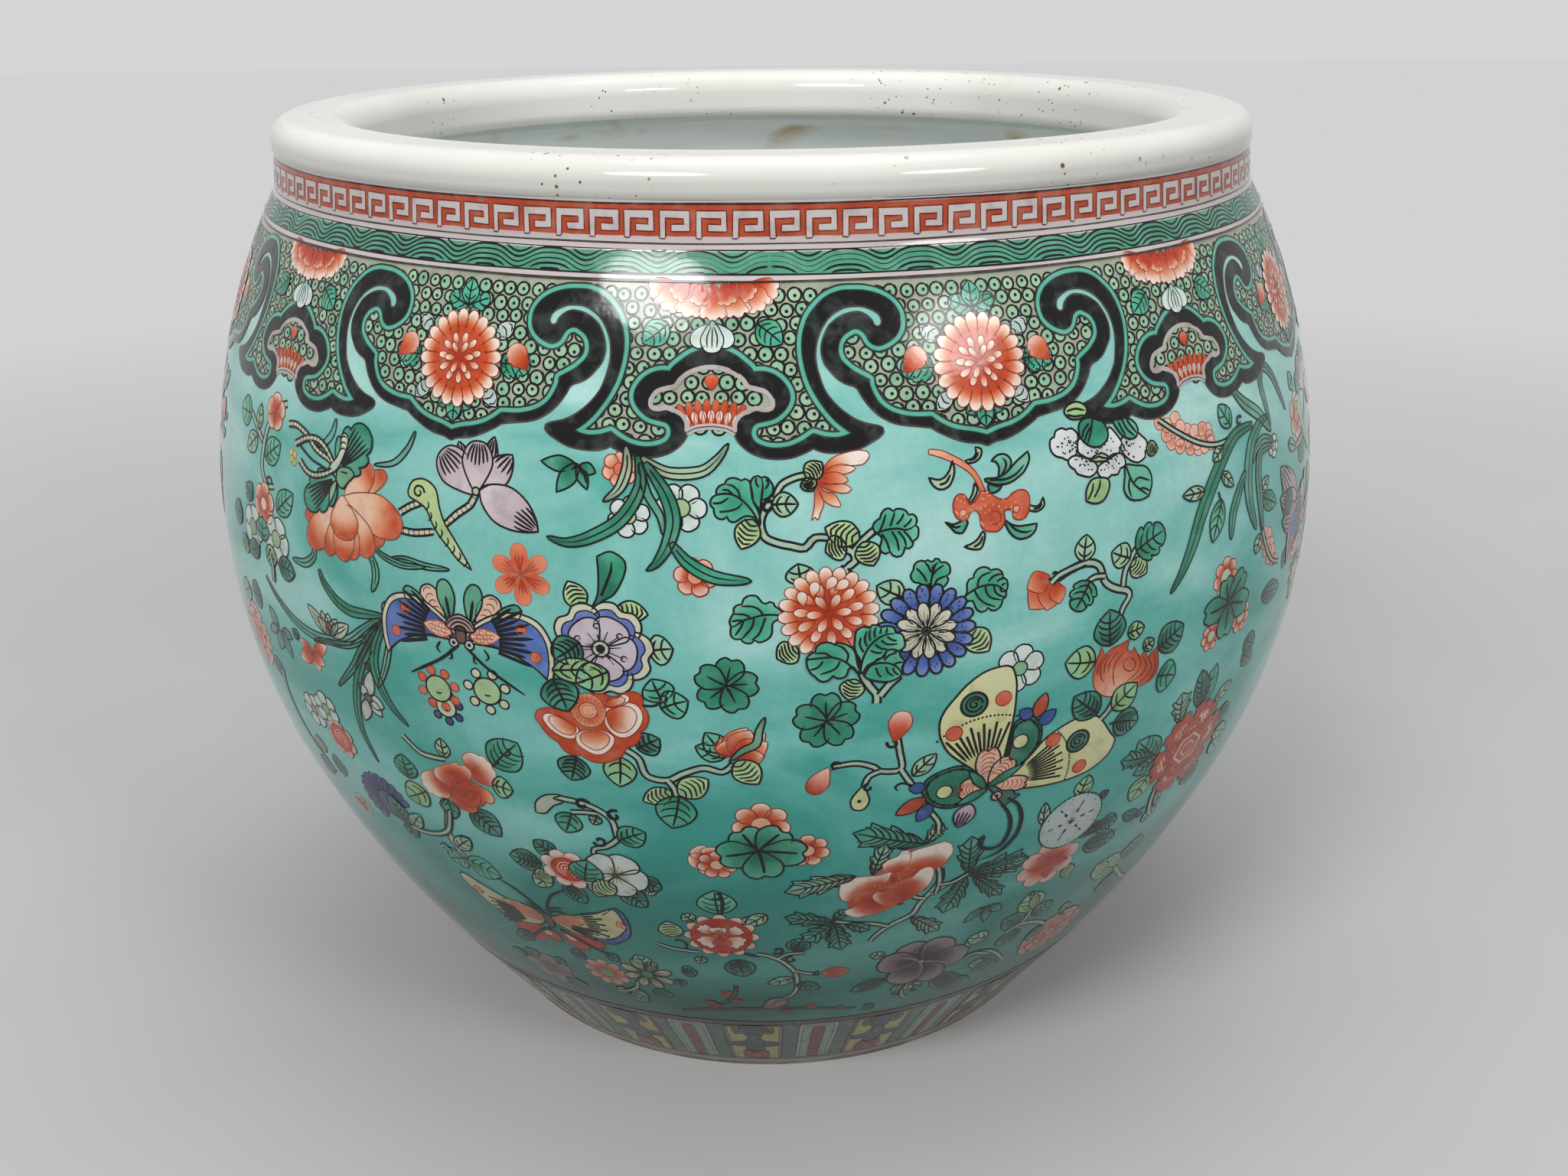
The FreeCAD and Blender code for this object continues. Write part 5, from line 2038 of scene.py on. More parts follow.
@motif("leaf_enamel", -13.7, 212)
def front_peony_leaves(p):
    """Leaves and winding stem of the front peony."""
    stem(
        p,
        [
            (5, 9.8), (8.8, 6.8), (11, 0.2), (17.3, -1.2), (22.3, 1.8), (28.8, 4.4), (34.3, 3),
            (37.3, 5.5), (38.3, 8),
        ],
        1.6,
    )
    stem(p, [(17.3, -1.2), (19.3, -4.5), (20, -9)], 1.4)
    leaves(p, "dark", (-11.4, 5, 255, 10.1, 10.8), (8.8, 10.5, 33, 8.3, 9))
    leaves(p, "lime", (3, 6.8, 265, 12, 10.5))
    leaves(p, "striped", (20.6, -6.8, 36, 11.6, 9), (18.3, -5.5, 208, 10.5, 7))
    leaves(p, "emerald", (20.6, -7.5, 258, 14.3, 13))


@motif("coral_enamel", -3.6, 225)
def spray_bud(p):
    """Coral bud flower with a folded leaf, on the peony's stem."""
    leaves(p, "fresh", (-2.1, -3.8, 160, 9.8, 7.5), (-1.9, -4, 125, 10.9, 8))
    petals(
        p, ((-2.1, -4, 83, 8.1, 8), (-1.3, -4, 63, 12.4, 9), (-0.6, -3.8, 40, 13.7, 8)), CORAL_STOPS,
        OVAL, 0.4, RED_LINE,
    )
    p.up()
    petal(p, -1.1, -5.5, 355, 7.5, 5, [(0, EMERALD), (1, YELLOW_GREEN)], POINTED, 0.5)
    tendril(p, [(0.9, -6.2), (4.9, -7.5), (5.5, -14)])


@motif("leaf_enamel", -23.3, 213.2)
def folded_leaf(p):
    """Round emerald leaf."""
    leaves(p, "emerald", (-5.7, -5.7, 47, 15.6, 13.5))
    tendril(p, [(-6.7, -6.6), (-5.2, -5.4), (-3, -3.4)])
    curl(p, 0.3, 1.8, 200, 2.6, 0.7, 0.6)


@motif("coral_enamel", -28.9, 197, 6)
def ruffled_peony(p):
    """White coral peony with ruffled petals, seen from the side."""
    ruffled_peony_frill(p)
    ruffled_peony_bowl(p)


def ruffled_peony_frill(p):
    """Ruffled petals behind, deep at their root and white at their edge."""
    frill = [(0, CORAL_DEEP), (0.42, (200, 66, 30)), (0.6, CORAL_PALE), (0.78, BLUSH), (1, PINK_MILK)]
    for control, middle, reach in (
        (
            [
                (4, 7.9), (5.1, 4.5), (7.2, 1.7), (10.1, 1), (12.8, 1.4), (14.7, 3.5, CORNER),
                (15.5, 5.5), (15.8, 8.2), (14.9, 9.2, CORNER), (14.6, 11.3), (13.5, 12, CORNER),
                (12.3, 13.6), (10.3, 13.5, CORNER), (8.9, 14.1), (6.8, 14), (4.6, 12.6), (3.4, 10.6),
            ],
            (6, 2.5), 12,
        ),
        (
            [
                (-10.4, -1.9), (-8, -3.7), (-4.8, -4.1), (-0.7, -2.2), (3.8, 0.4), (5.8, 3.6), (5.5, 6.1),
                (3.8, 7.6), (1.6, 7.2, CORNER), (0.2, 8.1), (-2.1, 6.9, CORNER), (-4.7, 5.8),
                (-6.9, 4.2, CORNER), (-9.1, 3.3), (-10.7, 0.9),
            ],
            (-1, -0.6), 12,
        ),
        (
            [
                (-17.6, -5.2, CORNER), (-18.3, -7.6), (-17, -8.5, CORNER), (-16.7, -10.6),
                (-14.7, -10.5, CORNER), (-12.8, -11.6), (-10.1, -10.6, CORNER), (-7.6, -10.4),
                (-4.8, -6.8), (-3.7, -4.2), (-7.7, -3.1), (-10.3, -1.4), (-11.1, 1), (-13.5, 0.5),
                (-16.4, -1.5), (-18, -3.6),
            ],
            (-5.7, -2.2), 12,
        ),
    ):
        shape(p, control, graded(*middle, reach, frill), 0.34, (176, 92, 66), 1.8)


def ruffled_peony_bowl(p):
    """Bowl shaped petals in front, with a curl between them."""
    p.up()
    bowl = [(0, (190, 60, 30)), (0.55, (202, 74, 38)), (0.75, CORAL_PALE), (0.9, BLUSH), (1, PINK_MILK)]
    p.field(
        smooth(
            [
                (-6.2, -9.7), (-5.7, -12.2), (-4, -13.8), (-1.6, -13.9, CORNER), (0.6, -14.5),
                (3.4, -13.1), (4.8, -10.6, CORNER), (7.3, -9.1), (8.8, -7, CORNER), (10.8, -7.4),
                (12.5, -5.4), (12.3, -3.1), (11, -1.2), (9.4, -0.6), (7.4, 0.4), (4.7, 1.4), (0.9, -0.2),
                (-3.6, -3.7), (-5.5, -6.8),
            ],
            True, 0.9,
        ),
        graded(-1.2, -4.2, 15.5, bowl), 1.8, 0.36, RED_LINE,
    )
    shape(
        p,
        [
            (-1.4, -10), (0.1, -11.1), (2.5, -11.3), (5.3, -9.7), (6.9, -7), (7, -4.4), (5.1, -3.3),
            (1.9, -4.5), (-1.1, -7.7),
        ],
        graded(-1.2, -4.2, 13, bowl), 0.32, RED_LINE, grain=1.8,
    )
    p.line(
        smooth(
            [(1.9, -4.5), (0.4, -6.8), (1.3, -8.1), (3.6, -7.2), (5.1, -5.2), (4.2, -4.3), (2.7, -5.3)],
            False, 0.8,
        ),
        0.36, RED_LINE, above=0.4,
    )


@motif("leaf_enamel", -30, 189)
def ruffled_peony_leaves(p):
    """Leaves round the ruffled peony, with its stem."""
    stem(p, [(-6, -8), (-8, -14), (-10.2, -21), (-8.8, -29), (-11, -34)], 1.5)
    stem(p, [(-17, 21), (-11, 16), (-5.5, 15.5), (0, 16)], 1.4)
    leaves(p, "pale", (0, 16.8, 90, 8, 6), (-1, -21.2, 227, 10.6, 6))
    leaves(p, "emerald", (-4.5, -3, 267, 10, 8))
    leaves(p, "deep", (5.5, -4.5, 312, 14.2, 12.5))
    leaves(p, "lime", (17.5, 10, 352, 7.6, 9.5))


@motif("leaf_enamel", -15.9, 189)
def vine_middle(p):
    """Winding vine with curls between two leaves."""
    stem(
        p,
        [
            (-11.9, 9.8), (-8.9, 9.4), (-4.9, 9), (1.1, 7), (5.6, 3), (6.6, -3), (6.3, -6.5),
            (2.1, -10.5), (-2.4, -12.5), (-2.9, -15.2),
        ],
        1.5,
    )
    stem(p, [(6.3, -6.5), (8.6, -4), (11.1, -2.5)], 1.3)
    stem(p, [(-7.9, 4), (-2.9, 4.8), (1.1, 4.8)], 1.2)
    shape(
        p,
        [
            (-17.4, 1.5), (-13.9, 5.5), (-10.1, 8), (-13.4, 9), (-10.1, 11), (-15.9, 10), (-20.1, 6),
            (-20.9, 1.2, CORNER),
        ],
        (186, 196, 176), grain=2.4, step=1.0,
    )
    leaves(p, "emerald", (-7.9, 3.5, 250, 10.1, 9.5), (7.1, -6.5, 28, 10.7, 10))
    leaves(p, "pale", (1.1, 4, 247, 4.6, 4.5))
    for place, way in (((-3.4, 8.2, 0, 0, 1), 20), ((6.9, 4.8, 0, 0, 1), 60), ((0.3, -8, 0, 0, 1), 200)):
        curl(p, place[0], place[1], way, 2.6, 1.0, 1.0)


@motif("bloom_enamel", -15.1, 164, 14)
def white_plum(p):
    """White plum blossom with olive stamens."""
    blossom(
        p, 0.3, 0.2, 11.8, 5, 60, [(0, (206, 212, 196)), (0.5, (226, 230, 222)), (1, (214, 226, 220))],
        None, None, 0, 0, ROUND, 0.5, 1.3,
    )
    for k in range(16):
        way = math.radians(22.5 * k)
        far = 4.6 + 0.9 * (k % 2)
        p.line(
            [
                (0.2 + 1.4 * math.cos(way), 0.2 + 1.4 * math.sin(way)),
                (0.2 + far * math.cos(way), 0.2 + far * math.sin(way)),
            ],
            0.7, (110, 104, 62),
        )
    p.up()
    p.field(circle(0.3, 0.2, 1.6), (60, 56, 40), 2.4)


@motif("coral_enamel", -20.1, 164, 20)
def coral_round(p):
    """Round coral flower with white scalloped edge."""
    blossom(
        p, 1.3, -0.5, 10.4, 8, 20,
        [(0, CORAL), (0.5, (226, 120, 84)), (0.7, (246, 216, 200)), (1, (248, 236, 228))], RED_LINE, None,
        0, 0, ROUND, 0.3, 1.3,
    )
    p.up()
    p.field(circle(1.3, -0.5, 6.2), (206, 66, 34), 2.4, 0.4, RED_LINE)
    arcs(p, 1.3, -0.5, 90, 3, 1.2, 1.4, 160, 0.5, (246, 210, 190))


@motif("leaf_enamel", -18, 164, 6)
def white_plum_leaves(p):
    """Leaves between the white and the coral flower."""
    leaves(p, "dark", (-17, -0.5, 175, 12.5, 11.5), (19, -1, 333, 8.9, 9))
    leaves(p, "deep", (-10, 6, 139, 9.2, 9))
    leaves(p, "striped", (-14.5, -6, 203, 7.6, 8))
    p.up(20)
    leaves(p, "emerald", (-1, -5.2, 75, 12.1, 12.5))
    leaves(p, "striped", (10, -5, 211, 10.5, 9))


@motif("coral_enamel", -6.3, 176)
def coral_shell_bud(p):
    """Coral half flower beside the big clover."""
    petals(
        p,
        (
            (1.1, 0, 130, 7.8, 8), (1.1, 0, 188, 7.6, 8), (1.6, 0, 259, 8.1, 8), (2.6, 0, 321, 7.1, 8),
            (2.1, 1, 90, 5.5, 8),
        ),
        WHITE_TIP, ROUND, 0.35, RED_LINE, rise=0.5,
    )
    p.up()
    p.field(circle(1.6, 0, 4.2), (206, 70, 38), 2.4)
    p.field(circle(2.3, 0.2, 2.4), (246, 200, 180), 2.4, 0.4, RED_LINE, 0.6)


@motif("leaf_enamel", 2.8, 298)
def vine_top(p):
    """Winding vine below the collar, with round scalloped leaves."""
    stem(p, [(0, 15.8), (-4, 15.2), (-8.5, 13), (-10.5, 9)], 1.3)
    stem(
        p,
        [
            (-11.5, 8), (-14, 4.5), (-14.8, 1), (-13.5, -3), (-10, -4.8), (-6, -5.8), (-2, -6.5),
            (1, -3.5), (6, -3.8),
        ],
        1.6,
    )
    stem(p, [(8.5, -7), (12, -8.5), (12.5, -11.5), (10, -13.5), (11.5, -16)], 1.6)
    stem(p, [(12.5, -8), (15, -5), (19, -1.5)], 1.4)
    for part in (vine_left_leaf, vine_small_leaf, vine_right_leaf):
        part(p)
    leaves(p, "pale", (-11.5, 7, 0, 7.8, 7.5))
    leaves(
        p, "striped", (-17, 2.5, 249, 9.7, 7.5), (14, -4.5, 158, 10.8, 8), (10, -6, 198, 6.3, 8),
        (15, -5.5, 292, 8.1, 7.5),
    )
    curl(p, -12.5, 6.2, 60, 2.0, 0.9, 0.9)
    curl(p, 10.2, -14.2, 120, 2.0, 0.9, 0.9)


def vine_left_leaf(p):
    """Large scalloped leaf at the left end of the vine."""
    scalloped(
        p,
        [
            (-19.9, 3.3), (-18.3, 3.6), (-16.2, 2.9), (-14.9, 0.7), (-14.9, 2.9), (-15.6, 5.5),
            (-16.6, 7.4), (-17.1, 9), (-17.3, 11.3), (-17.6, 13.2), (-18, 14.3), (-19.1, 14.9),
            (-20.3, 14.4, CORNER), (-21.4, 14.9), (-22.9, 15.2), (-24.5, 14.6), (-25.1, 13.3, CORNER),
            (-26.6, 12.8), (-27.6, 11.5), (-27.6, 10, CORNER), (-28.5, 9.5), (-29.3, 8.3), (-29.3, 6.7),
            (-28.4, 5.8, CORNER), (-28.2, 4.2), (-27.3, 2.9), (-25.7, 2.6), (-24.5, 3.4, CORNER),
            (-23.9, 2.1), (-22.4, 1.7), (-20.9, 2.6),
        ],
        (-22.3, 8.1),
        (
            [
                (-27.6, 10), (-25.1, 10.4), (-22.6, 10), (-20.1, 8.4), (-17.7, 5.8), (-15.9, 2.9),
                (-15, 0.5),
            ],
            [(-20.6, 9), (-21.3, 11.3), (-22.9, 12.8), (-24.7, 13.2)],
            [(-22.9, 10.1), (-24.1, 11.4), (-26, 11.6)], [(-28.7, 7.4), (-26.3, 7.6), (-24, 9.2)],
            [(-26.7, 4.8), (-23.5, 5.2), (-21.1, 6.2), (-20.1, 7.6)],
        ),
    )


def vine_small_leaf(p):
    """Small scalloped leaf beside the large one."""
    scalloped(
        p,
        [
            (-17.1, 9), (-16.6, 7.7), (-15.3, 5.8), (-14.9, 3.6), (-14.5, 5.5), (-13.6, 6.8),
            (-12.6, 8.5), (-11.6, 9.6), (-11, 11.2), (-11.1, 13.1), (-11.8, 14.1), (-12.4, 15),
            (-13.5, 15.5), (-14.3, 15.2, CORNER), (-15.5, 15.8), (-16.6, 15.4), (-17.4, 14.3),
            (-17.6, 13.2),
        ],
        (-14.3, 10),
        (
            [(-15.1, 0.7), (-14.9, 4.2), (-14.6, 7.4), (-14.2, 10.6), (-14, 13.1), (-14.3, 15)],
            [(-17.6, 13), (-17.1, 10.6), (-16.9, 8.4)], [(-15.9, 15.1), (-16, 13.6), (-15.1, 12.3)],
            [(-13, 14.7), (-12.3, 13.4), (-13.4, 11.7)], [(-11.4, 10.2), (-12.5, 9), (-14.2, 8.5)],
        ),
    )


def vine_right_leaf(p):
    """Wide scalloped leaf at the right end of the vine."""
    scalloped(
        p,
        [
            (20.1, -3.7), (20.7, -4.6), (20.4, -6.1), (20, -7.8), (20.7, -9.1), (21.7, -9.6),
            (23, -9, CORNER), (23.7, -10.1), (25, -10.8), (26.3, -10.6), (27.1, -9.4), (27.5, -8, CORNER),
            (28.8, -8.5), (29.8, -7.7), (30.1, -6.2, CORNER), (31.4, -5.3), (31.8, -3.4), (31.7, -2.2),
            (30.9, -1.4, CORNER), (31.3, -0.4), (31.2, 1.1), (30.1, 2.1), (28.9, 2, CORNER), (28.1, 3.3),
            (26.7, 4), (25.2, 4.1), (24.3, 3.4, CORNER), (23.2, 4.4), (21.8, 4.2), (20.7, 2.9),
            (20.3, 1.6, CORNER), (18.7, 0.5), (18.1, -0.9), (18.5, -2.4), (19.4, -3.1),
        ],
        (22.7, -2.1),
        (
            [
                (16.1, -5.2), (19.4, -2.9), (22.5, -2.1), (25.6, -2), (27.6, -2.6), (29.3, -2.3),
                (30.8, -1.4),
            ],
            [(20, -2.5), (21.1, -0.2), (22, 2.7)], [(23.2, -1.1), (24, 0.8), (24.7, 3.1)],
            [(25.2, -0.7), (26.7, 0.9), (27.5, 2.6)], [(27.3, -1.7), (28.8, -0.6), (29.9, 0.8)],
            [(20.7, -3.3), (22.1, -5.9), (23, -9)], [(23.7, -2.8), (25.1, -5.5), (25.7, -9)],
            [(25.6, -2.8), (27.4, -5.4), (27.9, -7.8)], [(27.3, -2.9), (29, -5), (29.8, -6.8)],
        ),
    )


@motif("coral_enamel", 4.7, 312, 8)
def coral_lotus_bud(p):
    """Coral flower that opens to the right, from a striped calyx."""
    soft = [(0, CORAL_DEEP), (0.35, (206, 84, 44)), (0.6, CORAL_PALE), (0.85, BLUSH), (1, PINK_MILK)]
    for control in (
        [
            (-1.2, 3.4), (2.2, 4.2), (5.9, 4.1), (8.4, 4.3), (9.9, 5.4), (10.7, 7), (10.1, 8.1),
            (7.5, 8.7), (3.1, 8), (-0.3, 6.8), (-2.1, 5.2), (-3.7, 3.1), (-5.1, 1),
        ],
        [
            (-1.6, 1.9), (2.1, 1.6), (4.8, 2.1), (6.3, 3.3), (4.8, 4.1), (2.2, 4.7), (-0.8, 4.1),
            (-3.7, 2.6), (-5.4, 0.9),
        ],
        [
            (-5.2, -12), (-4.3, -9.6), (-3.4, -7.6), (-3.5, -5.9), (-5, -2), (-6, -0.1), (-6, -4.3),
            (-6.2, -8), (-7, -12.1), (-6.1, -11.1),
        ],
        [
            (-4.9, -2.8), (-3.8, -5.5), (-2.2, -7.1), (0, -8.1), (1.6, -8), (1, -6.1), (-0.3, -4.1),
            (-3.2, -3.2), (-5.6, 0),
        ],
        [
            (-3.7, -2), (-1, -3.3), (1.9, -4.1), (4.1, -3.9), (4.9, -2.9), (3.1, -1.5), (0.2, -1.1),
            (-3.1, -1.1), (-5.6, 0.4),
        ],
        [(-4, -0.6), (-1.3, -1.2), (2, -1.3), (4, -0.4), (2.8, 1.3), (0.3, 2.4), (-3, 2), (-5.7, 0.8)],
    ):
        shape(p, control, graded(-5.8, 0.8, 12.5, soft), 0.34, RED_LINE)
    p.up()
    leaves(p, "striped", (-8.4, 1.2, 42, 6.4, 6), (-8.4, 0.8, 293, 4.3, 5))


@motif("coral_enamel", 16.7, 304)
def lingzhi_spray(p):
    """Coral fungus spray with curved leaves."""
    for part in (lingzhi_pale_leaves, lingzhi_green_leaves, lingzhi_ribs, lingzhi_cap):
        part(p)


def lingzhi_pale_leaves(p):
    """The long leaf that holds the spray and the pale leaves."""
    shape(
        p,
        [
            (-16.2, 14.2), (-12.9, 12.9), (-9, 11), (-5.6, 8.8), (-3.1, 6.5), (-1.7, 4.1), (-0.8, 1.7),
            (-0.4, -1.3), (2.5, -1.5), (0.8, 2.1), (-0.3, 5), (-2.1, 8), (-4.9, 10.7), (-8.3, 12.9),
            (-12.2, 14.9), (-16.1, 15.5),
        ],
        graded(2.9, -4.9, 24, [(0, CORAL), (0.5, (226, 130, 94)), (1, (240, 176, 148))]), 0.4, RED_LINE,
    )
    for control in (
        [
            (-4.1, 10.2), (-2, 10.3), (0.2, 11.7), (0.7, 14.1), (-1.2, 14.9, CORNER), (-1.1, 13),
            (-2.5, 11.4), (-4.6, 11.2),
        ],
        [
            (-15.2, 4.2), (-12.9, 2.9), (-10.3, 3.8), (-8.8, 6.5), (-8.4, 8.9), (-8.9, 11.5, CORNER),
            (-10, 8.5), (-11.9, 6.4), (-13.8, 6), (-16.6, 6.9, CORNER),
        ],
        [
            (15.3, -6.6), (17.4, -7.5), (19.3, -7.1), (20.7, -5.7), (20.3, -3.3, CORNER), (19.2, -5.3),
            (17.5, -5.9), (15.4, -5.1),
        ],
        [
            (-1.8, -13.5), (-3.9, -14.9), (-6.4, -15.6, CORNER), (-3.9, -16.7), (-1.1, -16.8),
            (0.1, -14.3), (0.4, -12.2), (-0.4, -11.5),
        ],
        [(-3, 0.8), (-4.4, -1.6), (-3.7, -2), (-1.9, 0.4), (-1.4, 2.3), (-2.3, 4, CORNER)],
    ):
        shape(p, control, (178, 204, 164), 0.55)


def lingzhi_green_leaves(p):
    """Green leaves, deeper near the cap."""
    for control in (
        [
            (2.2, 3.6), (5.2, 2.6), (8.8, 2.6), (11.9, 3.9), (14.6, 5.9), (16.5, 9.3),
            (16.1, 11.7, CORNER), (11.7, 8.8), (8.4, 6), (5.3, 4.8), (1.1, 4.8),
        ],
        [
            (6.5, 5.1), (8.7, 6.3), (10.1, 8.1), (10, 10.1), (8.3, 11.7), (5.8, 11.7),
            (3.7, 10.2, CORNER), (5.2, 9.6), (6.1, 7.7), (5.7, 5.5),
        ],
        [(2.5, 0.4), (5, 0.5), (6.6, 2, CORNER), (4.7, 2.2), (2.2, 3)],
        [
            (7.9, -11.9), (9.6, -14.2), (12.1, -15.5), (15.2, -15), (17.2, -13.2), (17.7, -11.3, CORNER),
            (11.7, -11.3), (8.7, -10.2), (6.8, -8.7),
        ],
        [
            (-10.4, -9.1), (-8.9, -10.8), (-6.9, -11.2), (-5.7, -9.6), (-5, -8), (-5.6, -7), (-8.2, -7.9),
            (-9.9, -8.2), (-12.1, -7.2, CORNER),
        ],
    ):
        shape(
            p, control,
            graded(2.9, -4.9, 17, [(0, (40, 132, 104)), (0.5, (60, 156, 124)), (1, (124, 196, 166))]),
            0.55,
        )


def lingzhi_ribs(p):
    """One rib in each leaf."""
    for curve in (
        [(2.6, 4.3), (7.7, 4), (11.4, 5.1), (14.6, 7.8)],
        [(6.8, 5.5), (8.2, 7.5), (8.4, 9.4), (7.3, 10.7)],
        [(8.1, -9.6), (10.4, -12.2), (13.4, -13.5), (16, -13.3)],
        [(-10.5, -8.3), (-8.8, -9.3), (-7.1, -8.9)], [(-13.3, 4.5), (-11.3, 5), (-9.7, 7.4)],
        [(-3.5, 11), (-1.5, 11.6), (-0.3, 13.4)], [(16.8, -6.6), (18.7, -6.4), (19.9, -5.2)],
        [(-3.3, -16), (-1.4, -15), (-0.3, -12.8)],
    ):
        p.line(smooth(curve, False, 0.9), 0.6, None, (0.9, 0.3), 0.5)


def lingzhi_cap(p):
    """Lobed coral cap of the fungus, speckled and with a curl in its middle."""
    coral = [(0, (206, 84, 52)), (0.6, (220, 104, 70)), (1, (212, 92, 58))]
    body = [
        (-9.2, -4.7), (-8.2, -6.5), (-6.5, -7.3), (-5, -6.9), (-4.4, -5.5), (-3.2, -4.5), (-1.8, -5),
        (-1, -6.8), (-0.8, -9.6), (0.3, -11.2), (2.4, -11.8), (4.7, -11.9), (6.3, -10.5), (7, -8.4),
        (6.9, -6.1), (8.3, -5.5), (9.8, -6.4), (9.9, -8.4), (11.8, -9.3), (13.6, -8.9), (15, -7.1),
        (15.6, -4.3), (15.4, -1.7), (14.1, -0.2), (12, 0.1), (9.8, -0.7), (8.5, -1.9), (5.8, -2),
        (3.2, -0.4), (1.6, 0.8), (-0.2, 1.1), (-1.5, -0.5), (-2.8, -2.1), (-4.1, -2.7), (-4.9, -0.8),
        (-5.8, 0.7), (-7.5, 1), (-8.7, 0), (-9.4, -1.9),
    ]
    shape(p, body, graded(2.9, -4.9, 12, coral), 0.5, RED_LINE)
    p.line(
        smooth(
            [
                (2.1, -7.1), (2.6, -5.8), (4.4, -5.6), (5.7, -7), (5.3, -9.1), (3.4, -9.7), (2.5, -8.6),
                (3.2, -7.6), (4.2, -7.9),
            ],
            False, 0.7,
        ),
        0.42, (172, 58, 34), above=0.5,
    )
    for place in ((-6.4, -5), (11, -5.7)):
        p.field(circle(*place, 1.15), (240, 168, 134), 1.6, 0.34, RED_LINE, 0.4)
    for k in range(70):
        x, y = rng.uniform(-12, 12), rng.uniform(-10, 1)
        if inside(np.array([(x, y)]), np.array(body))[0]:
            p.dot(x, y, 0.3, (240, 164, 130), 0.5)


@motif("coral_enamel", 4.1, 270.5, 14)
def red_chrysanthemum(p):
    """Coral chrysanthemum with white tipped petals."""
    chrysanthemum(p, -0.1, 0, 15.0, 20, 4)
    p.up()
    for k, (x, y) in enumerate([(-7.4, 2.5), (-4.9, 5.5), (-0.9, 7.5), (1.6, 7.5)]):
        petal(
            p, x, y, 100 - 22 * k, 5.0, 3.2, [(0, CORAL), (0.5, BLUSH), (1, WHITE)], ROUND, 0.3, RED_LINE,
        )


@motif("leaf_enamel", 2, 265)
def chrysanthemum_leaves(p):
    """Leaves left of the coral chrysanthemum."""
    scalloped(
        p,
        [
            (-5.3, 5.5), (-5.9, 6.5), (-6.9, 7.6), (-7.9, 8.2, CORNER), (-8.3, 9.3), (-9.4, 9.7),
            (-10.6, 9.1), (-11.6, 9.5), (-12.3, 10.5), (-13.2, 11.6), (-14.6, 11.8), (-16, 11.5),
            (-17, 10.6), (-17.4, 9, CORNER), (-18.8, 8.7), (-19.8, 7.7), (-19.9, 6.1, CORNER),
            (-20.8, 4.4), (-21.1, 3), (-20.7, 1.6, CORNER), (-20.9, 0.1), (-20.6, -1.5), (-19.5, -2.4),
            (-18, -2.3, CORNER), (-17.3, -3.2), (-16, -3.8), (-14.8, -3.7), (-14, -2.7, CORNER),
            (-12.9, -3.4), (-11.2, -3.1), (-9.5, -1.8), (-8.8, 0), (-8.8, 2.2), (-8.1, 3.4), (-6.7, 4),
            (-5.4, 4.1),
        ],
        (-13.9, 2.9),
        (
            [
                (-5.3, 5.1), (-8.1, 5.5), (-11.1, 5.5), (-14.1, 4.7), (-17.2, 3.7), (-19.1, 2.3),
                (-21, 1.2),
            ],
            [(-11.4, 5.6), (-12.5, 7.3), (-14.7, 8.3), (-17.7, 8.3)],
            [(-15.2, 4.9), (-16.9, 5.7), (-19.8, 5.8)], [(-17.5, 3.7), (-18.8, 3.8), (-20.6, 3.4)],
            [(-10.7, 4.7), (-11.7, 1.6), (-12.8, -0.9), (-14.8, -2.7)],
            [(-14, 4.4), (-14.5, 1.9), (-15.9, -0.2), (-17.7, -2.3)],
            [(-17.1, 3.5), (-17.8, 1.6), (-19.6, -1.2)],
        ),
    )
    leaves(p, "pale", (0, 15, 99, 6.6, 8.5))
    leaves(p, "striped", (-1.5, -5.5, 210, 6.9, 8))


@motif("bloom_enamel", 11.8, 262.5, 16)
def blue_aster(p):
    """Blue aster with a cream middle."""
    blue = [(0, (46, 66, 136)), (0.5, (78, 106, 176)), (1, (126, 150, 206))]
    ring_of_petals(p, 0, 0, 19, 6.8, 8.6, 4.2, blue, 0, edge=0.55, profile=ROUND)
    for k in range(110):
        way = rng.uniform(0, 6.28)
        reach = rng.uniform(9.2, 14.4)
        p.dot(reach * math.cos(way), reach * math.sin(way), 0.3, BLUE_DEEP, 0.6)
    cream = [(0, (190, 186, 160)), (1, (222, 218, 200))]
    ring_of_petals(p, 0, 0, 12, 1.2, 8.4, 3.9, cream, 8, edge=0.45, profile=ROUND)
    for k in range(12):
        way = math.radians(30 * k + 8)
        c, s = math.cos(way), math.sin(way)
        p.line([(2.6 * c, 2.6 * s), (6.8 * c, 6.8 * s)], 0.36, None, above=0.4)
    p.dot(0, 0, 0.8, None, 0.6)


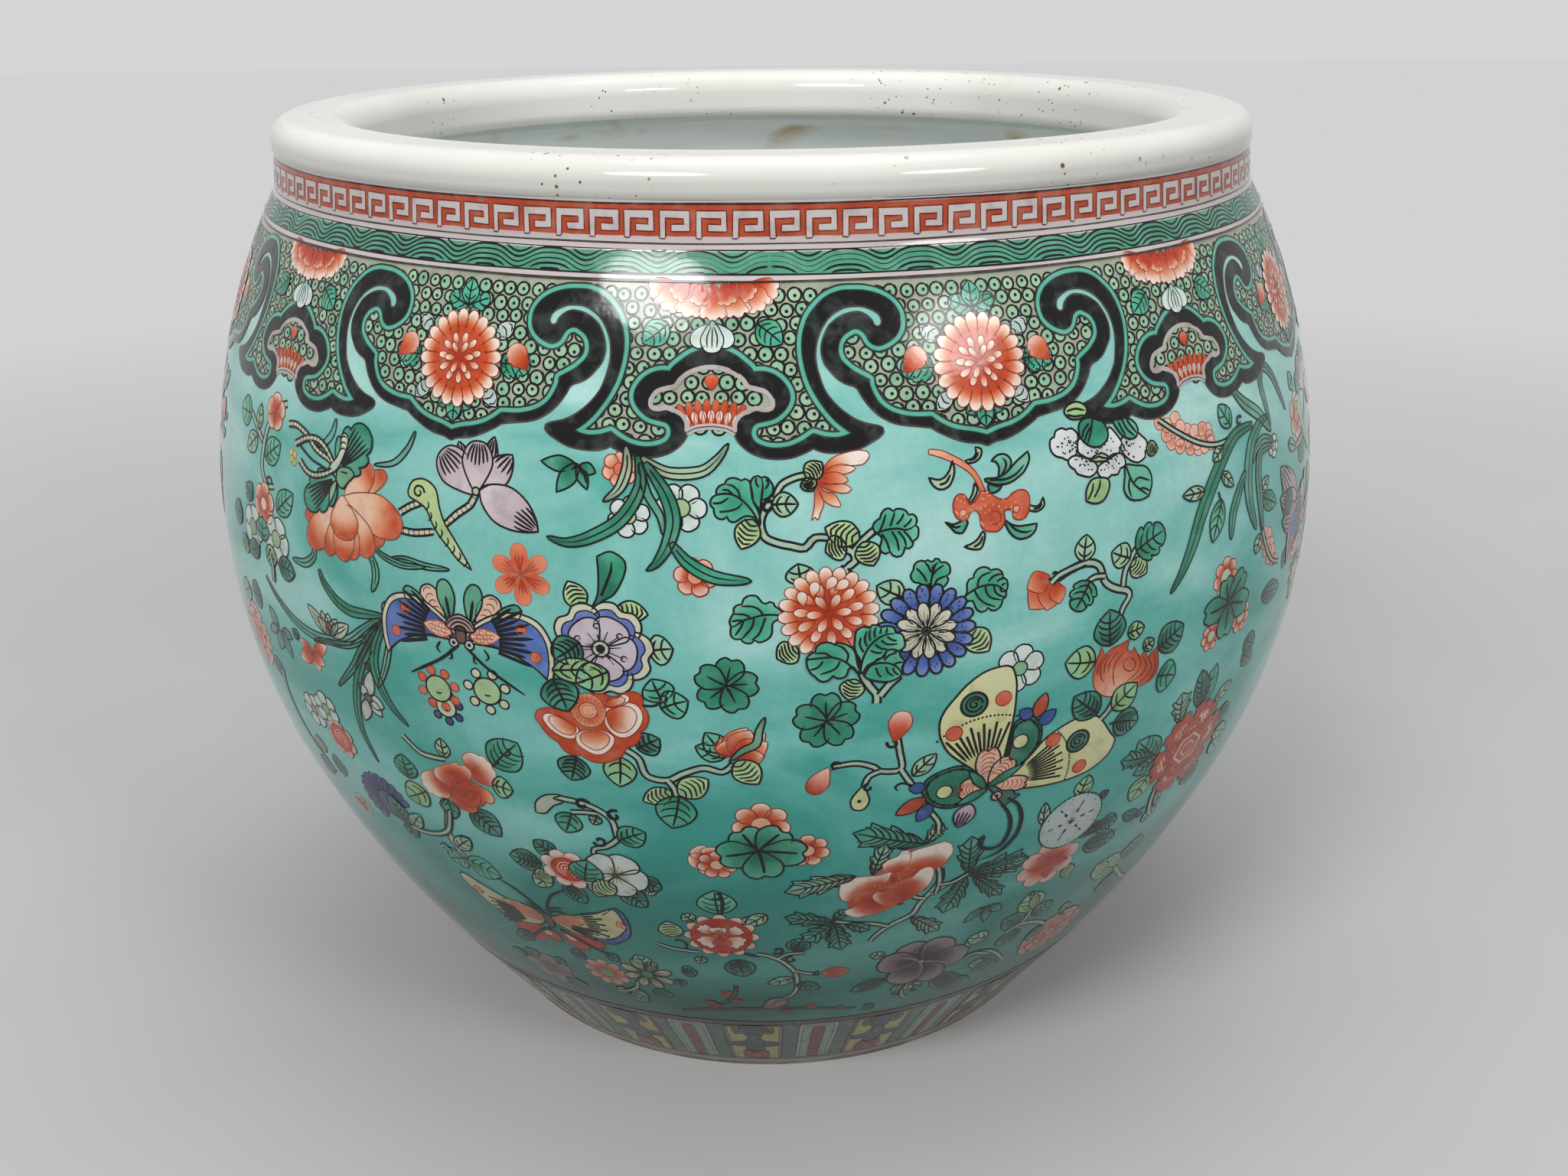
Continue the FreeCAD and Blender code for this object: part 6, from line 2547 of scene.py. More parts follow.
@motif("leaf_enamel", 11.1, 269)
def aster_leaves(p):
    """Leaves round the blue aster."""
    stem(p, [(-12.2, -30), (-12.2, -27), (-14.2, -24), (-16.4, -20), (-17.2, -17)], 1.7)
    stem(p, [(-11.2, -27.5), (-8.2, -23.5), (-5.2, -21)], 1.7)
    leaves(p, "pale", (-4.2, 5, 151, 9.2, 8))
    scalloped(
        p,
        [
            (3.4, 5.7), (5.7, 6.5), (8.2, 7.4), (9, 8.3), (9.5, 9.7), (9, 10.8, CORNER), (9.9, 11.4),
            (10.1, 12.9), (9.6, 14.4), (8.4, 15.2), (7.2, 15.2, CORNER), (6.5, 16.4), (5.6, 16.6),
            (4.9, 15.8, CORNER), (4.2, 15.7), (3.2, 16.4), (2.3, 16, CORNER), (1.1, 16.4), (0, 16.1),
            (-1, 14.9), (-1.2, 13.5, CORNER), (-1.6, 13.1), (-2.1, 11.9), (-1.8, 10.7), (-0.8, 9.6),
            (0.6, 9.3), (1.4, 8.4), (1.1, 7.4),
        ],
        (4.1, 10.6),
        (
            [(3.6, 6.2), (4.2, 9.8), (4.6, 11.7), (4.7, 14.6)], [(2.8, 9.4), (2, 11.3), (-0.3, 14.2)],
            [(4.2, 12.3), (3.4, 14.3), (2.4, 15.7)], [(4.4, 11), (5.8, 12.8), (8.1, 14.2)],
            [(4.8, 12.7), (5.5, 14.6), (6.4, 15.3)], [(5, 7.8), (6.2, 9.9), (8.9, 10.7)],
        ),
    )
    tendril(p, [(3.6, 9), (4, 6)], 1.2)
    scalloped(
        p,
        [
            (15, 1.5), (16.2, 1.8), (17.2, 1.5), (17.8, -0.1), (18.6, -1.6), (20, -2.5), (21.2, -2.2),
            (22.1, -1.3, CORNER), (23.1, -2.3), (24.6, -2.5), (25.7, -1.9), (26.5, -0.7),
            (26.7, 0.8, CORNER), (27.9, 1.6), (27.9, 3.2, CORNER), (28.4, 4.4), (28.5, 5.6), (28.2, 6.9),
            (26.9, 8, CORNER), (26.8, 9.3), (25.6, 10.7), (24.1, 11), (23, 10.8, CORNER), (21.9, 11.8),
            (20.4, 12.2), (18.8, 11.7), (17.6, 10.3), (17.4, 9.1, CORNER), (16.1, 8.8), (15.4, 7.7),
            (15.3, 6.2), (15.4, 4.9, CORNER), (14.5, 2.5),
        ],
        (21.5, 5),
        (
            [(13.6, 2.6), (15.7, 4.2), (18.8, 5.7), (21.8, 6.2), (24.9, 5.6), (26.5, 4.6), (27.9, 3.2)],
            [(18.7, 5.7), (18.9, 7.9), (20.3, 9.5), (23.1, 10.2)],
            [(22.3, 7.3), (23.4, 8.5), (25, 9.1), (26.5, 9.1)], [(24.9, 6.9), (25.9, 7.5), (27.3, 7.5)],
            [(26.5, 5.3), (27.1, 5.8), (27.9, 5.8)],
            [(17.7, 4.9), (18.8, 2.6), (20.9, 0.4), (24.5, -1.4)],
            [(21.2, 6), (21.5, 3.8), (23.1, 1.8), (26.2, 0.7)],
            [(24, 5.6), (24.3, 3.7), (25.9, 2.1), (27.6, 1.6)], [(25.9, 4.7), (26.5, 3.4), (27.6, 3.2)],
        ),
    )
    leaves(p, "striped", (15.8, -8, 310, 10.5, 8.5), (-18.7, -21, 254, 7.3, 7.5))


@motif("leaf_enamel", 6.5, 256, 40)
def aster_leaves_front(p):
    """Leaves over the lower edges of both flowers."""
    scalloped(
        p,
        [
            (0.9, -5.4), (2.1, -3.3), (4.6, -2.1), (6.2, -1.2), (7.7, 0.6), (10.6, 0.7), (12.2, 1.1),
            (13.3, 2.4), (13.1, 4.2, CORNER), (12.9, 5.2), (12.1, 6.5), (10.5, 6.9, CORNER), (9.9, 8.7),
            (8, 9.4), (6.2, 9.2, CORNER), (4.7, 10), (3.5, 10.1), (2.7, 9.1, CORNER), (1.2, 9.7),
            (-0.2, 9.3), (-1.3, 8.2), (-1.6, 6.1, CORNER), (-1.8, 3.7), (-1.3, 1.2), (-0.2, -1),
            (-0.1, -3.5), (0, -6),
        ],
        (4, 3.9),
        (
            [(0, -6), (0.6, -1.4), (2.4, 2.7), (4.9, 5.3), (7.7, 6.6), (10.2, 6.7)],
            [(0.9, 1.2), (-0.2, 3.9), (0.1, 6.3)], [(1.9, 3.1), (1.3, 5.5), (1.8, 8.3)],
            [(3, 4.9), (2.6, 6.8), (2.9, 8.7)], [(4.3, 5.8), (4.1, 7.8), (4.7, 9.3)],
            [(5.8, 6.9), (6.2, 9)], [(7.6, 7), (8, 9)], [(6.2, 4.8), (8, 3.3), (11, 3.2)],
            [(7.9, 5.9), (9.3, 4.7), (10.9, 4.2)], [(4.3, 3.6), (6.2, 2), (8.1, 1.7)],
            [(3, 1.6), (4.9, 0.7), (6.5, 0.7)],
        ),
    )
    scalloped(
        p,
        [
            (2.8, -8.1), (4.7, -8.8), (7.9, -9.4), (10.4, -8.9), (12.3, -7.5), (12.5, -4.6), (13.2, -2.9),
            (11.9, -1, CORNER), (11.7, 0.3), (9.9, 1.5), (7.7, 1.1), (7.1, -0.9), (4.9, -1.4),
            (3.7, -3.1), (1.8, -4.4), (1.1, -6.8),
        ],
        (6.2, -4.7),
        (
            [(1.1, -6.8), (2.8, -3.7), (5.6, -2.8), (8.7, -3.2), (11.3, -4.9), (12.3, -7.1)],
            [(7, -2), (8.7, -0.3), (10.9, 0.2)], [(10, -3.7), (11.3, -3.1), (12.8, -3.2)],
            [(4.6, -4.2), (5.3, -6.5), (6.3, -7.6)], [(7.6, -4.2), (8.4, -6.4), (10, -7.6)],
            [(9.7, -4.7), (10.3, -6.4), (11.6, -7.4)],
        ),
    )
    scalloped(
        p,
        [
            (-0.1, -5.3), (-0.9, -2.6), (-1.4, 0.6), (-2.2, 2.6), (-4.3, 4.2), (-6.6, 4.8),
            (-7.5, 4.2, CORNER), (-8.9, 5.1), (-11, 5.1), (-12.7, 4.1), (-13.3, 2.3, CORNER),
            (-14.8, 1.4), (-15.8, 0), (-15.7, -2, CORNER), (-15.4, -3.4), (-14.4, -5.2),
            (-13.4, -6, CORNER), (-12.7, -7), (-11, -8), (-9.2, -7.4), (-8.1, -6, CORNER), (-7.3, -6.8),
            (-5.6, -7.1), (-4.1, -6.2), (-3.5, -4.1), (-2.2, -3.4), (-0.9, -5.2),
        ],
        (-8.3, -0.4),
        (
            [(-15.8, -0.3), (-12, 0), (-8.3, 0.1), (-4.9, -1.3), (-2.4, -3.7), (-0.2, -6.8)],
            [(-8.4, 0.1), (-10.4, 1.6), (-13.5, 1.7)],
            [(-4.1, -1.6), (-3.6, 0.8), (-5.3, 3.3), (-7.2, 4.2)],
            [(-0.5, -2.4), (-0.7, -0.4), (-2, 2.1)], [(-11, -1), (-12.5, -3.1), (-15, -3.9)],
            [(-6, -1.3), (-7.4, -3.8), (-11.8, -5.5)],
        ),
    )


@motif("bloom_enamel", 19.8, 245)
def white_cloud_plum(p):
    """Pale outlined plum blossom with a green eye."""
    blossom(
        p, 0.7, 0, 8.4, 6, 80, [(0, (206, 222, 216)), (1, (232, 238, 232))], None, (130, 190, 140), 0.3,
    )


@motif("coral_enamel", 21.8, 269.5, 6)
def coral_bud_branch(p):
    """Coral bud at the end of a branch."""
    petals(
        p,
        (
            (3.7, 3.5, 225, 11.3, 11), (4.2, 3.5, 255, 9.8, 9), (2.7, 5.5, 201, 8.5, 8),
            (4.7, 3, 281, 7.6, 6),
        ),
        [(0, CORAL_DEEP), (0.5, CORAL), (1, (240, 170, 140))], POINTED, 0.35, RED_LINE,
    )
    stem(p, [(3.2, 3), (5.7, 5), (10.7, 6.5), (15.7, 7.5)], 1.3)
    curl(p, 4.2, 5.5, 200, 2.0, 0.9, 0.7)


@motif("leaf_enamel", 3.9, 233.5)
def clover_two(p):
    """Clover with five leaflets."""
    clover(p, -0.1, 0.3, 9.6, 5, 92, (42, 138, 106), True)


@motif("coral_enamel", -2.5, 224, 6)
def coral_flame(p):
    """Coral flower with a curled tip, right of the folded leaf."""
    petals(
        p,
        (
            (-5.1, -2.5, 95, 6, 8), (-4.1, -2.5, 60, 11, 9), (-3.6, -3, 29, 11.4, 9),
            (-3.1, -4, 10, 8.6, 7),
        ),
        CORAL_STOPS, OVAL, 0.35, RED_LINE,
    )
    p.up()
    blade(p, [(-4.6, -4), (-1.1, -0.5), (2.9, 2), (3.9, 7), (5.7, 11.8)], 2.6, (120, 170, 130), False)
    leaves(p, "striped", (-3.1, -4.5, 306, 11.1, 9))


@motif("leaf_enamel", 7.3, 218)
def bud_spray(p):
    """Slender spray with coral and pale buds."""
    stem(
        p,
        [
            (8.9, 7.5), (9.9, 2), (10.6, -4.8), (4.1, -4.8), (2.1, -3), (-2.9, -1), (-7.9, -1.2),
            (-11.4, -2),
        ],
        1.3,
    )
    stem(p, [(10.6, -4.8), (12.6, -8.5), (15.1, -12.5)], 1.3)
    stem(p, [(4.1, -4.8), (0.6, -6.5), (-0.9, -10.5)], 1.2)
    leaves(p, "pale", (14.6, -8, 48, 10.5, 6))
    tendril(p, [(15.1, -12.2), (11.1, -10.5), (9.1, -12), (10.1, -13.5)])
    p.up()
    petal(
        p, -1.1, -10.5, 263, 10.1, 6, [(0, YELLOW_GREEN), (0.5, STRAW), (1, (226, 224, 170))], ROUND, 0.5,
    )
    p.dot(-2.1, -16.5, 0.7, None, 1)
    curl(p, 7.6, 5.8, 160, 2.0, 0.9, 0.8)
    curl(p, -9.9, -1.5, 20, 1.8, 0.9, 0.7)
    curl(p, 0.6, -11, 90, 1.8, 0.9, 0.7)


@motif("coral_enamel", 6.5, 221, 6)
def spray_buds(p):
    """The two coral buds of the slender spray."""
    p.up()
    pale = [(0, CORAL_DEEP), (0.5, (222, 96, 66)), (0.8, (240, 170, 150)), (1, (248, 214, 200))]
    petal(p, 11.1, 3.5, 77, 11.3, 7.5, pale, ROUND, 0.35, RED_LINE)
    petal(
        p, -9.1, -5, 243, 11.5, 7, [(0, (248, 214, 200)), (0.4, (240, 170, 150)), (1, CORAL_DEEP)], ROUND,
        0.35, RED_LINE,
    )


@motif("leaf_enamel", -1.7, 181, 16)
def big_clover(p):
    """Big clover leaf."""
    shade = [(0, (20, 92, 76)), (0.55, (46, 140, 110)), (1, (84, 180, 150))]
    for place in (
        (-0.1, 0, 122, 11.2, 12), (-0.1, 0, 193, 13.3, 13), (-0.1, 0, 50, 12.4, 12),
        (-0.1, 0, 354, 15.1, 12.5), (-0.1, 0, 279, 13.2, 13.5),
    ):
        p.up()
        spine = petal(p, *place, shade, HEART, 0.55)
        p.line(spine.track([(0, 0), (0.4, 0.2), (0.84, 0)]), 0.9, None, (1, 0.6), 0.4)


@motif("coral_enamel", -1.7, 185)
def clover_flowers(p):
    """Coral flowers behind the big clover."""
    for x, y, radius in ((0.9, 8, 9.6), (15.7, -4.5, 7.6), (-14.1, -11.2, 6.8)):
        blossom(p, x, y, radius, 7, 90, WHITE_TIP, RED_LINE, (240, 180, 150), 0.34)


@motif("bloom_enamel", 18, 202, 10)
def yellow_butterfly(p):
    """Large butterfly with straw coloured wings."""
    for part in (yellow_hind_wings, yellow_fore_wings, yellow_body):
        part(p)


def yellow_hind_wings(p):
    """Deep green hind wings with a dotted edge, an eye and small tails."""
    deep = [(0, (28, 104, 84)), (0.7, (46, 134, 106)), (1, (40, 120, 96))]
    p.up()
    left_hind = smooth(
        [
            (-1.6, -2), (-5.1, -6), (-11.1, -8), (-16.6, -6.5), (-20.6, -3), (-22.1, 2), (-20.6, 6),
            (-16.1, 8.5), (-10.1, 9.5), (-4.6, 7), (-2.1, 1.5),
        ],
        True, 1.2,
    )
    right_hind = smooth(
        [
            (8.4, 2), (11.9, 5), (14.9, 8.5), (17.1, 13), (16.9, 19.5), (12.9, 24.5), (8.4, 24),
            (6.4, 21.5), (5.9, 13), (5.4, 4),
        ],
        True, 1.2,
    )
    for outline, centre in ((left_hind, (-12.1, 0.5,)), (right_hind, (10.9, 14,))):
        p.field(outline, graded(*centre, 12, deep), 2.4, 0.6)
        inner = np.array(centre) + (outline - np.array(centre)) * 0.86
        p.line(np.concatenate([inner, inner[:1]]), 0.6, None, (1, 1), 0.2)
        for place in inner[::4]:
            p.dot(*place, 0.75, None, 0.3)
    for x, y in ((-14.6, -0.5), (9.9, 15.2)):
        p.up()
        p.field(circle(x, y, 2.7), STRAW, 2.4, 0.4)
    for place, tint in (
        ((-21.1, 2.5, 175, 5.5, 4.5), BLUE), ((-20.6, -2, 212, 11.2, 5.5), (206, 78, 46)),
        ((-18.6, -5, 240, 8.1, 5), BLUE), ((12.9, 24, 142, 5.7, 4.5), BLUE),
        ((14.4, 23.5, 71, 9.2, 5), (206, 78, 46)), ((15.9, 20.5, 38, 7.3, 5), BLUE),
    ):
        petal(p, *place, [(0, darker(tint, 0.2)), (1, tint)], OVAL, 0.4)


def yellow_fore_wings(p):
    """Straw coloured fore wings with rays, dots, green eyes and coral spots."""
    straw = [(0, (206, 210, 150)), (0.6, (222, 220, 160)), (1, (226, 224, 176))]
    upper = smooth(
        [
            (3.4, 3, CORNER), (4.7, 11), (5.4, 17), (6.4, 25), (6.7, 32), (6.4, 39), (4.4, 44.2),
            (-0.1, 44.8), (-5.1, 43.5), (-10.1, 40), (-13.6, 36), (-16.6, 32), (-18.1, 28), (-17.9, 23),
            (-16.3, 18.5), (-14.1, 15), (-11.1, 12), (-6.1, 7.5), (-1.6, 3, CORNER),
        ],
        True, 1.4,
    )
    lower = smooth(
        [
            (8.9, -4, CORNER), (15.9, -5.5), (24.9, -6.4), (34.9, -6), (41.9, -4), (46.9, 0), (48.4, 5.5),
            (46.1, 8.5), (42.9, 13), (39.9, 16.8), (35.9, 19), (30.4, 19.2), (24.9, 17.5), (18.9, 14),
            (13.9, 8), (8.4, 3), (2.4, -1.5, CORNER),
        ],
        True, 1.4,
    )
    for outline in (upper, lower):
        p.up()
        p.field(outline, graded(-0.1, -1, 46, straw), 2.8, 0.55)
    for pivot, way, spread, near, far in (
        ((-1.6, 3, 0, 0, 1), 101, 58, 10, 22), ((5.9, -1, 0, 0, 1), 16, 46, 9, 22),
    ):
        starts, ends = fan((0, 0), near, far, way - spread / 2, way + spread / 2, 11)
        rays(p, pivot[0], pivot[1], ends, starts, 0.72)
        for k in range(22):
            way_round = math.radians(way - spread / 2 - 4 + (spread + 8) * k / 21)
            x, y = (far + 2.4) * math.cos(way_round), (far + 2.4) * math.sin(way_round)
            p.dot(pivot[0] + x, pivot[1] + y, 0.42)
    for x, y in ((-7.3, 32.7), (32.1, 9.7)):
        p.up()
        p.field(circle(x, y, 4.3), (52, 124, 96), 2.4, 0.7)
        p.line(circle(x, y, 2.7), 0.6, None, (1, 1), 0.3)
        curl(p, x, y, 40, 1.9, 1.2, 0.6)
    p.up()
    for x, y in ((-13.3, 22.8), (2.4, 33.2), (22.1, 12.8), (34.9, -1.7)):
        p.field(circle(x, y, 2.7), (222, 104, 72), 2.4, 0.4, RED_LINE)


def yellow_body(p):
    """Peach lobes round the body, its head and two feelers."""
    peach = [(0, (236, 170, 140)), (0.6, (240, 196, 170)), (1, (236, 176, 150))]
    for place in (
        (-0.1, 0, 94, 14.5, 8.5), (0.4, 0, 52, 11.4, 8), (-0.6, -1, 177, 8.7, 9),
        (1.4, -1, 353, 13.1, 6.5),
    ):
        p.up()
        spine = petal(p, *place, peach, HEART, 0.5)
        for k in range(6):
            arcs(p, *spine.at(0.2 + 0.13 * k), place[2], 1, place[4] * 0.3, 0, 68, 0.4, (160, 70, 46))
    leaves(p, "slim", (-0.6, -1.5, 127, 10.7, 3.4), (0.4, -1, 30, 13.9, 3.4), (-0.1, -2, 207, 11.2, 3.6))
    p.up()
    spine = petal(p, -5.1, -7.5, 253, 10.4, 7.5, [(0, (206, 186, 200)), (1, (176, 150, 170))], OVAL, 0.5)
    tip_veins(p, spine, 7, 4, 0.3)
    body = smooth(
        [
            (2.9, -1.5), (5.9, -4), (9.9, -4.8), (10.9, -7), (12.9, -7.5), (9.9, -9.5), (7.4, -11.5),
            (5.9, -9), (2.4, -4), (0.4, -1),
        ],
        True, 1.0,
    )
    p.field(body, (60, 108, 96), 2.0, 0.5)
    p.field(circle(4.1, -6, 1.9), (206, 160, 160), 2, 0.5, None, 0.8)
    p.dot(4.1, -6, 0.7, None, 1.6)
    p.line(
        smooth(
            [
                (6.4, -10), (9.9, -15), (11.9, -21), (11.7, -27), (9.9, -31), (5.9, -31.5), (2.4, -29.5),
                (1.4, -26), (2.9, -24.2),
            ],
            False, 1.2,
        ),
        1.2, None, (0.6, 1),
    )
    p.line(
        smooth(
            [(8.4, -8), (12.9, -12), (15.7, -19), (15.4, -27), (11.9, -33), (7.9, -35.5), (2.9, -36.5)],
            False, 1.2,
        ),
        1.2, None, (0.6, 0.3),
    )


@motif("coral_enamel", 11.6, 165, 12)
def tilted_peony(p):
    """Large coral peony tilted to the upper right."""
    tilted_peony_petals(p)
    tilted_peony_stamens(p)


def tilted_peony_petals(p):
    """Deep ground of the flower and the petals on it."""
    base = [
        (-15.6, -22.2), (-4.6, -20.5), (4.3, -15.1), (9.4, -9.2), (10.4, -1.6), (15.3, 4.7), (14.3, 11),
        (6.4, 11.8), (-2.5, 10.5), (-8.6, 2.3), (-14, -0.1), (-21.3, -4.6), (-19.3, -13),
    ]
    shape(p, base, (204, 84, 46), 0, step=1.1)
    rose = [(0, CORAL_DEEP), (0.5, (200, 70, 34)), (0.72, (218, 110, 72)), (0.88, BLUSH), (1, PINK_MILK)]
    for control, middle, reach in (
        (
            [
                (-1.7, 10.4), (-2.5, 7.5), (-1.7, 3.2), (1.1, 0.5), (4.2, 1.1), (9.3, 0.6), (13, 0.5),
                (14.8, 4), (16.1, 7.6), (14.9, 11.7), (12.1, 13.5, CORNER), (7.7, 12.5), (2.9, 11.5),
                (0, 10.1),
            ],
            (6.7, -4), 13.5,
        ),
        (
            [
                (-5.2, 0.1), (-1.8, 1.1), (0.6, 4.6), (1, 8.8), (-0.2, 11.6), (-2.5, 11.5, CORNER),
                (-3.8, 9.2), (-6.4, 8.2), (-8.6, 6, CORNER), (-7.8, 2.1),
            ],
            (-2.5, -2.1), 10,
        ),
        (
            [
                (-18.9, -13.1), (-15.6, -10), (-10.8, -8.4), (-6.5, -4.6), (-5, 1.1), (-9.1, 0.4),
                (-14, 0.5), (-17.5, 0.4, CORNER), (-19.4, -1.7), (-22.4, -2.8, CORNER), (-22.6, -7.9),
                (-21.4, -11.5),
            ],
            (-9.7, -12.2), 12.5,
        ),
        (
            [
                (-15.5, -23.2), (-11.8, -22.8), (-6, -21.4), (-1.3, -17.7), (-5.2, -16), (-10, -8.6),
                (-13.3, -7.4), (-16.6, -11), (-17.4, -12.1, CORNER), (-15.4, -14.8), (-17.2, -17),
                (-19.9, -18.4, CORNER), (-19.3, -20.6),
            ],
            (-8, -13.6), 12.0,
        ),
        (
            [
                (-8.8, -8.8), (-10.5, -11.4), (-8.7, -14.7), (-5, -17.9), (-0.5, -17.6), (3.2, -15.1),
                (6.3, -13.2), (9.4, -9.2), (10.6, -5), (10.4, -0.5), (8.5, 1.6), (5.4, 0.7), (2.6, -3.1),
                (-2.2, -4.9), (-3.8, -9.7),
            ],
            (0.1, -11.7), 11.0,
        ),
    ):
        shape(p, control, graded(*middle, reach, rose), 0.36, (190, 96, 70))


def tilted_peony_stamens(p):
    """Stamens in a flat ring, and folds in three of the petals."""
    p.up()
    x, y = -6.3, -3
    for k in range(24):
        way = math.radians(15 * k)
        near, far = 1.4 + 0.4 * (k % 2), 4.2 + 0.8 * (k % 2)
        c, s = math.cos(way), 0.72 * math.sin(way)
        p.line([(x + near * c, y + near * s), (x + far * c, y + far * s)], 0.3, (150, 52, 30))
        p.dot(x + (far + 0.3) * c, y + (far + 0.3) * s, 0.22, (236, 176, 140))
    for fold in (
        [(-8.2, -8.9), (-4, -7.9), (-0.1, -9.9)], [(-3, -4.2), (1.7, -1.8), (4.9, 1.3)],
        [(-14.3, -12.6), (-10.5, -14.4), (-6.5, -17.6)],
    ):
        p.line(smooth(fold, False, 0.9), 0.4, (166, 58, 34), above=0.5)


@motif("leaf_enamel", 12.7, 175)
def peony_leaves(p):
    """Toothed leaves and stem round the tilted peony."""
    leaves(p, "toothed", (1.3, 3.5, 160, 26.6, 11.5))
    leaves(
        p, "pale_toothed", (1.8, 3.5, 63, 10.1, 6), (-15.7, -9, 77, 15.4, 6.5), (-21.7, -9, 196, 25, 10),
    )
    leaves(p, "toothed", (20.3, -16, 97, 19.7, 9.5), (19.8, -17, 3, 25, 13))
    stem(p, [(-1.2, 22), (1.8, 18), (4.8, 13), (5.3, 8)], 1.2)
    stem(p, [(6.8, -7), (8.8, -13), (9.8, -20), (9.3, -25)], 1.3)
    stem(p, [(9.8, -20), (14.8, -20), (20.3, -16.5)], 1.1)


@motif("bloom_enamel", -24.7, 128, 6)
def low_butterfly(p):
    """Flat butterfly with ray marked wings, low on the left."""
    for part in (low_hind_wings, low_fore_wings, low_wing_marks, low_body):
        part(p)


def low_hind_wings(p):
    """Coral lobes and one violet lobe behind the wings."""
    coral = [(0, (190, 60, 34)), (0.7, (206, 84, 52)), (1, (196, 70, 44))]
    p.up()
    petals(
        p,
        (
            (-4.9, -8, 208, 17, 9), (-2.9, -9, 222, 14.9, 8), (-1.9, -8.5, 270, 8.5, 7),
            (3.1, -8, 311, 13.8, 9), (4.1, -8, 344, 17.7, 9),
        ),
        coral, WAVY, 0.4, RED_LINE, rise=0,
    )
    p.up()
    petals(
        p, ((-2.9, -9.5, 243, 4.5, 4), (4.1, -8.5, 318, 6.7, 4)),
        [(0, (240, 190, 160)), (1, (244, 214, 190))], ROUND, 0.3, RED_LINE, rise=0,
    )
    violet = smooth(
        [
            (25.1, -5), (17.1, -8), (21.1, -9.5), (26.1, -10), (30.1, -7), (34.1, -3), (35.9, 4),
            (35.1, 12), (32.1, 15.8), (29.1, 13), (25.1, 8),
        ],
        True, 1.2,
    )
    p.field(violet, graded(32.1, 2, 14, [(0, (110, 130, 180)), (1, BLUE)]), 2.6, 0.5)


def low_fore_wings(p):
    """Cream wings with rays."""
    p.up()
    cream = [(0, (170, 186, 130)), (0.6, (212, 210, 160)), (1, (222, 214, 170))]
    right = smooth(
        [
            (1.9, -1.5, CORNER), (5.1, -4), (11.1, -7.5), (18.1, -8.2), (24.1, -7), (29.1, -4),
            (31.6, -1), (34.1, 3), (33.6, 9), (31.1, 14.8), (24.1, 10.8), (16.1, 7.2), (8.1, 4.2),
            (1.6, 1.5, CORNER),
        ],
        True, 1.3,
    )
    left = smooth(
        [
            (-0.9, 1.5, CORNER), (-5.9, 2.5), (-13.9, 5), (-20.9, 8), (-27.9, 11.5), (-33.9, 14.5),
            (-36.9, 13), (-36.4, 9), (-32.9, 4), (-29.4, -1.5), (-24.9, -5.5), (-19.9, -8), (-11.9, -8.2),
            (-4.9, -6), (-0.9, -1, CORNER),
        ],
        True, 1.3,
    )
    for outline in (right, left):
        p.field(outline, graded(0.1, 0, 34, cream), 2.8, 0.55)
    starts, ends = fan((0, 0), 17, 26, -12, 22, 9)
    rays(p, 0, 1, ends, starts, 0.9)
    starts, ends = fan((0, 0), 10, 22, -30, -10, 7)
    rays(p, 0, 1, ends, starts, 0.7)
    starts, ends = fan((0, 0), 13, 27, 176, 208, 13)
    rays(p, 0, 1, ends, starts, 0.8)


def low_wing_marks(p):
    """Peach fields with small rings, and a striped spot at each wing tip."""
    p.up()
    for place in ((3.1, -0.5, 17, 15.7, 7.5), (-0.9, -1.5, 161, 20.1, 8.5)):
        spine = petal(p, *place, [(0, (222, 130, 96)), (1, (236, 176, 150))], OVAL, 0.4, RED_LINE)
        for k in range(7):
            for row in (-1, 1):
                p.line(
                    circle(*spine.at(0.16 + 0.1 * k, row * 1.3), 0.9, 8), 0.3, (180, 80, 50), (1, 1), 0.4,
                )
    for place in ((30.6, 4, 30, 4, 5), (-32.9, 7, 333, 4.5, 5)):
        spine = petal(p, *place, [(0, (236, 150, 120)), (1, (244, 190, 160))], ROUND, 0.4, RED_LINE)
        for k in range(3):
            arcs(p, *spine.at(0.3 + 0.25 * k), place[2], 1, 1.4, 0, 65, 0.4, RED_LINE)


def low_body(p):
    """Dark body with feelers, legs and two leaves at its foot."""
    shape(
        p, [(-1.9, -2), (-0.9, -7), (0.6, -7), (2.1, -2), (1.6, 2.5), (-1.4, 2.5)], (90, 70, 64),
        grain=2.0, step=1.0,
    )
    p.line(
        smooth([(-0.9, 4.5), (-4.9, 10), (-9.9, 15.5), (-15.9, 19.5)], False, 1.2), 1.0, None, (1, 0.4),
    )
    p.line(smooth([(1.3, 5), (3.1, 10), (7.1, 17), (13.1, 21.5)], False, 1.2), 1.0, None, (1, 0.4))
    for control in (
        [(-0.4, 3.5), (-2.9, 6), (-7.9, 8)], [(-1.4, 4), (-5.9, 5), (-10.4, 6)],
        [(2.1, 4), (5.1, 6), (10.1, 6.5)], [(1.6, 5), (4.6, 8), (9.1, 9)],
    ):
        tendril(p, control, 0.7)
    p.line(smooth([(-1.9, -8), (-6.9, -11), (-12.9, -17), (-17.9, -22)], False, 1.2), 1.4, None, (1, 0.8))
    p.line(smooth([(3.1, -7), (8.1, -10), (15.1, -15), (21.1, -19)], False, 1.2), 1.4, None, (1, 0.8))
    p.up()
    leaves(p, "deep", (-13.9, -16, 218, 13.9, 7), (20.6, -19, 318, 6, 6))


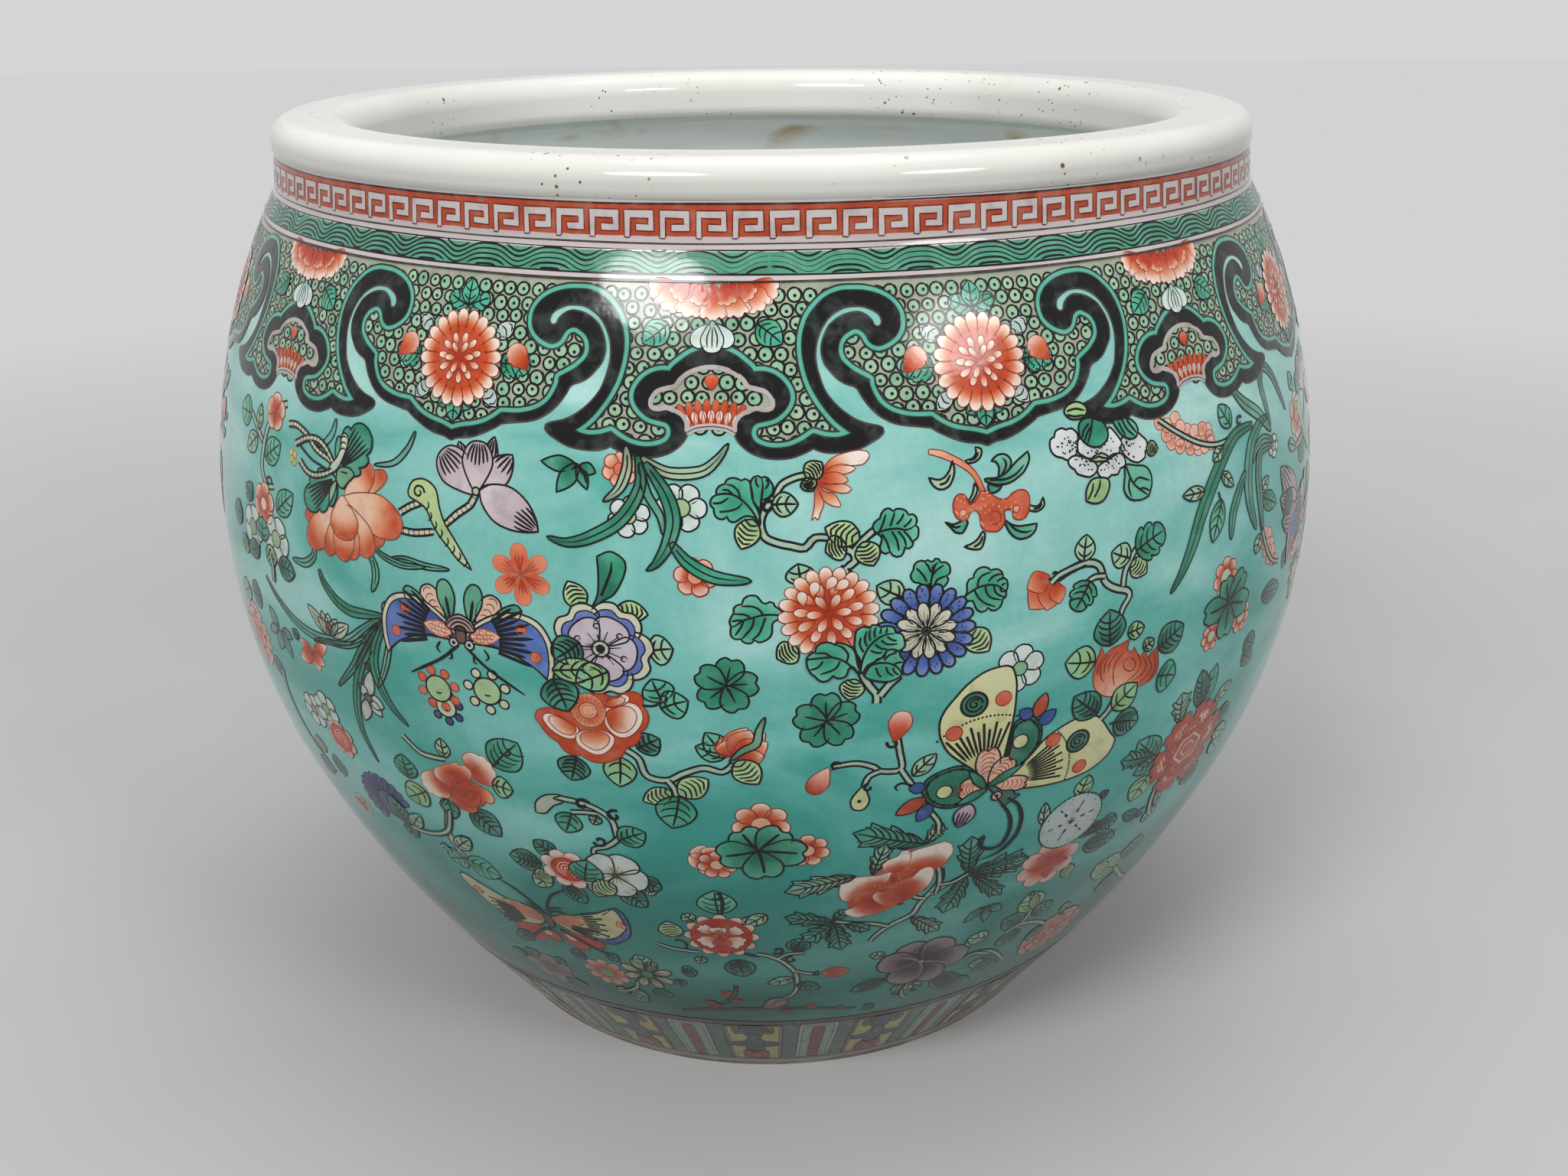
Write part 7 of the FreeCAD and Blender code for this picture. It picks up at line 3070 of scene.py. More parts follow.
@motif("leaf_enamel", -31.1, 152)
def low_round_leaves(p):
    """Round leaves over the low butterfly."""
    stem(p, [(-6.9, 13), (-5.9, 7), (-3.4, 3)], 1.5)
    stem(p, [(-1.4, 1), (-4.9, 0.5), (-7.9, 0)], 1.3)
    leaves(p, "fresh", (-3.4, 1.5, 340, 14.9, 13), (-3.9, 2, 201, 9.7, 11))
    leaves(p, "pale", (33.6, 6, 230, 11.7, 8))


@motif("leaf_enamel", -18, 152)
def coral_round_leaves(p):
    """Striped and dark leaves below the white plum."""
    leaves(p, "dark", (-10, 2, 301, 11.7, 9.5))
    p.up()
    leaves(p, "striped", (5, 7, 252, 9.5, 9), (19, 7, 0, 7, 9))
    leaves(p, "deep", (12, 4.5, 310, 12.4, 10))


@motif("bloom_enamel", -15.2, 97)
def cream_aster(p):
    """Cream flower with open petals and a green eye."""
    cream = [(0, (120, 116, 90)), (0.5, (200, 196, 166)), (1, (190, 190, 150))]
    ring_of_petals(p, 0, 0, 8, 2.6, 9.6, 5.0, cream, 20, edge=0.6, profile=ROUND)
    for k in range(8):
        way = math.radians(45 * k + 20)
        p.line(
            [(3.4 * math.cos(way), 3.4 * math.sin(way)), (8.8 * math.cos(way), 8.8 * math.sin(way))], 1.0,
            (120, 112, 80), above=0.4,
        )
    p.up()
    p.field(circle(0, 0, 2.8), (96, 140, 110), 2.4, 0.5)


@motif("coral_enamel", -20.5, 92.5)
def low_coral_flower(p):
    """Coral flower with a green eye, low on the left."""
    soft = [(0, (196, 80, 50)), (0.5, (216, 120, 86)), (0.8, (226, 180, 156)), (1, (214, 206, 190))]
    blossom(p, -0.2, 0, 10.8, 9, 10, soft, (150, 70, 50), (126, 160, 106), 0.34)


@motif("leaf_enamel", -18, 89)
def low_left_leaves(p):
    """Leaves round the cream and the coral flower."""
    leaves(
        p, "dark", (-16, 14, 176, 7.5, 8.5), (27, 14, 9, 6.6, 9), (9, -8, 354, 10, 8),
        (24, 7, 280, 5.6, 6),
    )
    leaves(p, "lime", (12, 16, 112, 8.1, 8.5), (11, 16, 0, 5, 5))
    leaves(p, "pale", (-4, -12, 171, 6.1, 6), (0, -8, 292, 10.8, 7))
    stem(p, [(4, 0), (2, -6), (-4, -11), (-10, -13)], 1.2)
    leaves(p, "emerald", (-4, -14, 331, 10.3, 8))


@motif("bloom_enamel", -29.7, 82)
def brown_flower(p):
    """Muted brown flower near the foot."""
    muted = [(0, (96, 70, 64)), (0.5, (140, 112, 102)), (1, (160, 140, 128))]
    blossom(p, 0.9, 0, 13, 7, 20, muted, (70, 50, 48), (90, 70, 60), 0.25)
    leaves(
        p, "deep", (-9.1, 6, 41, 10.6, 7), (8.9, 7, 63, 6.7, 6), (-12.1, 3, 146, 7.2, 8),
        (3.9, -11, 13, 13.3, 9),
    )


@motif("coral_enamel", -5.8, 131.5, 8)
def red_round_peony(p):
    """Round red peony with a white scalloped edge."""
    blossom(
        p, 0.2, 0, 14.4, 12, 0, [(0, CORAL), (0.7, CORAL_PALE), (0.9, BLUSH), (1, PINK_MILK)], RED_LINE,
        None, 0, 0, ROUND, 0.3, 1.3,
    )
    p.up()
    p.field(
        circle(0.2, 0, 11.6), graded(0, 0, 12, [(0, (196, 60, 34)), (1, (190, 48, 24))]), 2.8, 0.4,
        RED_LINE,
    )
    white = [(0, CORAL), (0.35, CORAL_PALE), (0.6, BLUSH), (1, PINK_MILK)]
    petals(
        p,
        (
            (-1.8, -0.5, 225, 7.8, 8.5), (1.7, -1, 328, 7.6, 8.5), (-2.8, 1.5, 132, 6.7, 6),
            (3.2, 2, 38, 5.7, 6),
        ),
        white, WAVY, 0.35, RED_LINE,
    )
    p.up()
    petal(p, 0.2, -1, 270, 5, 8, [(0, (190, 50, 26)), (1, (206, 84, 52))], WAVY, 0.35, RED_LINE)
    petal(p, -0.8, 1.5, 90, 4.5, 7, white, WAVY, 0.35, RED_LINE)
    p.up()
    for x, y in [(-1.3, 2.5), (0.2, 1.5), (-1.8, 0.5), (-0.2, 3.5), (1, 0)]:
        p.field(circle(x, y, 1.3, 9), (214, 110, 80), 2, 0.3, RED_LINE)


@motif("leaf_enamel", -7.4, 135)
def red_peony_leaves(p):
    """Leaves and curls round the round red peony."""
    leaves(p, "fresh", (6.2, 11, 93, 13.8, 14))
    tendril(p, [(7.2, 24), (8, 18), (7.2, 10.5)], 1.2)
    curl(p, 5.8, 22, 230, 2.6, 0.7, 0.8)
    leaves(p, "pale", (-3.8, 5.5, 124, 5.4, 6), (16.2, 3.5, 70, 7.4, 6.5), (-2.8, -18.5, 256, 6.2, 5))
    leaves(p, "striped", (-12.3, -6, 98, 10.3, 9.5))
    stem(p, [(-3.8, -15.5), (-9.8, -14.8), (-14.8, -14), (-19.8, -11.5)], 1.2)
    curl(p, -11.8, -10, 300, 5, 0.5, 0.8)
    leaves(p, "dark", (11.2, -20, 278, 13.6, 12.5))
    tendril(p, [(14.2, -15.2), (16.2, -16), (20.2, -17.5)], 1.2)


@motif("coral_enamel", -7.4, 70)
def coral_branch(p):
    """Bare branch with small coral blossoms above the foot."""
    stem(p, [(-15.8, -3.5), (-9.8, -2), (0.2, 3.5), (5.2, 10), (8.2, 16), (9.4, 23.8)], 1.3, (70, 66, 58))
    stem(
        p, [(-19.8, -5), (-11.8, -2.5), (-3.8, -1), (8.2, 0.5), (20.2, 2), (33.2, 2.5)], 1.6,
        (70, 66, 58),
    )
    p.up()
    for x, y, radius in ((4.4, 16.5, 2.6), (9, 9, 2.4), (-3.8, 6, 2.6), (-1.3, 4.5, 1.8)):
        blossom(
            p, x, y, radius, 5, 90, [(0, (150, 40, 30)), (1, (186, 74, 54))], RED_LINE, None, 0, 0, ROUND,
            0.3,
        )


@motif("leaf_enamel", 12.7, 143)
def peony_lower_leaves(p):
    """Stem and toothed leaves below the tilted peony."""
    stem(
        p,
        [
            (8.8, 21), (9.8, 15), (7.8, 9), (5.3, 5), (3.8, 1), (2.3, -4), (-6.2, -10), (-10.2, -15),
            (-12.2, -19),
        ],
        1.8,
    )
    stem(p, [(5.3, 5), (1.8, 6.5), (-0.2, 9)], 1.3)
    stem(p, [(7.8, 7), (12.8, 11), (18.8, 14.5), (20.3, 16)], 1.3)
    stem(p, [(-6.2, -10), (-12.2, -7), (-17.2, -6), (-27.2, -3)], 1.3)
    leaves(p, "toothed", (19.8, 14, 257, 21.6, 10), (22.8, 13, 314, 23, 7), (20.8, 15, 2, 24, 8))
    leaves(p, "pale_toothed", (2.3, -6, 317, 18.6, 8))
    leaves(
        p, "toothed", (-27.7, -3.2, 166, 18.5, 8), (-27.2, -4, 226, 15.9, 9), (-27.2, -4.2, 282, 19, 9),
        (-23.2, -5, 331, 11.4, 6), (-27.7, -2.5, 55, 7.9, 5),
    )
    curl(p, -3.2, 5, 80, 2.6, 0.7, 0.8)
    curl(p, 3.8, 12, 200, 1.8, 0.7, 0.8)


@motif("leaf_enamel", 21.7, 129)
def three_blades(p):
    """Three bamboo leaves."""
    leaves(p, "slim", (-0.9, 4.5, 231, 10.3, 5), (1.1, 4.5, 278, 11.1, 4.5), (2.1, 4.5, 320, 8.5, 5))
    tendril(p, [(-2.4, 4.2), (1.1, 4.8), (3.6, 4.4)])


@motif("leaf_enamel", 0.9, 105)
def low_vine(p):
    """Vine that hangs towards the foot."""
    stem(
        p,
        [
            (-11.9, 14.2), (-7.9, 13), (-3.4, 10), (0.6, 5), (3.6, -1), (4.6, -8), (4.6, -14), (2.6, -20),
            (-0.9, -22.5),
        ],
        1.6,
    )
    stem(p, [(3.1, 1), (7.1, -1), (11.6, -2.5)], 1.3)
    stem(p, [(-3.4, 11), (0.1, 14), (7.1, 14.5)], 1.2)
    leaves(p, "dark", (3.1, 16, 75, 9.5, 9.5))
    leaves(p, "pale", (3.1, -5, 202, 12.1, 6.5), (-7.9, 41, 223, 10.3, 6.5))
    leaves(p, "deep", (4.6, -10, 333, 11.2, 7.5))
    curl(p, -3.7, 16.8, 220, 2.6, 1.0, 0.9)
    curl(p, 1.6, 10, 80, 2.6, 1.0, 0.9)
    curl(p, 12.6, -2.2, 60, 1.8, 1.0, 0.9)


@motif("coral_enamel", 2.8, 92, 4)
def low_buds(p):
    """Coral bud and pale bud of the hanging vine."""
    p.up()
    petal(
        p, 7.5, 10.8, 2, 12, 8,
        [(0, (214, 150, 110)), (0.35, (190, 60, 34)), (0.8, (206, 84, 54)), (1, (190, 130, 90))], OVAL,
        0.35, RED_LINE,
    )
    petal(
        p, -6.8, -10, 222, 14.3, 9, [(0, (110, 112, 100)), (0.5, (150, 128, 122)), (1, (120, 96, 96))],
        OVAL, 0.5,
    )
    p.line(smooth([(-8, -11), (-11.5, -13), (-14, -17)], False, 1), 0.5, None, above=0.4)


@motif("bloom_enamel", 16.3, 102, 4)
def mauve_hibiscus(p):
    """Flower with five broad petals in greyish mauve, partly its own tone and partly painted shade low on
    the bowl.
    """
    # These dark greyish tones are partly the petals' own mauve and partly painted shade of the low bowl.
    mauve_and_shade = [(0, (64, 52, 54)), (0.35, (100, 84, 86)), (0.7, (140, 122, 124)), (1, (168, 150, 148))]
    for place in (
        (-0.2, 0, 122, 18.2, 15), (-0.2, 0, 58, 17.8, 17), (-0.2, 0, 353, 23.2, 17),
        (-0.2, 0, 303, 22.7, 14), (-0.2, 0, 246, 18.6, 18), (-0.2, 0, 168, 19.9, 16),
    ):
        p.up()
        spine = petal(p, *place, mauve_and_shade, ROUND, 0.6)
        for k in range(7):
            share = (k - 3) / 7 * place[4]
            p.line(
                spine.track(
                    [(0.1, share * 0.1), (0.45, share * 0.55), (0.7 - 0.03 * abs(k - 3), share * 0.8)]
                ),
                0.7, (54, 40, 46), (1, 0.2), 0.3,
            )
    for control in (
        [(-0.2, 0), (-5.7, 4), (-13.7, 7.5)], [(-0.2, 0), (6.3, -2), (15.3, -7)],
        [(-0.2, 0), (2.3, -7), (1.3, -14)],
    ):
        p.line(smooth(control, False, 1.2), 0.8, (170, 150, 140), (1, 0.4), 1.2)
    p.up()
    p.field(circle(0.3, -0.2, 1.8), (170, 150, 130), 2, 0.5, None, 1)


@motif("leaf_enamel", 16.3, 95)
def hibiscus_leaves(p):
    """Leaves and curls round the mauve flower."""
    leaves(p, "pale", (-17.7, 16.5, 161, 6.9, 5.5), (25.3, 10, 124, 9, 8.5))
    leaves(p, "dark", (-13.7, -4, 205, 16.6, 9), (16.3, -15, 337, 13, 9), (-13.7, -29, 198, 6.3, 8))
    leaves(p, "pale", (-5.7, -11, 262, 7.1, 5), (0.3, -12, 315, 8.5, 6), (-0.7, -10, 274, 13, 5))
    stem(p, [(-2.7, -17), (-1.7, -22), (1.3, -26)], 1.3)
    curl(p, -3.7, -18, 200, 3.4, 0.9, 0.9)
    curl(p, 4.3, -19, 30, 3.4, 0.9, 0.9)
    stem(p, [(23.3, 2), (28.3, 2), (36.3, -2)], 1.4)


@motif("coral_enamel", 5.7, 70)
def foot_branch(p):
    """Low branch with coral blossoms above the foot."""
    stem(p, [(-43.9, 1.5), (-23.9, 2), (-5.9, 1), (4.1, -1), (16.1, -3.5)], 1.3, (64, 66, 58))
    p.up()
    for x, y, radius in ((-6.1, 3.2, 2.6), (8.1, -1.5, 2.4), (-17.4, -1.5, 2.6)):
        blossom(
            p, x, y, radius, 5, 90, [(0, (140, 40, 30)), (1, (170, 74, 60))], RED_LINE, None, 0, 0, ROUND,
            0.3,
        )


@motif("leaf_enamel", -54.3, 302)
def left_sprig(p):
    """Curved sprig with round leaves, upper left."""
    stem(p, [(-8.4, 7), (-1.9, 3), (4.1, -1)], 1.4)
    stem(
        p,
        [
            (20.1, 15.8), (14.1, 13.5), (9.1, 8), (6.1, 2), (4.6, -6), (4.6, -10), (7.1, -14),
            (11.1, -15.5), (14.6, -14.8),
        ],
        1.6,
    )
    leaves(p, "fresh", (-8.4, 6.5, 182, 11.5, 11), (7.1, -6, 34, 13.3, 10), (17.1, -23, 39, 14.2, 9.5))
    leaves(p, "pale", (-0.4, 2.5, 87, 9.3, 5.5), (-0.9, 0, 217, 11.3, 8))
    curl(p, 10.6, -14.2, 0, 2.6, 0.9, 0.8)


@motif("coral_enamel", -51.6, 297, 6)
def left_sprig_flowers(p):
    """Coral flowers of the left sprig."""
    blossom(p, 2.3, 16.5, 6.8, 5, 90, WHITE_TIP, RED_LINE, None)
    blossom(p, -3.2, -18, 8.2, 6, 80, WHITE_TIP, RED_LINE, (246, 214, 196), 0.3)


@motif("bloom_enamel", -52.7, 267.5, 4)
def left_plums(p):
    """White plum blossoms of the left sprig."""
    blossom(p, -9.9, 0, 8.6, 5, 70, WHITE_STOPS, None, (150, 190, 140), 0.36)
    blossom(p, 10.1, 1, 8.8, 5, 60, WHITE_STOPS, None, (170, 196, 150), 0.36)


@motif("leaf_enamel", -53.2, 266, 16)
def left_plum_leaves(p):
    """Leaves round the white plum blossoms."""
    leaves(p, "deep", (-7.5, 12.5, 152, 7.4, 8), (-20, 2.5, 180, 9.5, 9.5))
    leaves(p, "emerald", (1, -1, 87, 9, 10.5))
    leaves(p, "striped", (-15, -6, 216, 6.8, 7.5), (3, -5, 0, 9, 8))
    leaves(p, "deep", (-3, -5, 201, 11.2, 7.5), (13, -6.5, 357, 11, 9))
    stem(p, [(6.5, -5), (8, -9), (7.5, -15)], 1.2)
    curl(p, 8, -5, 100, 2.6, 0.9, 0.7)


@motif("leaf_enamel", -40.7, 307, 18)
def insect(p):
    """Green winged insect on the coral lotus."""
    wing_tint = [(0, (120, 190, 160)), (0.5, (60, 156, 124)), (1, (46, 140, 110))]
    for place, width in (((3.1, -4.5, 50, 19.5, 15), 15), ((1.6, -8.5, 217, 20, 13), 13)):
        p.up()
        spine = petal(p, *place[:4], width, wing_tint, lobed(3, 0.2), 0.55)
        for k in range(6):
            share = (k - 2.5) / 6 * width
            p.line(
                spine.track([(0.08, share * 0.1), (0.45, share * 0.5), (0.8, share * 0.72)]), 0.7, None,
                (1, 0.3), 0.3,
            )
    p.up()
    body = smooth(
        [
            (2.9, 6.2), (3.1, 3), (1.6, -1), (-0.9, -3.5), (-2.4, -6), (0.1, -6.5), (2.6, -4.5),
            (4.6, -1), (6.1, 3), (6.3, 6.2), (4.6, 7.5),
        ],
        True, 1.0,
    )
    p.field(body, graded(4.6, 7, 16, [(0, (226, 220, 190)), (1, (190, 206, 180))]), 2.4, 0.5)
    for y in (130, 150, 170):
        arcs(p, (845 - 800) / 10, (180 - y) / 10, 100, 1, 1.4, 0, 60, 0.45)
    for control in (
        [(-27.9, 4.5), (-22.9, 5.2), (-15.9, 3.2), (-9.9, -0.5), (-2.9, -2.5), (-0.9, -3.5)],
        [(-22.4, -1.2), (-15.9, 2), (-9.9, 2.8), (-4.9, 1), (-0.4, -3)],
        [(-18.9, -6.2), (-14.9, -8.8), (-9.9, -9.5), (-3.9, -7.8), (-0.4, -6)],
    ):
        beaded_stem(p, control, 1.3)
    tendril(p, [(-19.9, -1), (-11.9, -4.5), (-3.9, -5.8)])
    shape(
        p, [(2.1, -8.5), (5.1, -11), (8.1, -8.2), (10.6, -5.5), (8.1, -3.5), (3.1, -4.5)],
        (120, 176, 140), step=1.0,
    )
    p.line(smooth([(4.1, -5.5), (7.6, -5.5)], False, 1.0), 0.5)
    p.field(
        smooth([(-0.9, -17), (1.6, -13), (2.1, -9), (-0.9, -12)], True, 1.0), (140, 186, 150), 2.2, 0.5,
    )


@motif("coral_enamel", -38.3, 287, 4)
def coral_lotus(p):
    """Big coral lotus, open and drooping."""
    glow = [
        (0, (246, 204, 176)), (0.5, (246, 198, 166)), (0.72, (228, 134, 90)), (0.86, (202, 76, 36)),
        (1, (216, 104, 62)),
    ]
    petals(
        p,
        (
            (-0.9, 7, 32, 20, 7), (-2.9, 5, 48, 18.8, 10), (-2.9, 6, 327, 22.1, 10),
            (-3.9, 3, 202, 21.5, 8), (-2.9, 4, 224, 26.5, 12), (-1.9, 3, 242, 21, 7.5),
        ),
        glow, ROUND, 0.45, (140, 66, 40),
    )
    p.up()
    petal(p, -2.9, 6, 355, 27.1, 14, glow, ROUND, 0.45, (140, 66, 40), 2.2, -18)
    petals(
        p, ((-0.9, 4, 305, 19, 11), (-1.9, 3, 281, 17.8, 9.5), (-0.9, 4, 261, 20.2, 10.5)), glow, ROUND,
        0.45, (140, 66, 40),
    )
    p.up()
    petal(p, -3.9, 6.5, 278, 15.1, 14, glow, ROUND, 0.45, (140, 66, 40))


@motif("leaf_enamel", -38, 269)
def lotus_blades(p):
    """Grass blades and tendrils round the coral lotus."""
    blade(p, [(25.4, 50.8), (22.9, 45), (17.4, 39.5), (8.9, 37.5)], 2.0, (110, 170, 150), False)
    blade(p, [(-11.1, 49.2), (-12.1, 44.5), (-15.6, 40.5), (-20.1, 38.5)], 2.4, (96, 176, 150), False)
    blade(p, [(-20.1, 5), (-20.6, 0), (-26.1, -4), (-34.1, -4.6)], 3.2, (86, 170, 140))
    blade(p, [(7.4, 8), (10.2, 4), (10.4, -1), (8.4, -5.8)], 3.0, (86, 170, 140))
    blade(p, [(8.9, 12), (12.9, 8.5), (21.9, 6.5), (31.4, 7.5)], 2.2, (96, 180, 150))


@motif("bloom_enamel", -47.1, 301)
def yellow_dot(p):
    """Small straw coloured flower."""
    for x, y in [(-1.1, 1.2), (1.1, 0.8), (-0.3, -1), (1.1, -1.8)]:
        p.field(circle(x, y, 1.4, 10), (214, 200, 130), 2, 0.3, (150, 130, 70))


@motif("leaf_enamel", -40.7, 242)
def long_blades(p):
    """Long orchid blades that meet behind the blue butterfly."""
    blade(p, [(-7.7, 22.8), (-5.9, 19), (0.1, 14), (7.1, 11.8), (15.1, 12.5), (24.1, 14)], 4.0)
    blade(
        p,
        [
            (-46.4, 9), (-39.9, 4), (-29.9, -1), (-19.9, -3.5), (-9.9, -3.5), (3.1, -0.5), (12.1, 6),
            (18.1, 10.5), (23.6, 13),
        ],
        3.6, (96, 170, 144),
    )
    blade(p, [(-15.9, -6), (-7.9, -4), (4.1, -2), (13.1, 3), (20.1, 9.5)], 2.4, (60, 150, 120))
    blade(p, [(23.6, 12.5), (16.1, 5), (10.1, -3), (5.1, -10), (-5.9, -21)], 3.0)
    blade(p, [(23.1, 13), (16.1, 2), (10.1, -7), (6.1, -15), (2.6, -26), (1.6, -37), (5.1, -50)], 3.6)
    blade(p, [(24.1, 13), (18.6, 3), (16.1, -5), (17.1, -13), (21.1, -21), (27.1, -27)], 3.8)
    blade(p, [(25.1, 13), (24.1, 3), (20.6, -7), (16.1, -15)], 2.6, (120, 180, 150))
    p.up()
    p.field(circle(25.6, 16.5, 3.0), (214, 200, 190), 2.2, 0.5)


@motif("bloom_enamel", -42, 245, 2)
def pale_orchid(p):
    """Pale striped orchid with narrow petals."""
    pale = [(0, (110, 140, 116)), (0.5, (190, 206, 180)), (1, (206, 214, 190))]
    for place in (
        (-1.1, -3.8, 142, 13.6, 5), (-1.1, -3.8, 107, 8.7, 4.5), (-0.5, -3.8, 87, 8.3, 4.5),
        (-0.1, -3.8, 58, 8.6, 4.5), (0.5, -3.8, 34, 12.1, 5.5), (-0.5, -3.8, 136, 7.6, 4),
    ):
        p.up(0.5)
        spine = petal(p, *place, pale, OVAL, 0.45)
        for side in (-0.7, 0.7):
            p.line(spine.track([(0.1, 0), (0.5, side), (0.85, side * 0.5)]), 0.35)
    p.up()
    p.field(circle(-0.3, -0.5, 1.6), (120, 80, 70), 2, 0.4)


@motif("bloom_enamel", -37.7, 222, 2)
def pale_orchid_low(p):
    """Pale orchid flower on the blades."""
    pale = [(0, (150, 160, 140)), (0.4, (206, 214, 200)), (1, (190, 206, 190))]
    petals(
        p,
        (
            (-1.2, -0.5, 73, 12, 5), (-1.2, -1, 348, 7.2, 6), (-1.2, -1.5, 312, 7.4, 5),
            (-1.7, -1.5, 246, 11, 5), (-1.7, -0.5, 121, 5.8, 4),
        ),
        pale, OVAL, 0.5, rise=0.5,
    )
    p.up()
    p.field(circle(-1.4, -0.8, 1.8), (120, 90, 84), 2, 0.5)
    p.field(circle(1.3, 12.5, 1.5), (30, 40, 50), 2, 0.4)


@motif("coral_enamel", -45.7, 229)
def coral_fly(p):
    """Small coral flower with narrow petals."""
    petals(
        p,
        (
            (0.8, 1, 32, 11.2, 5), (0.8, 1, 287, 6.8, 6), (0.3, 1, 210, 11, 6), (0.3, 1, 159, 8.5, 5),
            (0.8, 1, 333, 6.7, 5),
        ),
        WHITE_TIP, OVAL, 0.35, RED_LINE, rise=0.5,
    )
    p.up()
    leaves(p, "deep", (-7.7, 4, 148, 4.7, 4.5))


@motif("leaf_enamel", -51.9, 230)
def left_bamboo(p):
    """Three grey green leaves."""
    grey = [(0, (60, 110, 100)), (0.6, (104, 160, 144)), (1, (80, 140, 124))]
    petals(
        p,
        (
            (-0.4, 2, 130, 8.9, 5.5), (-0.4, 2, 204, 10.2, 4), (1.1, 1, 243, 9.9, 6),
            (2.1, 1.5, 296, 10.8, 5), (3.1, 2.5, 348, 7.2, 4),
        ),
        grey, OVAL, 0.5, rise=0.5,
    )


@motif("bloom_enamel", -47.1, 203, 2)
def left_round_flowers(p):
    """White plum blossoms with a coral flower over them."""
    blossom(p, -5.4, -1, 7.4, 6, 70, WHITE_STOPS, None, (150, 140, 90), 0.28)
    blossom(p, 4.9, 3.5, 7.4, 6, 40, WHITE_STOPS, None, (170, 186, 130), 0.3)


@motif("coral_enamel", -44.7, 195, 14)
def left_coral_disc(p):
    """Coral disc with white petals."""
    blossom(
        p, 0.3, 0, 8.2, 7, 30, [(0, CORAL), (0.6, (230, 140, 110)), (1, (244, 220, 206))], RED_LINE, None,
        0, 0, ROUND, 0.3,
    )
    p.up()
    p.field(circle(0.3, 0.5, 5.8), (208, 82, 50), 2.4, 0.4, RED_LINE)
    arcs(p, 0.3, 0.5, 90, 3, 1.0, 1.3, 165, 0.4, (246, 200, 176))


@motif("bloom_enamel", -41.5, 171)
def violet_aster(p):
    """Blue violet aster seen from the side."""
    violet = [(0, (40, 44, 100)), (0.6, (58, 66, 130)), (1, (86, 92, 160))]
    for k in range(13):
        way = 20 + 17.5 * k
        c, s = math.cos(math.radians(way)), math.sin(math.radians(way))
        p.up(0.4)
        petal(p, 3.0 + 5.5 * c, -0.5 + 5.5 * s, way, 8.6, 4.4, violet, ROUND, 0.4)
    p.up()
    p.field(circle(4.6, -1, 6.8), (70, 84, 130), 2.6, 0.4)


@motif("leaf_enamel", -38, 177, 14)
def violet_aster_leaves(p):
    """Leaves round the blue violet aster."""
    leaves(p, "deep", (-3.1, -15, 106, 14.6, 10), (-4.1, -15, 286, 7.3, 8))
    leaves(p, "emerald", (9.9, 13.5, 90, 10.5, 10.5), (25.9, 9, 273, 9, 7))
    leaves(p, "lime", (16.4, 9.5, 211, 12.8, 11.5))
    leaves(p, "pale", (-0.1, -14.2, 49, 11.5, 6.5), (20.9, -17, 41, 11.3, 7))
    stem(p, [(-1.1, -15), (5.9, -15), (13.9, -12.5), (19.9, -8.5), (22.9, -3), (24.9, 3)], 1.4)
    stem(p, [(15.9, -22), (13.9, -19), (11.9, -20)], 1.2)


@motif("leaf_enamel", -50.8, 181)
def far_left_leaves(p):
    """Leaves on the far left, seen at a grazing angle."""
    leaves(
        p, "deep", (-19, 28, 36, 8.6, 9), (6, -5, 6, 9.1, 10), (-2, -8, 225, 9.9, 9),
        (-17, 59, 186, 10, 11),
    )
    leaves(p, "striped", (1, -2, 97, 8.1, 8))
    leaves(p, "pale", (-30, 58, 202, 10.8, 9))
    stem(p, [(-12, 31), (-14, 22), (-13, 12), (-9, 2), (-2, -6), (2, -12)], 1.5)


@motif("coral_enamel", -59.1, 220)
def far_left_flower(p):
    """Coral flower on the far left."""
    peony(p, -0.9, 0, 13, 10, CORAL_STOPS, 1.0, 6)


@motif("coral_enamel", -47.3, 159)
def small_coral_bud(p):
    """Small coral flower below the plum blossoms."""
    petals(
        p, ((0.3, -1, 209, 6.3, 7), (0.3, -1, 85, 6, 6), (0.3, -1, 350, 5.6, 7)), WHITE_TIP, ROUND, 0.35,
        RED_LINE, rise=0.5,
    )


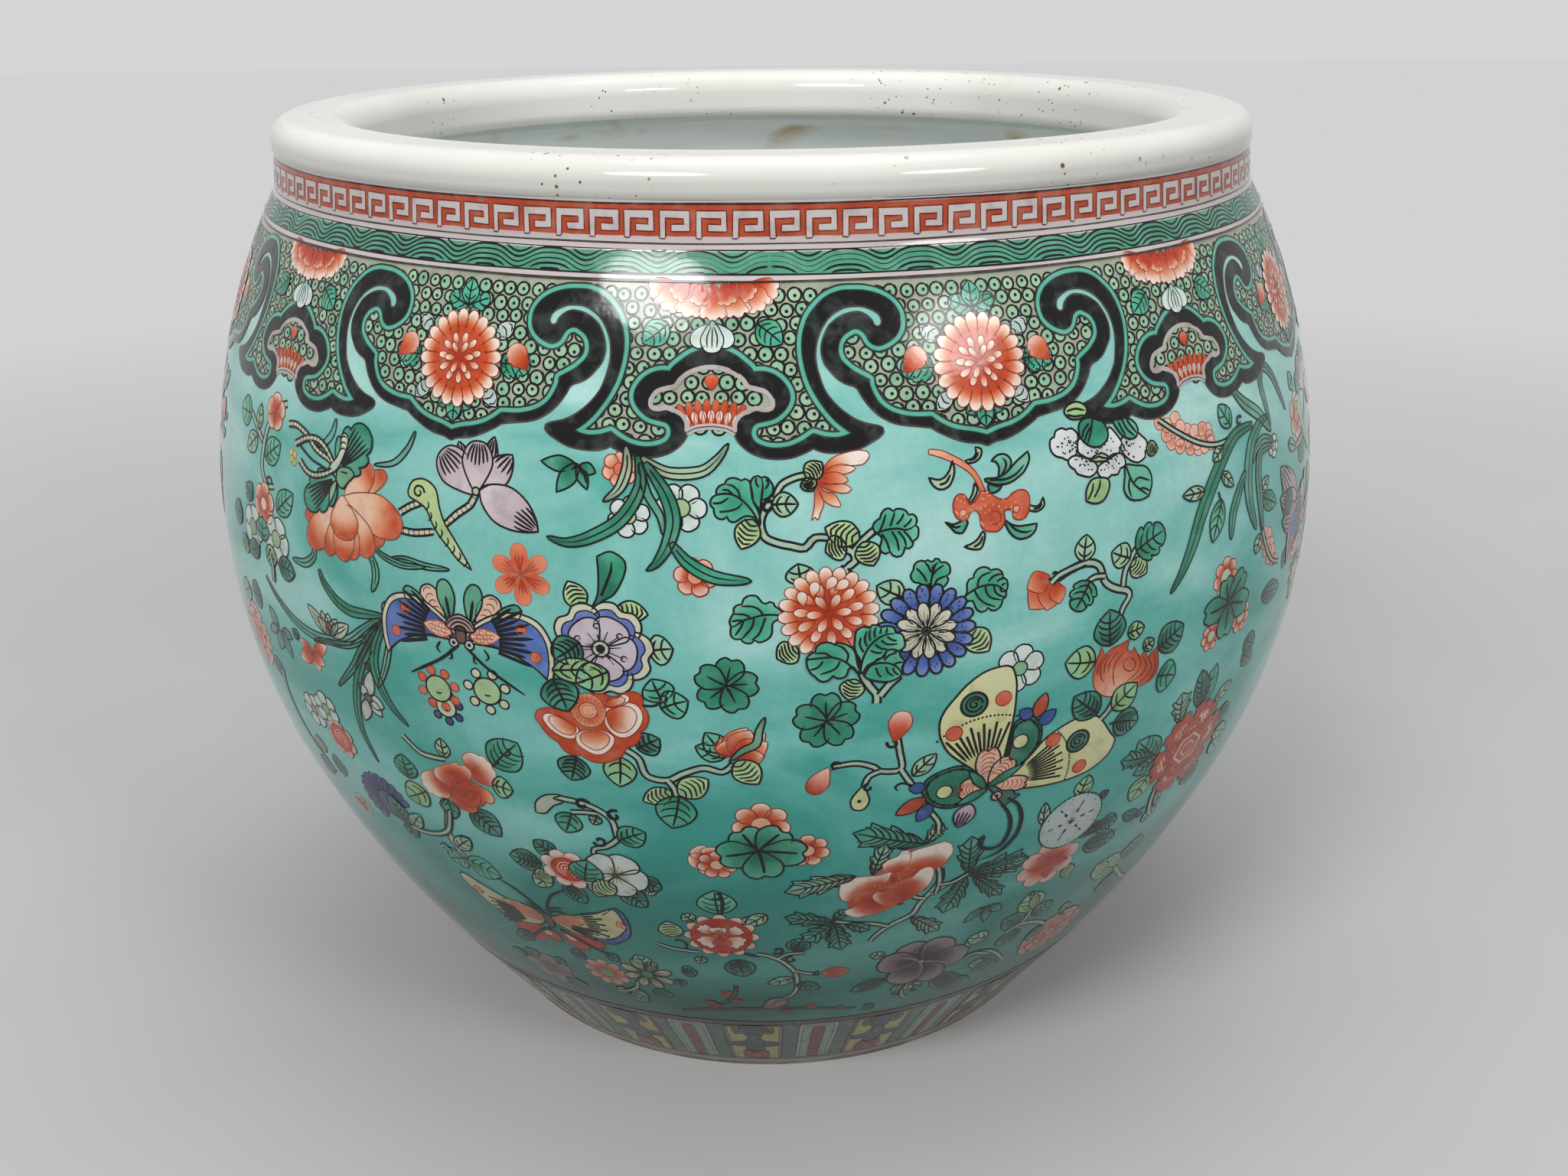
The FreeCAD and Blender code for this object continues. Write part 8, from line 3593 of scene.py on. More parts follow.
@motif("bloom_enamel", 28, 312)
def dotted_peony(p):
    """White peony with dotted petals, half under the collar."""
    white = [(0, (206, 212, 212)), (1, (236, 238, 236))]
    for control, middle in (
        (
            [
                (-17.9, 2.5), (-16.5, 0.9), (-14.1, 0, CORNER), (-12.4, -1), (-10.3, -0.9, CORNER),
                (-8.7, 0.9), (-8, 4.1), (-7.8, 6.8), (-9.9, 8.8), (-11.9, 8.6, CORNER), (-13.3, 9.3),
                (-15.7, 8.7), (-16.4, 6.9, CORNER), (-17.9, 6.3), (-18.3, 4.2),
            ],
            (-9.3, 2.7),
        ),
        (
            [
                (8.6, -0.7), (10.4, -3.5), (12.3, -5.1, CORNER), (15.2, -6.1), (18.3, -4.9),
                (18.5, -3.1, CORNER), (19.8, -2), (19.5, 0.4), (17.9, 2, CORNER), (16.4, 3.4),
                (12.8, 3.7), (9.3, 2.8),
            ],
            (10.1, 0.2),
        ),
        (
            [
                (-11.7, -3), (-10, -4.3, CORNER), (-9.2, -5.8), (-6.7, -6.9, CORNER), (-4.8, -7.5),
                (-3, -7, CORNER), (-1.4, -5.6), (-2.1, -3.3), (-5.5, -1.3), (-9.6, 0.1), (-12.1, -1),
            ],
            (-4.9, -1.6),
        ),
        (
            [
                (-1.3, -7.1), (-0.2, -8.4), (2.4, -9), (3.7, -8.2, CORNER), (6.3, -8.4),
                (7.5, -6.7, CORNER), (9.6, -6.1), (9.6, -3.6), (7.7, -1.8), (4.1, -2.7), (-0.2, -4.1),
                (-1.6, -5.5),
            ],
            (3, -3.3),
        ),
        (
            [
                (-8.2, 0.9), (-6.5, -0.4, CORNER), (-5.5, -1.2), (-2.9, -1.9), (-0.6, -1.5, CORNER),
                (2.1, -2.5), (5, -1.7, CORNER), (7.7, -1.6), (7.9, -0.1, CORNER), (9.1, 1.2), (7.4, 4.2),
                (4.7, 7.1), (3, 4.9), (-1.8, 5.1), (-7.4, 5.1), (-8.2, 3.6),
            ],
            (-0.9, 1.4),
        ),
    ):
        shape(p, control, graded(*middle, 9, white), 0.55)
        edge = smooth(control, True, 1.5)
        for k in range(34):
            share = rng.uniform(0.1, 0.72)
            x, y = np.array(middle) * (1 - share) + edge[rng.randrange(len(edge))] * share
            p.dot(x, y, 0.32, None, 0.4)
    shape(
        p,
        [(-2.6, -2.8), (-0.1, -3.2), (2.1, -3.3), (3.3, -2.3), (0.9, -0.7), (-1.3, -0.8), (-3.5, -1.8)],
        YELLOW_GREEN, 0.5,
    )


@motif("leaf_enamel", 28.3, 305, 12)
def dotted_peony_leaves(p):
    """Leaves of the dotted peony."""
    green = [(0, (66, 168, 134)), (0.35, (34, 132, 104)), (0.7, (60, 158, 124)), (1, (110, 190, 160))]
    for control in (
        [
            (-8.1, 12.6), (-5.7, 9.8), (-2.6, 8.6), (0.1, 8.9), (2.5, 11), (2.5, 13.8), (0.5, 16.8),
            (-3.4, 18.2), (-6.9, 17.8), (-8.3, 15.9),
        ],
        [(7.4, 11.8), (10, 9.5), (13.7, 9.1), (15.2, 11.7), (13.1, 14.9), (8.9, 16.2), (5.2, 16.1)],
        [
            (7.9, -2.7), (7.2, -7), (9.4, -10.3), (13.7, -11.4), (17.4, -10.8, CORNER), (19, -7),
            (18.8, -3.6), (16.8, -0.9), (12.5, 0.2), (8.6, 1),
        ],
    ):
        shape(p, control, graded(-1.5, 10, 16, green), 0.55)
    for control in (
        [
            (-4.9, -9.2), (-1.5, -8.9), (1, -5.9), (1.3, -2.6), (-1.7, -1.3), (-5.3, -1.5), (-7.5, -4.5),
            (-7.8, -7.9, CORNER),
        ],
        [
            (-11.2, 18.9), (-7.3, 18.4), (-4.7, 19.8), (-4.8, 22), (-7.8, 23.8), (-11.2, 23.3),
            (-13.1, 21.4),
        ],
    ):
        shape(p, control, (166, 204, 140), 0.55)
    for curve in (
        [(-2.8, 17.6), (-4, 13.6), (-5.7, 10.1)], [(-4.4, 16.4), (-6.5, 14.6), (-7.5, 12.2)],
        [(-3.8, 15.3), (-5.5, 13.3), (-6.7, 11)], [(8.9, 15.9), (10.5, 12.5), (13.7, 9.5)],
        [(7.3, 15.2), (8.4, 12.9), (9.8, 10.1)], [(10.9, 15.3), (12.7, 12.7), (14.5, 10.5)],
        [(8.6, 0.6), (11.2, -5.5), (17.1, -10.5)], [(11.2, -5.5), (13.5, -4), (18.2, -5.8)],
        [(10, -3), (9.1, -6.3), (10.1, -9.8)], [(13.2, -7.9), (15.1, -7.7), (17.9, -9.1)],
        [(-7.1, -7.6), (-5.3, -4.9), (-4.8, -2.5)], [(-4.7, -7.2), (-2.5, -4.2), (-2, -1.8)],
        [(-12.1, 21.3), (-8.8, 21.7), (-5.3, 20.7)], [(-12, 20.2), (-9.2, 19.3), (-5.9, 19.4)],
    ):
        p.line(smooth(curve, False, 0.9), 0.6, None, (0.9, 0.4), 0.5)
    leaves(p, "striped", (17.9, 4.8, 351, 5.1, 5))


@motif("coral_enamel", 38.7, 312)
def coral_berries(p):
    """Slanting spray of coral berries."""
    berries = [
        (-13.7, 5), (-10.4, 3.5), (-6.2, 5), (-11.2, 0.5), (-7.4, 1), (-4.2, 1.8), (-9.2, -2.5),
        (-5.2, -2.2), (-1.2, 0), (-5.2, -4.5), (-1.2, -3.5), (2.6, -1), (-0.2, -6), (3.3, -5),
        (6.3, -3.5), (6.8, -1), (3.8, -7), (7.3, -7), (10.3, -4.5), (10.8, -6.5), (9.8, -2),
    ]
    for first in (0, 1):
        p.up()
        for number, (x, y) in enumerate(berries):
            if number % 2 == first:
                tint = CORAL if number % 3 == 0 else (238, 168, 140)
                p.field(
                    circle(x, y, 2.5, 12), graded(x, y, 2.6, [(0, tint), (1, (248, 208, 190))]), 2.2, 0.3,
                    RED_LINE,
                )
    p.up()
    stem(p, [(-14.2, 6), (-6.2, 0.5), (3.8, -5), (13.8, -7.8), (23.8, -7.5), (30.8, -6.5)], 1.0)


@motif("leaf_enamel", 42.7, 295, 10)
def right_orchid(p):
    """Broad orchid leaves on the right."""
    blade(p, [(12.3, 25.5), (18.8, 19.5), (29.8, 12.5), (37.8, 5)], 4.6, (110, 178, 152))
    blade(
        p, [(34.8, 11), (27.8, 9.5), (20.8, 4), (17.3, -6), (17.8, -16), (22.8, -27.2)], 5.4,
        (76, 160, 132),
    )
    blade(p, [(38.8, 1), (30.8, 3.8), (23.8, 1.5), (20.8, -3)], 3.4, (90, 160, 136))
    blade(p, [(37.8, 0), (27.8, 0), (24.8, -7), (25.8, -18), (27.8, -29)], 4.0, (90, 150, 130))
    blade(p, [(15.3, -4), (10.8, -9.5), (6.3, -17), (5.1, -26)], 4.2, (70, 150, 124))
    blade(
        p,
        [
            (22.8, 11), (10.8, 10), (1.8, 4), (-6.2, -4.5), (-12.2, -13), (-17.2, -23), (-22.2, -31),
            (-26.9, -36.7),
        ],
        5.8,
    )
    leaves(p, "fresh", (8.3, 13.5, 125, 10.4, 7.5), (-0.7, -10, 249, 15, 8))
    leaves(p, "pale", (-9.7, -5, 176, 11.5, 5), (0.3, -1, 317, 9.1, 4.5), (1.8, 7.5, 210, 6.9, 5))
    tendril(p, [(-2.2, -7), (-0.7, -11.5)])
    curl(p, 14, 14, 30, 2.0, 0.9, 0.8)


@motif("leaf_enamel", 28.8, 269)
def right_vine(p):
    """Vine between the coral bud and the shell flower."""
    stem(
        p,
        [
            (-21, 4.5), (-16.5, 6.5), (-10.5, 7.8), (-5.5, 6), (-3, 0), (1, -3), (6, -5), (7, -7),
            (4.5, -10.5), (3.5, -13),
        ],
        1.7,
    )
    stem(p, [(4.2, -3), (5, 2), (8.5, 7.5), (11, 10)], 1.4)
    stem(p, [(-3, 2), (-7, 2.5), (-10.5, 1)], 1.2)
    leaves(p, "pale", (-11.2, 8.5, 82, 8.8, 7.5), (7, 6, 155, 8.3, 8.5))
    leaves(p, "striped", (7.5, 4.5, 322, 8.2, 7.5))
    leaves(p, "lobed", (-9, 1.5, 239, 10.5, 9.5), (9.5, 8, 20, 13.3, 12))


@motif("bloom_enamel", 32.4, 269)
def white_stub(p):
    """Small pale bud of the right vine."""
    p.up()
    p.field(circle(-1.7, 1.2, 2.0), (200, 206, 180), 2, 0.5)


@motif("leaf_enamel", 31.2, 249, 8)
def shell_leaves(p):
    """Leaves round the coral shell flower."""
    leaves(p, "deep", (-9, -3, 94, 13, 12.5), (12.5, -10, 28, 13, 12))
    leaves(p, "lime", (-14.5, -7.5, 170, 11.7, 11.5), (-2, -0.5, 8, 7.1, 6.5), (5.5, -8, 29, 5.1, 5.5))


@motif("coral_enamel", 30.8, 237, 4)
def shell_flower(p):
    """Coral flower folded like a shell, with curved lines."""
    shell = [(0, (244, 206, 186)), (0.3, (236, 164, 130)), (0.6, (214, 98, 56)), (1, (192, 70, 36))]
    shape(
        p,
        [
            (-9.9, -8.4), (-6.5, -10.4), (-2.6, -11), (1.3, -9.9), (5.1, -10.4), (8.1, -10.2),
            (11.8, -9.6), (14.4, -7.6), (15, -4.5), (14.4, -1), (13.4, 3, CORNER), (11.1, 1.5),
            (9.2, 0.1, CORNER), (7.8, 3), (6.3, 1.3, CORNER), (4.5, 2.9), (2.9, 5.9, CORNER), (1.7, 4),
            (-0.1, 5.9, CORNER), (0.5, 9.3, CORNER), (-3.2, 8.3), (-6.7, 7.7), (-9.4, 5.7, CORNER),
            (-10.9, 9.4, CORNER), (-11.9, 6.1), (-12.7, 3), (-13.3, -1.4), (-12.2, -5.5),
        ],
        graded(-4.4, -10.6, 22, shell), 0.45, RED_LINE, grain=2.4, step=1.0,
    )
    for curve in (
        [(0.6, 2.2), (-1.2, 1.2), (-0.3, -1.6), (2.6, -3.1), (4.2, -1.7), (3.1, 1.1), (1, 2.4)],
        [(-1.6, 4.9), (-4.3, 2.3), (-5.2, -1.8), (-4, -6.9)], [(-4, 6), (-6.9, 2.7), (-7.4, -1.3)],
        [(-6.1, 6.3), (-8.8, 2.9), (-8.9, -1.2)], [(-8, 5.9), (-10.5, 2.7), (-10.2, -1.8), (-8.6, -4.2)],
        [(-9.9, 5.6), (-11.6, 2.2), (-11.6, -1)], [(4.5, 2.6), (6.7, -1.5), (4.9, -4.6), (0.9, -6.9)],
        [(7.1, 1.1), (9.2, -2.9), (7.4, -6), (3.6, -7)],
        [(9.5, 0.4), (11.8, -4.2), (9.8, -7.4), (6.7, -8.9)],
        [(12, 0.7), (13.7, -5), (11.8, -8.7), (8.9, -10.1)],
    ):
        p.line(smooth(curve, False, 0.9), 0.5, (116, 40, 22), (0.7, 0.4), 0.4)


@motif("leaf_enamel", 31.5, 222, 14)
def shell_low_leaves(p):
    """Leaves below the shell flower."""
    stem(p, [(-10.7, -4), (-7.7, -1), (-5.7, 3)], 1.6)
    leaves(p, "deep", (-12.2, -1, 139, 13.8, 11))
    leaves(p, "lime", (-6.2, -1, 38, 12.1, 11))
    leaves(p, "emerald", (12.8, 6, 347, 9.2, 12))
    leaves(p, "dark", (-4.2, -7, 347, 11.3, 11))
    tendril(p, [(-6.2, -7), (-3.2, -7.2)])


@motif("leaf_enamel", 44.3, 245, 12)
def clover_three(p):
    """Clover with coral blossoms behind it."""
    shade = [(0, (20, 92, 76)), (0.55, (42, 136, 108)), (1, (70, 166, 138))]
    for place in (
        (-0.2, 0, 104, 10.3, 9), (-0.2, 0, 45, 13.4, 9), (-0.2, 0, 182, 13.5, 10),
        (-0.2, 0, 345, 13.9, 10.5), (-0.2, 0, 270, 12.5, 10.5),
    ):
        p.up()
        spine = petal(p, *place, shade, HEART, 0.55)
        p.line(spine.track([(0, 0), (0.4, 0.2), (0.8, 0)]), 0.9, None, (1, 0.6), 0.4)


@motif("coral_enamel", 44.3, 247)
def clover_three_flowers(p):
    """Coral blossoms behind the clover."""
    for x, y, radius in ((-2.9, 9, 7.4), (-8.4, -12, 5.6), (10.3, -10.5, 6.2)):
        blossom(p, x, y, radius, 7, 90, WHITE_TIP, RED_LINE, (200, 214, 180), 0.4)


@motif("bloom_enamel", 28.3, 173.5, 6)
def wheel_flower(p):
    """White wheel flower with black spokes and a dotted rim."""
    p.up()
    p.field(
        circle(0.1, -0.3, 13.2),
        graded(0, 0, 13, [(0, (190, 206, 200)), (0.5, (206, 214, 212)), (1, (186, 206, 200))]), 2.8, 0.35,
    )
    for k in range(12):
        way = math.radians(30 * k + 12)
        near, far = (1.0, 11.6) if k % 2 else (4.0, 9.6)
        width = 0.7 if k % 2 else 1.2
        p.line(
            [(near * math.cos(way), near * math.sin(way)), (far * math.cos(way), far * math.sin(way))],
            width, None, (0.8, 0.4), 0.3,
        )
    for k in range(40):
        way = math.radians(9 * k)
        p.dot(13.2 * math.cos(way), -0.3 + 13.2 * math.sin(way), 0.48, None, 0.5)
    p.dot(0, -0.3, 1.0, None, 0.6)


@motif("leaf_enamel", 28.5, 185)
def wheel_leaves(p):
    """Leaves round the wheel flower."""
    leaves(p, "lime", (-0.4, 0, 81, 9.6, 8))
    leaves(p, "pale", (-13.4, -9, 98, 11.1, 4.5))
    leaves(p, "deep", (9.6, -4.5, 34, 4.5, 4.5))
    leaves(p, "dark", (14.6, -20.5, 354, 10.3, 10))
    tendril(p, [(8.1, -17), (11.1, -19.5), (15.1, -20.2)])


@motif("coral_enamel", 42.8, 187, 12)
def rose_peony(p):
    """Coral rose peony with rings of white edged petals."""
    rosette(p, -0.1, -0.2, 19.5, 6, 70, ROSE_OUTER, ROSE_INNER, (222, 110, 80))
    p.up()
    for radius, tint in (
        (9.6, (206, 72, 38)), (7.6, (244, 206, 190)), (6.0, (210, 82, 50)), (4.2, (240, 180, 156)),
        (2.6, (212, 90, 58)),
    ):
        p.up()
        ring = circle(0, -0.2, radius, 0, 0.86)
        ring = ring * (1 + 0.07 * np.sin(6 * np.arctan2(ring[:, 1], ring[:, 0])))[:, None]
        p.field(ring, tint, 2.4, 0.35, RED_LINE)


@motif("leaf_enamel", 40.8, 200)
def rose_leaves(p):
    """Leaves round the coral rose peony."""
    leaves(p, "pale_toothed", (-3.6, 2.5, 101, 13.8, 10))
    leaves(p, "fresh", (8.4, 4, 77, 18, 9))
    leaves(p, "deep", (7.9, 5, 106, 17.9, 9))
    leaves(p, "pale", (17.9, 3.5, 27, 11.2, 6))
    leaves(p, "emerald", (-11.6, -9.5, 139, 17.4, 12), (-11.1, -10, 200, 11.7, 8))
    leaves(p, "toothed", (-14.1, -8, 168, 17.4, 8))
    leaves(p, "lime", (-13.1, -17.5, 246, 12.1, 12))
    leaves(p, "dark", (24.9, -5, 342, 9.5, 9), (16.9, -28, 315, 12.7, 11))
    leaves(p, "pale", (27.9, -15, 342, 12.6, 8), (29.9, -21, 324, 13.6, 8), (-1.1, -28, 287, 13.6, 4))
    stem(p, [(-4.1, -29), (-3.1, -35), (-0.1, -42), (2.9, -45)], 1.4)
    curl(p, -6.1, -40, 60, 3.0, 0.9, 0.9)


@motif("leaf_enamel", 50.6, 219)
def right_far_leaves(p):
    """Leaves at the right edge."""
    leaves(p, "deep", (-5.8, 4.5, 336, 11, 9), (-4.8, -1, 329, 11.7, 8))


@motif("coral_enamel", 27.5, 152, 4)
def coral_wheel(p):
    """Coral flower with a red cross of strokes."""
    soft = [(0, (190, 56, 32)), (0.45, (214, 100, 70)), (0.75, (236, 196, 180)), (1, (240, 214, 202))]
    blossom(p, 0.1, 0, 13.6, 8, 20, soft, (170, 90, 70), None, 0, 0, ROUND, 0.3, 1.3)
    petals(
        p,
        (
            (0.4, 0, 142, 8.9, 5), (0.4, 0, 192, 9.7, 5), (0.4, -0.5, 284, 10.3, 6),
            (0.4, 0, 349, 10.2, 5), (0.4, 0, 38, 8.2, 4),
        ),
        [(0, (186, 48, 28)), (1, (200, 70, 46))], POINTED, 0, rise=0,
    )
    p.dot(0.4, 0, 2.2, (190, 50, 30), 1)


@motif("leaf_enamel", 32.3, 150)
def wheel_low_leaves(p):
    """Leaves beside the coral cross flower."""
    leaves(p, "dark", (-2.2, 5, 352, 17.2, 12), (-13.2, 15, 356, 23, 7))
    leaves(p, "striped", (-6.2, -4.5, 293, 10.3, 6.5))


@motif("leaf_enamel", 28, 122)
def low_right_sprig(p):
    """Upright sprig with a pale bud and two round leaves."""
    stem(p, [(-5, -14.5), (1, -11.5), (10, -14), (18, -19), (23, -25), (31, -30.5)], 1.6)
    stem(p, [(2, -11), (3, -5), (2.5, -1)], 1.3)
    leaves(p, "lime", (3.5, -2, 117, 15.7, 12.5))
    leaves(p, "deep", (0.5, -10, 144, 13.6, 11), (6, -7.5, 39, 10.3, 12))
    leaves(p, "striped", (3.5, -1, 108, 11.5, 5))
    curl(p, -1.5, 11, 100, 1.8, 0.9, 0.8)


@motif("leaf_enamel", 38.1, 131)
def round_pale_leaf(p):
    """Round pale leaf with a long stalk."""
    leaves(p, "lime", (11.1, -7, 149, 21.1, 15))
    p.up()
    leaves(p, "striped", (2.1, -6, 132, 13.5, 9))
    leaves(p, "deep", (15.1, -3, 81, 13.2, 14), (12.1, -12, 290, 14.9, 13))
    stem(p, [(11.6, -7), (19.1, -14), (28.1, -22), (40.1, -30)], 1.5)


@motif("leaf_enamel", 26.7, 89)
def low_right_leaves(p):
    """Leaves over the foot on the right."""
    leaves(p, "dark", (-7.1, 0, 319, 21.3, 12), (8.9, 16, 209, 12.5, 11), (-27.1, -4, 311, 21.3, 13))
    leaves(p, "pale", (-10.1, 20, 163, 10.4, 9), (-4.1, -4, 153, 6.7, 7), (28.9, 20, 18, 6.3, 6))
    stem(p, [(-16.1, 6), (-10.1, 8), (-3.1, 6), (3.9, 0), (10.9, -8)], 1.5)
    leaves(p, "deep", (-19.1, -14, 335, 18.8, 11), (19.9, 12, 293, 13, 10), (44.9, 70, 149, 11.7, 6))
    leaves(p, "pale", (52.9, 63, 77, 9.2, 7))


@motif("coral_enamel", 36, 91, 6)
def low_right_peony(p):
    """Coral peony low on the right."""
    peony(
        p, 0, -1, 17, 20,
        [(0, (150, 34, 18)), (0.55, (190, 60, 38)), (0.8, (214, 130, 108)), (1, (220, 190, 176))], 0.8, 7,
    )


@motif("bloom_enamel", 53.1, 294.5, 2)
def pale_bud_flower(p):
    """White bud where the orchid leaves meet."""
    p.up()
    blossom(p, -0.1, -0.3, 4.4, 5, 60, WHITE_STOPS, None, (206, 190, 190), 0.4)


@motif("coral_enamel", 50.9, 257)
def right_coral_spray(p):
    """Coral berries hanging on a stem."""
    for number, (x, y) in enumerate(
        [
            (-3.4, 6), (-0.4, 7.5), (3.1, 6), (-0.9, 3.5), (2.6, 2.5), (6.1, 1.5), (0.6, 0), (4.1, -1),
            (8.1, -2), (4.1, -4), (7.6, -5.5), (10.6, -6.5), (-4.9, 4),
        ]
    ):
        tint = CORAL if number % 3 == 0 else (232, 150, 120)
        p.up(0.4)
        p.field(
            circle(x, y, 2.3, 12), graded(x, y, 2.4, [(0, tint), (1, (246, 206, 186))]), 2.2, 0.3,
            RED_LINE,
        )
    p.up()
    stem(p, [(-5.4, 22), (-4.4, 14), (-2.4, 8), (2.1, 0), (8.1, -6), (14.6, -8.5)], 1.1)
    leaves(p, "pale", (-4.4, 8, 242, 7.4, 6))


@motif("leaf_enamel", 51.5, 275)
def right_tulip_leaf(p):
    """Leaf and curl on the orchid's stem."""
    leaves(p, "emerald", (-5.1, 3, 335, 13.2, 7.5))
    leaves(p, "pale", (-6.6, 5.5, 30, 8.1, 5))
    blade(
        p, [(4.9, 27), (1.9, 38), (0.9, 44), (4.9, 48.5), (11.9, 44), (17.9, 35), (21.9, 28.5)], 3.6,
        (120, 180, 160),
    )


@motif("bloom_enamel", 56.8, 273, 6)
def lilac_lotus_bud(p):
    """Lilac lotus bud seen from the side."""
    lilac = [(0, (176, 150, 150)), (0.5, (196, 176, 178)), (1, (180, 150, 156))]
    for place in ((14, -12, 133, 32.2, 14), (16, -12, 154, 27.3, 13), (14, -13, 171, 20.2, 12)):
        p.up()
        spine = petal(p, *place, lilac, OVAL, 0.5)
        tip_veins(p, spine, place[4], 5, 0.5)
    p.up()
    p.field(circle(1, -4, 5.0), (70, 84, 84), 2.4, 0.5)


@motif("coral_enamel", 60.5, 259)
def far_right_peony(p):
    """Coral peony at the right edge."""
    peony(p, 0.1, -3, 13, 40, CORAL_STOPS, 1.0, 6)


@motif("leaf_enamel", 62.7, 283)
def far_right_leaves(p):
    """Leaves at the right edge."""
    leaves(p, "deep", (-6.2, 4, 330, 13.9, 11), (-20.2, -32, 249, 8.5, 7), (-42.2, -44, 351, 18.2, 9))
    leaves(p, "pale", (-20.2, 8, 338, 10.8, 5))
    leaves(p, "fresh", (-6.2, 30, 207, 6.7, 8), (-2.2, 28, 328, 9.4, 8))


@motif("coral_enamel", 61.3, 297)
def far_right_flower(p):
    """Pale coral flower at the right edge."""
    blossom(p, -0.9, 1, 9, 6, 30, WHITE_TIP, RED_LINE, (226, 140, 116), 0.3)



# Motifs of the middle of the front that also fill the flanks between front and back.
FLANK_MOTIFS = (
    lilac_lotus, curled_grub, coral_star, blue_butterfly, blue_plum, plum_leaves, plum_leaves_front,
    orchid_grass, twin_leaf, clover_one, front_peony, front_peony_leaves, spray_bud, folded_leaf,
    bead_flowers, vine_middle, white_plum, coral_round, white_plum_leaves, vine_top, coral_lotus_bud,
    lingzhi_spray, red_chrysanthemum, chrysanthemum_leaves, blue_aster, aster_leaves, aster_leaves_front,
    clover_two, bud_spray, spray_buds, big_clover, clover_flowers, tilted_peony, peony_leaves,
    red_round_peony, red_peony_leaves, cream_aster, low_coral_flower, low_left_leaves, coral_branch,
    low_vine, low_buds, mauve_hibiscus, hibiscus_leaves, foot_branch,
)


# The back repeats the front, each flank some of it, and a few motifs fill what is left at the back.
for side, turn in (("front", 0.0), ("back", 180.0)):
    for paint in MOTIFS:
        paint(side, turn)
for side, turn in (("right", 92.0), ("left", 272.0)):
    for paint in FLANK_MOTIFS:
        paint(side, turn)
BACK_LEFT = ((mauve_hibiscus, 224), (hibiscus_leaves, 224), (big_clover, 243), (clover_flowers, 243))
BACK_RIGHT = (
    (coral_star, 137.5), (clover_one, 128.0), (bud_spray, 109.7), (spray_buds, 109.7), (big_clover, 133),
    (clover_flowers, 133), (cream_aster, 137.2), (red_round_peony, 142.8), (red_peony_leaves, 142.8),
)
for side, places in (("back_left", BACK_LEFT), ("back_right", BACK_RIGHT)):
    for paint, turn in places:
        paint(side, turn)
for number, heap in enumerate(QUARTERS):
    heap.build("motif_lines_%d" % (number + 1), "line_pigment", LINES)


# Stage, camera and light


def plane(name, size, level, material):
    mesh = bpy.data.meshes.new(name)
    half = size / 2
    corners = [(-half, -half, level), (half, -half, level), (half, half, level), (-half, half, level)]
    mesh.from_pydata(corners, [], [(0, 1, 2, 3)])
    mesh.materials.append(material)
    made = bpy.data.objects.new(name, mesh)
    bpy.context.scene.collection.objects.link(made)
    return made


def seen_directly(tree):
    """1 for what the camera sees, also in a reflection or through glass, and 0 for other light."""
    path = tree.nodes.new("ShaderNodeLightPath")
    total = path.outputs["Is Camera Ray"]
    for name in ("Is Glossy Ray", "Is Transmission Ray"):
        either = tree.nodes.new("ShaderNodeMath")
        either.operation = "MAXIMUM"
        tree.links.new(total, either.inputs[0])
        tree.links.new(path.outputs[name], either.inputs[1])
        total = either.outputs[0]
    return total


def floor_material():
    """Pale floor that keeps the shadow near the object and runs out evenly pale far from it."""
    floor = Glaze("studio_floor", 0.7, 0.2)
    tone = floor.ramp(floor.noise(3, 3), [(0.3, (188, 188, 187)), (0.7, (196, 196, 195))])
    floor.colour(tone)
    tree = floor.tree
    distance = floor.add("ShaderNodeVectorMath", Vector=floor.place)
    distance.operation = "LENGTH"
    far = floor.share(distance.outputs["Value"], 0.35, 1.5)
    pale = floor.add("ShaderNodeEmission", Color=solid((210, 210, 210)))
    dim = floor.add("ShaderNodeBsdfDiffuse", Color=solid((84, 84, 84)))
    shown = floor.add("ShaderNodeMixShader", Fac=far)
    tree.links.new(floor.shader.outputs[0], shown.inputs[1])
    tree.links.new(pale.outputs[0], shown.inputs[2])
    either = floor.add("ShaderNodeMixShader", Fac=seen_directly(tree))
    tree.links.new(dim.outputs[0], either.inputs[1])
    tree.links.new(shown.outputs[0], either.inputs[2])
    tree.links.new(either.outputs[0], tree.nodes["Material Output"].inputs["Surface"])
    return floor.material


# Strength of the soft light from the horizon and from straight above.
SKY_LOW, SKY_HIGH = 0.2, 0.7


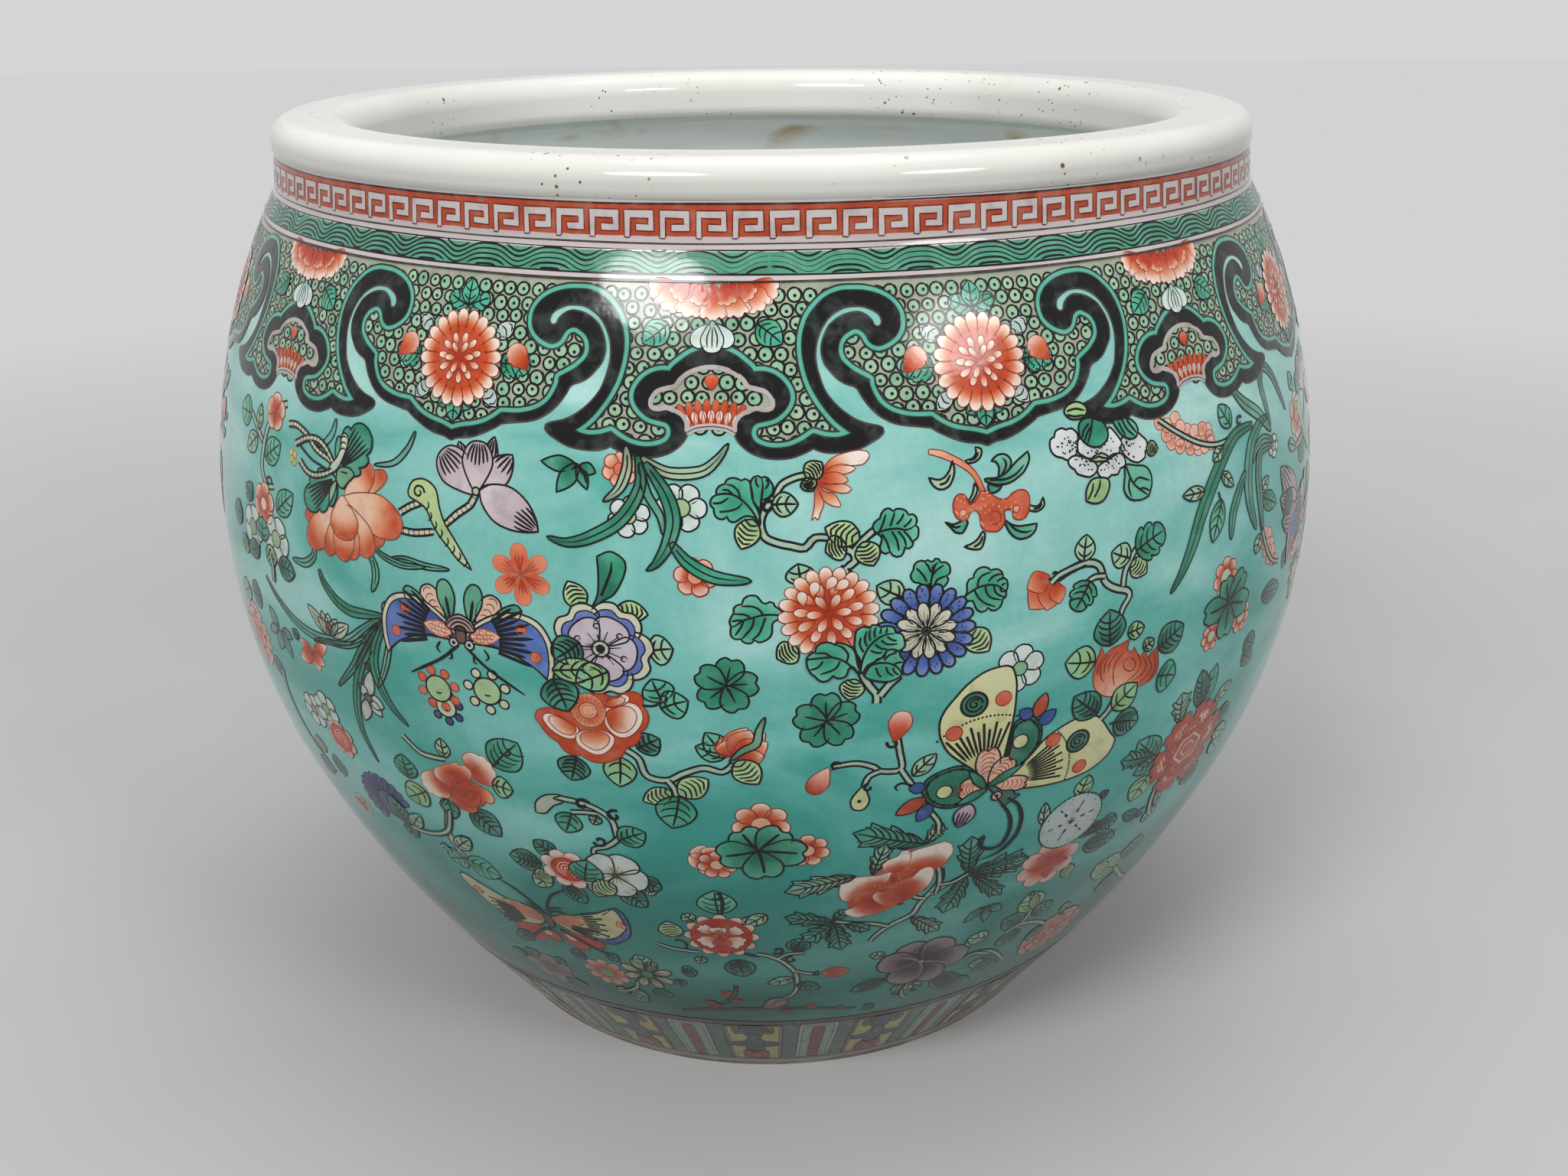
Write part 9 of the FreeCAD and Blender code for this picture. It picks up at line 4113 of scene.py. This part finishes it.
def world_light():
    """Pale to the camera and in reflections, a soft light from above on the object."""
    world = bpy.data.worlds.new("studio")
    world.use_nodes = True
    tree = world.node_tree
    tree.nodes.clear()
    seen = tree.nodes.new("ShaderNodeBackground")
    seen.inputs["Color"].default_value = solid((214, 214, 214))
    lit = tree.nodes.new("ShaderNodeBackground")
    lit.inputs["Color"].default_value = (0.97, 0.98, 1.0, 1)
    place = tree.nodes.new("ShaderNodeTexCoord")
    parts = tree.nodes.new("ShaderNodeSeparateXYZ")
    tree.links.new(place.outputs["Generated"], parts.inputs["Vector"])
    height = tree.nodes.new("ShaderNodeMapRange")
    height.inputs["To Min"].default_value, height.inputs["To Max"].default_value = SKY_LOW, SKY_HIGH
    tree.links.new(parts.outputs["Z"], height.inputs["Value"])
    tree.links.new(height.outputs["Result"], lit.inputs["Strength"])
    either = tree.nodes.new("ShaderNodeMixShader")
    out = tree.nodes.new("ShaderNodeOutputWorld")
    tree.links.new(seen_directly(tree), either.inputs["Fac"])
    tree.links.new(lit.outputs[0], either.inputs[1])
    tree.links.new(seen.outputs[0], either.inputs[2])
    tree.links.new(either.outputs[0], out.inputs["Surface"])
    bpy.context.scene.world = world


def lamp(name, place, aim_level, size, power):
    """A soft elliptic lamp that points at the axis of the bowl; its power is in watts."""
    light = bpy.data.lights.new(name, "AREA")
    light.shape = "ELLIPSE"
    light.size, light.size_y = size
    light.energy = power
    made = bpy.data.objects.new(name, light)
    made.location = place
    made.rotation_euler = (Vector((0, 0, aim_level)) - Vector(place)).to_track_quat("-Z", "Y").to_euler()
    bpy.context.scene.collection.objects.link(made)


# Camera of the photograph: its place in metres, its turns in radians and its lens in millimetres.
CAMERA_PLACE = Vector((-0.00675, -0.6809, 0.4358))
CAMERA_YAW, CAMERA_PITCH, CAMERA_ROLL = 0.02021, 0.38107, 0.00881
CAMERA_LENS, CAMERA_SENSOR = 36.706, 36


def camera():
    """Camera at the photograph's place: its facing comes from a yaw, a pitch and a small roll."""
    yaw, pitch, roll = CAMERA_YAW, CAMERA_PITCH, CAMERA_ROLL
    data = bpy.data.cameras.new("camera")
    data.sensor_width = CAMERA_SENSOR
    data.lens = CAMERA_LENS
    data.clip_start, data.clip_end = 0.01, 50
    made = bpy.data.objects.new("camera", data)
    bpy.context.scene.collection.objects.link(made)
    level = math.cos(pitch)
    forward = Vector((math.sin(yaw) * level, math.cos(yaw) * level, -math.sin(pitch)))
    level_right = Vector((math.cos(yaw), -math.sin(yaw), 0))
    level_up = level_right.cross(forward)
    right = level_right * math.cos(roll) - level_up * math.sin(roll)
    up = level_right * math.sin(roll) + level_up * math.cos(roll)
    facing = Matrix((right, up, -forward)).transposed().to_4x4()
    made.matrix_world = Matrix.Translation(CAMERA_PLACE) @ facing
    bpy.context.scene.camera = made


plane("studio_floor", 12, 0.0, floor_material())
world_light()
lamp("key", (-0.8, -1.65, 1.75), 0.25, (0.8, 0.55), 24)
lamp("fill", (1.3, -1.6, 1.4), 0.25, (0.7, 0.5), 12)
lamp("top", (0.1, 0.1, 2.1), 0.3, (1.5, 1.5), 9)
camera()

bpy.context.scene.view_settings.view_transform = "Standard"
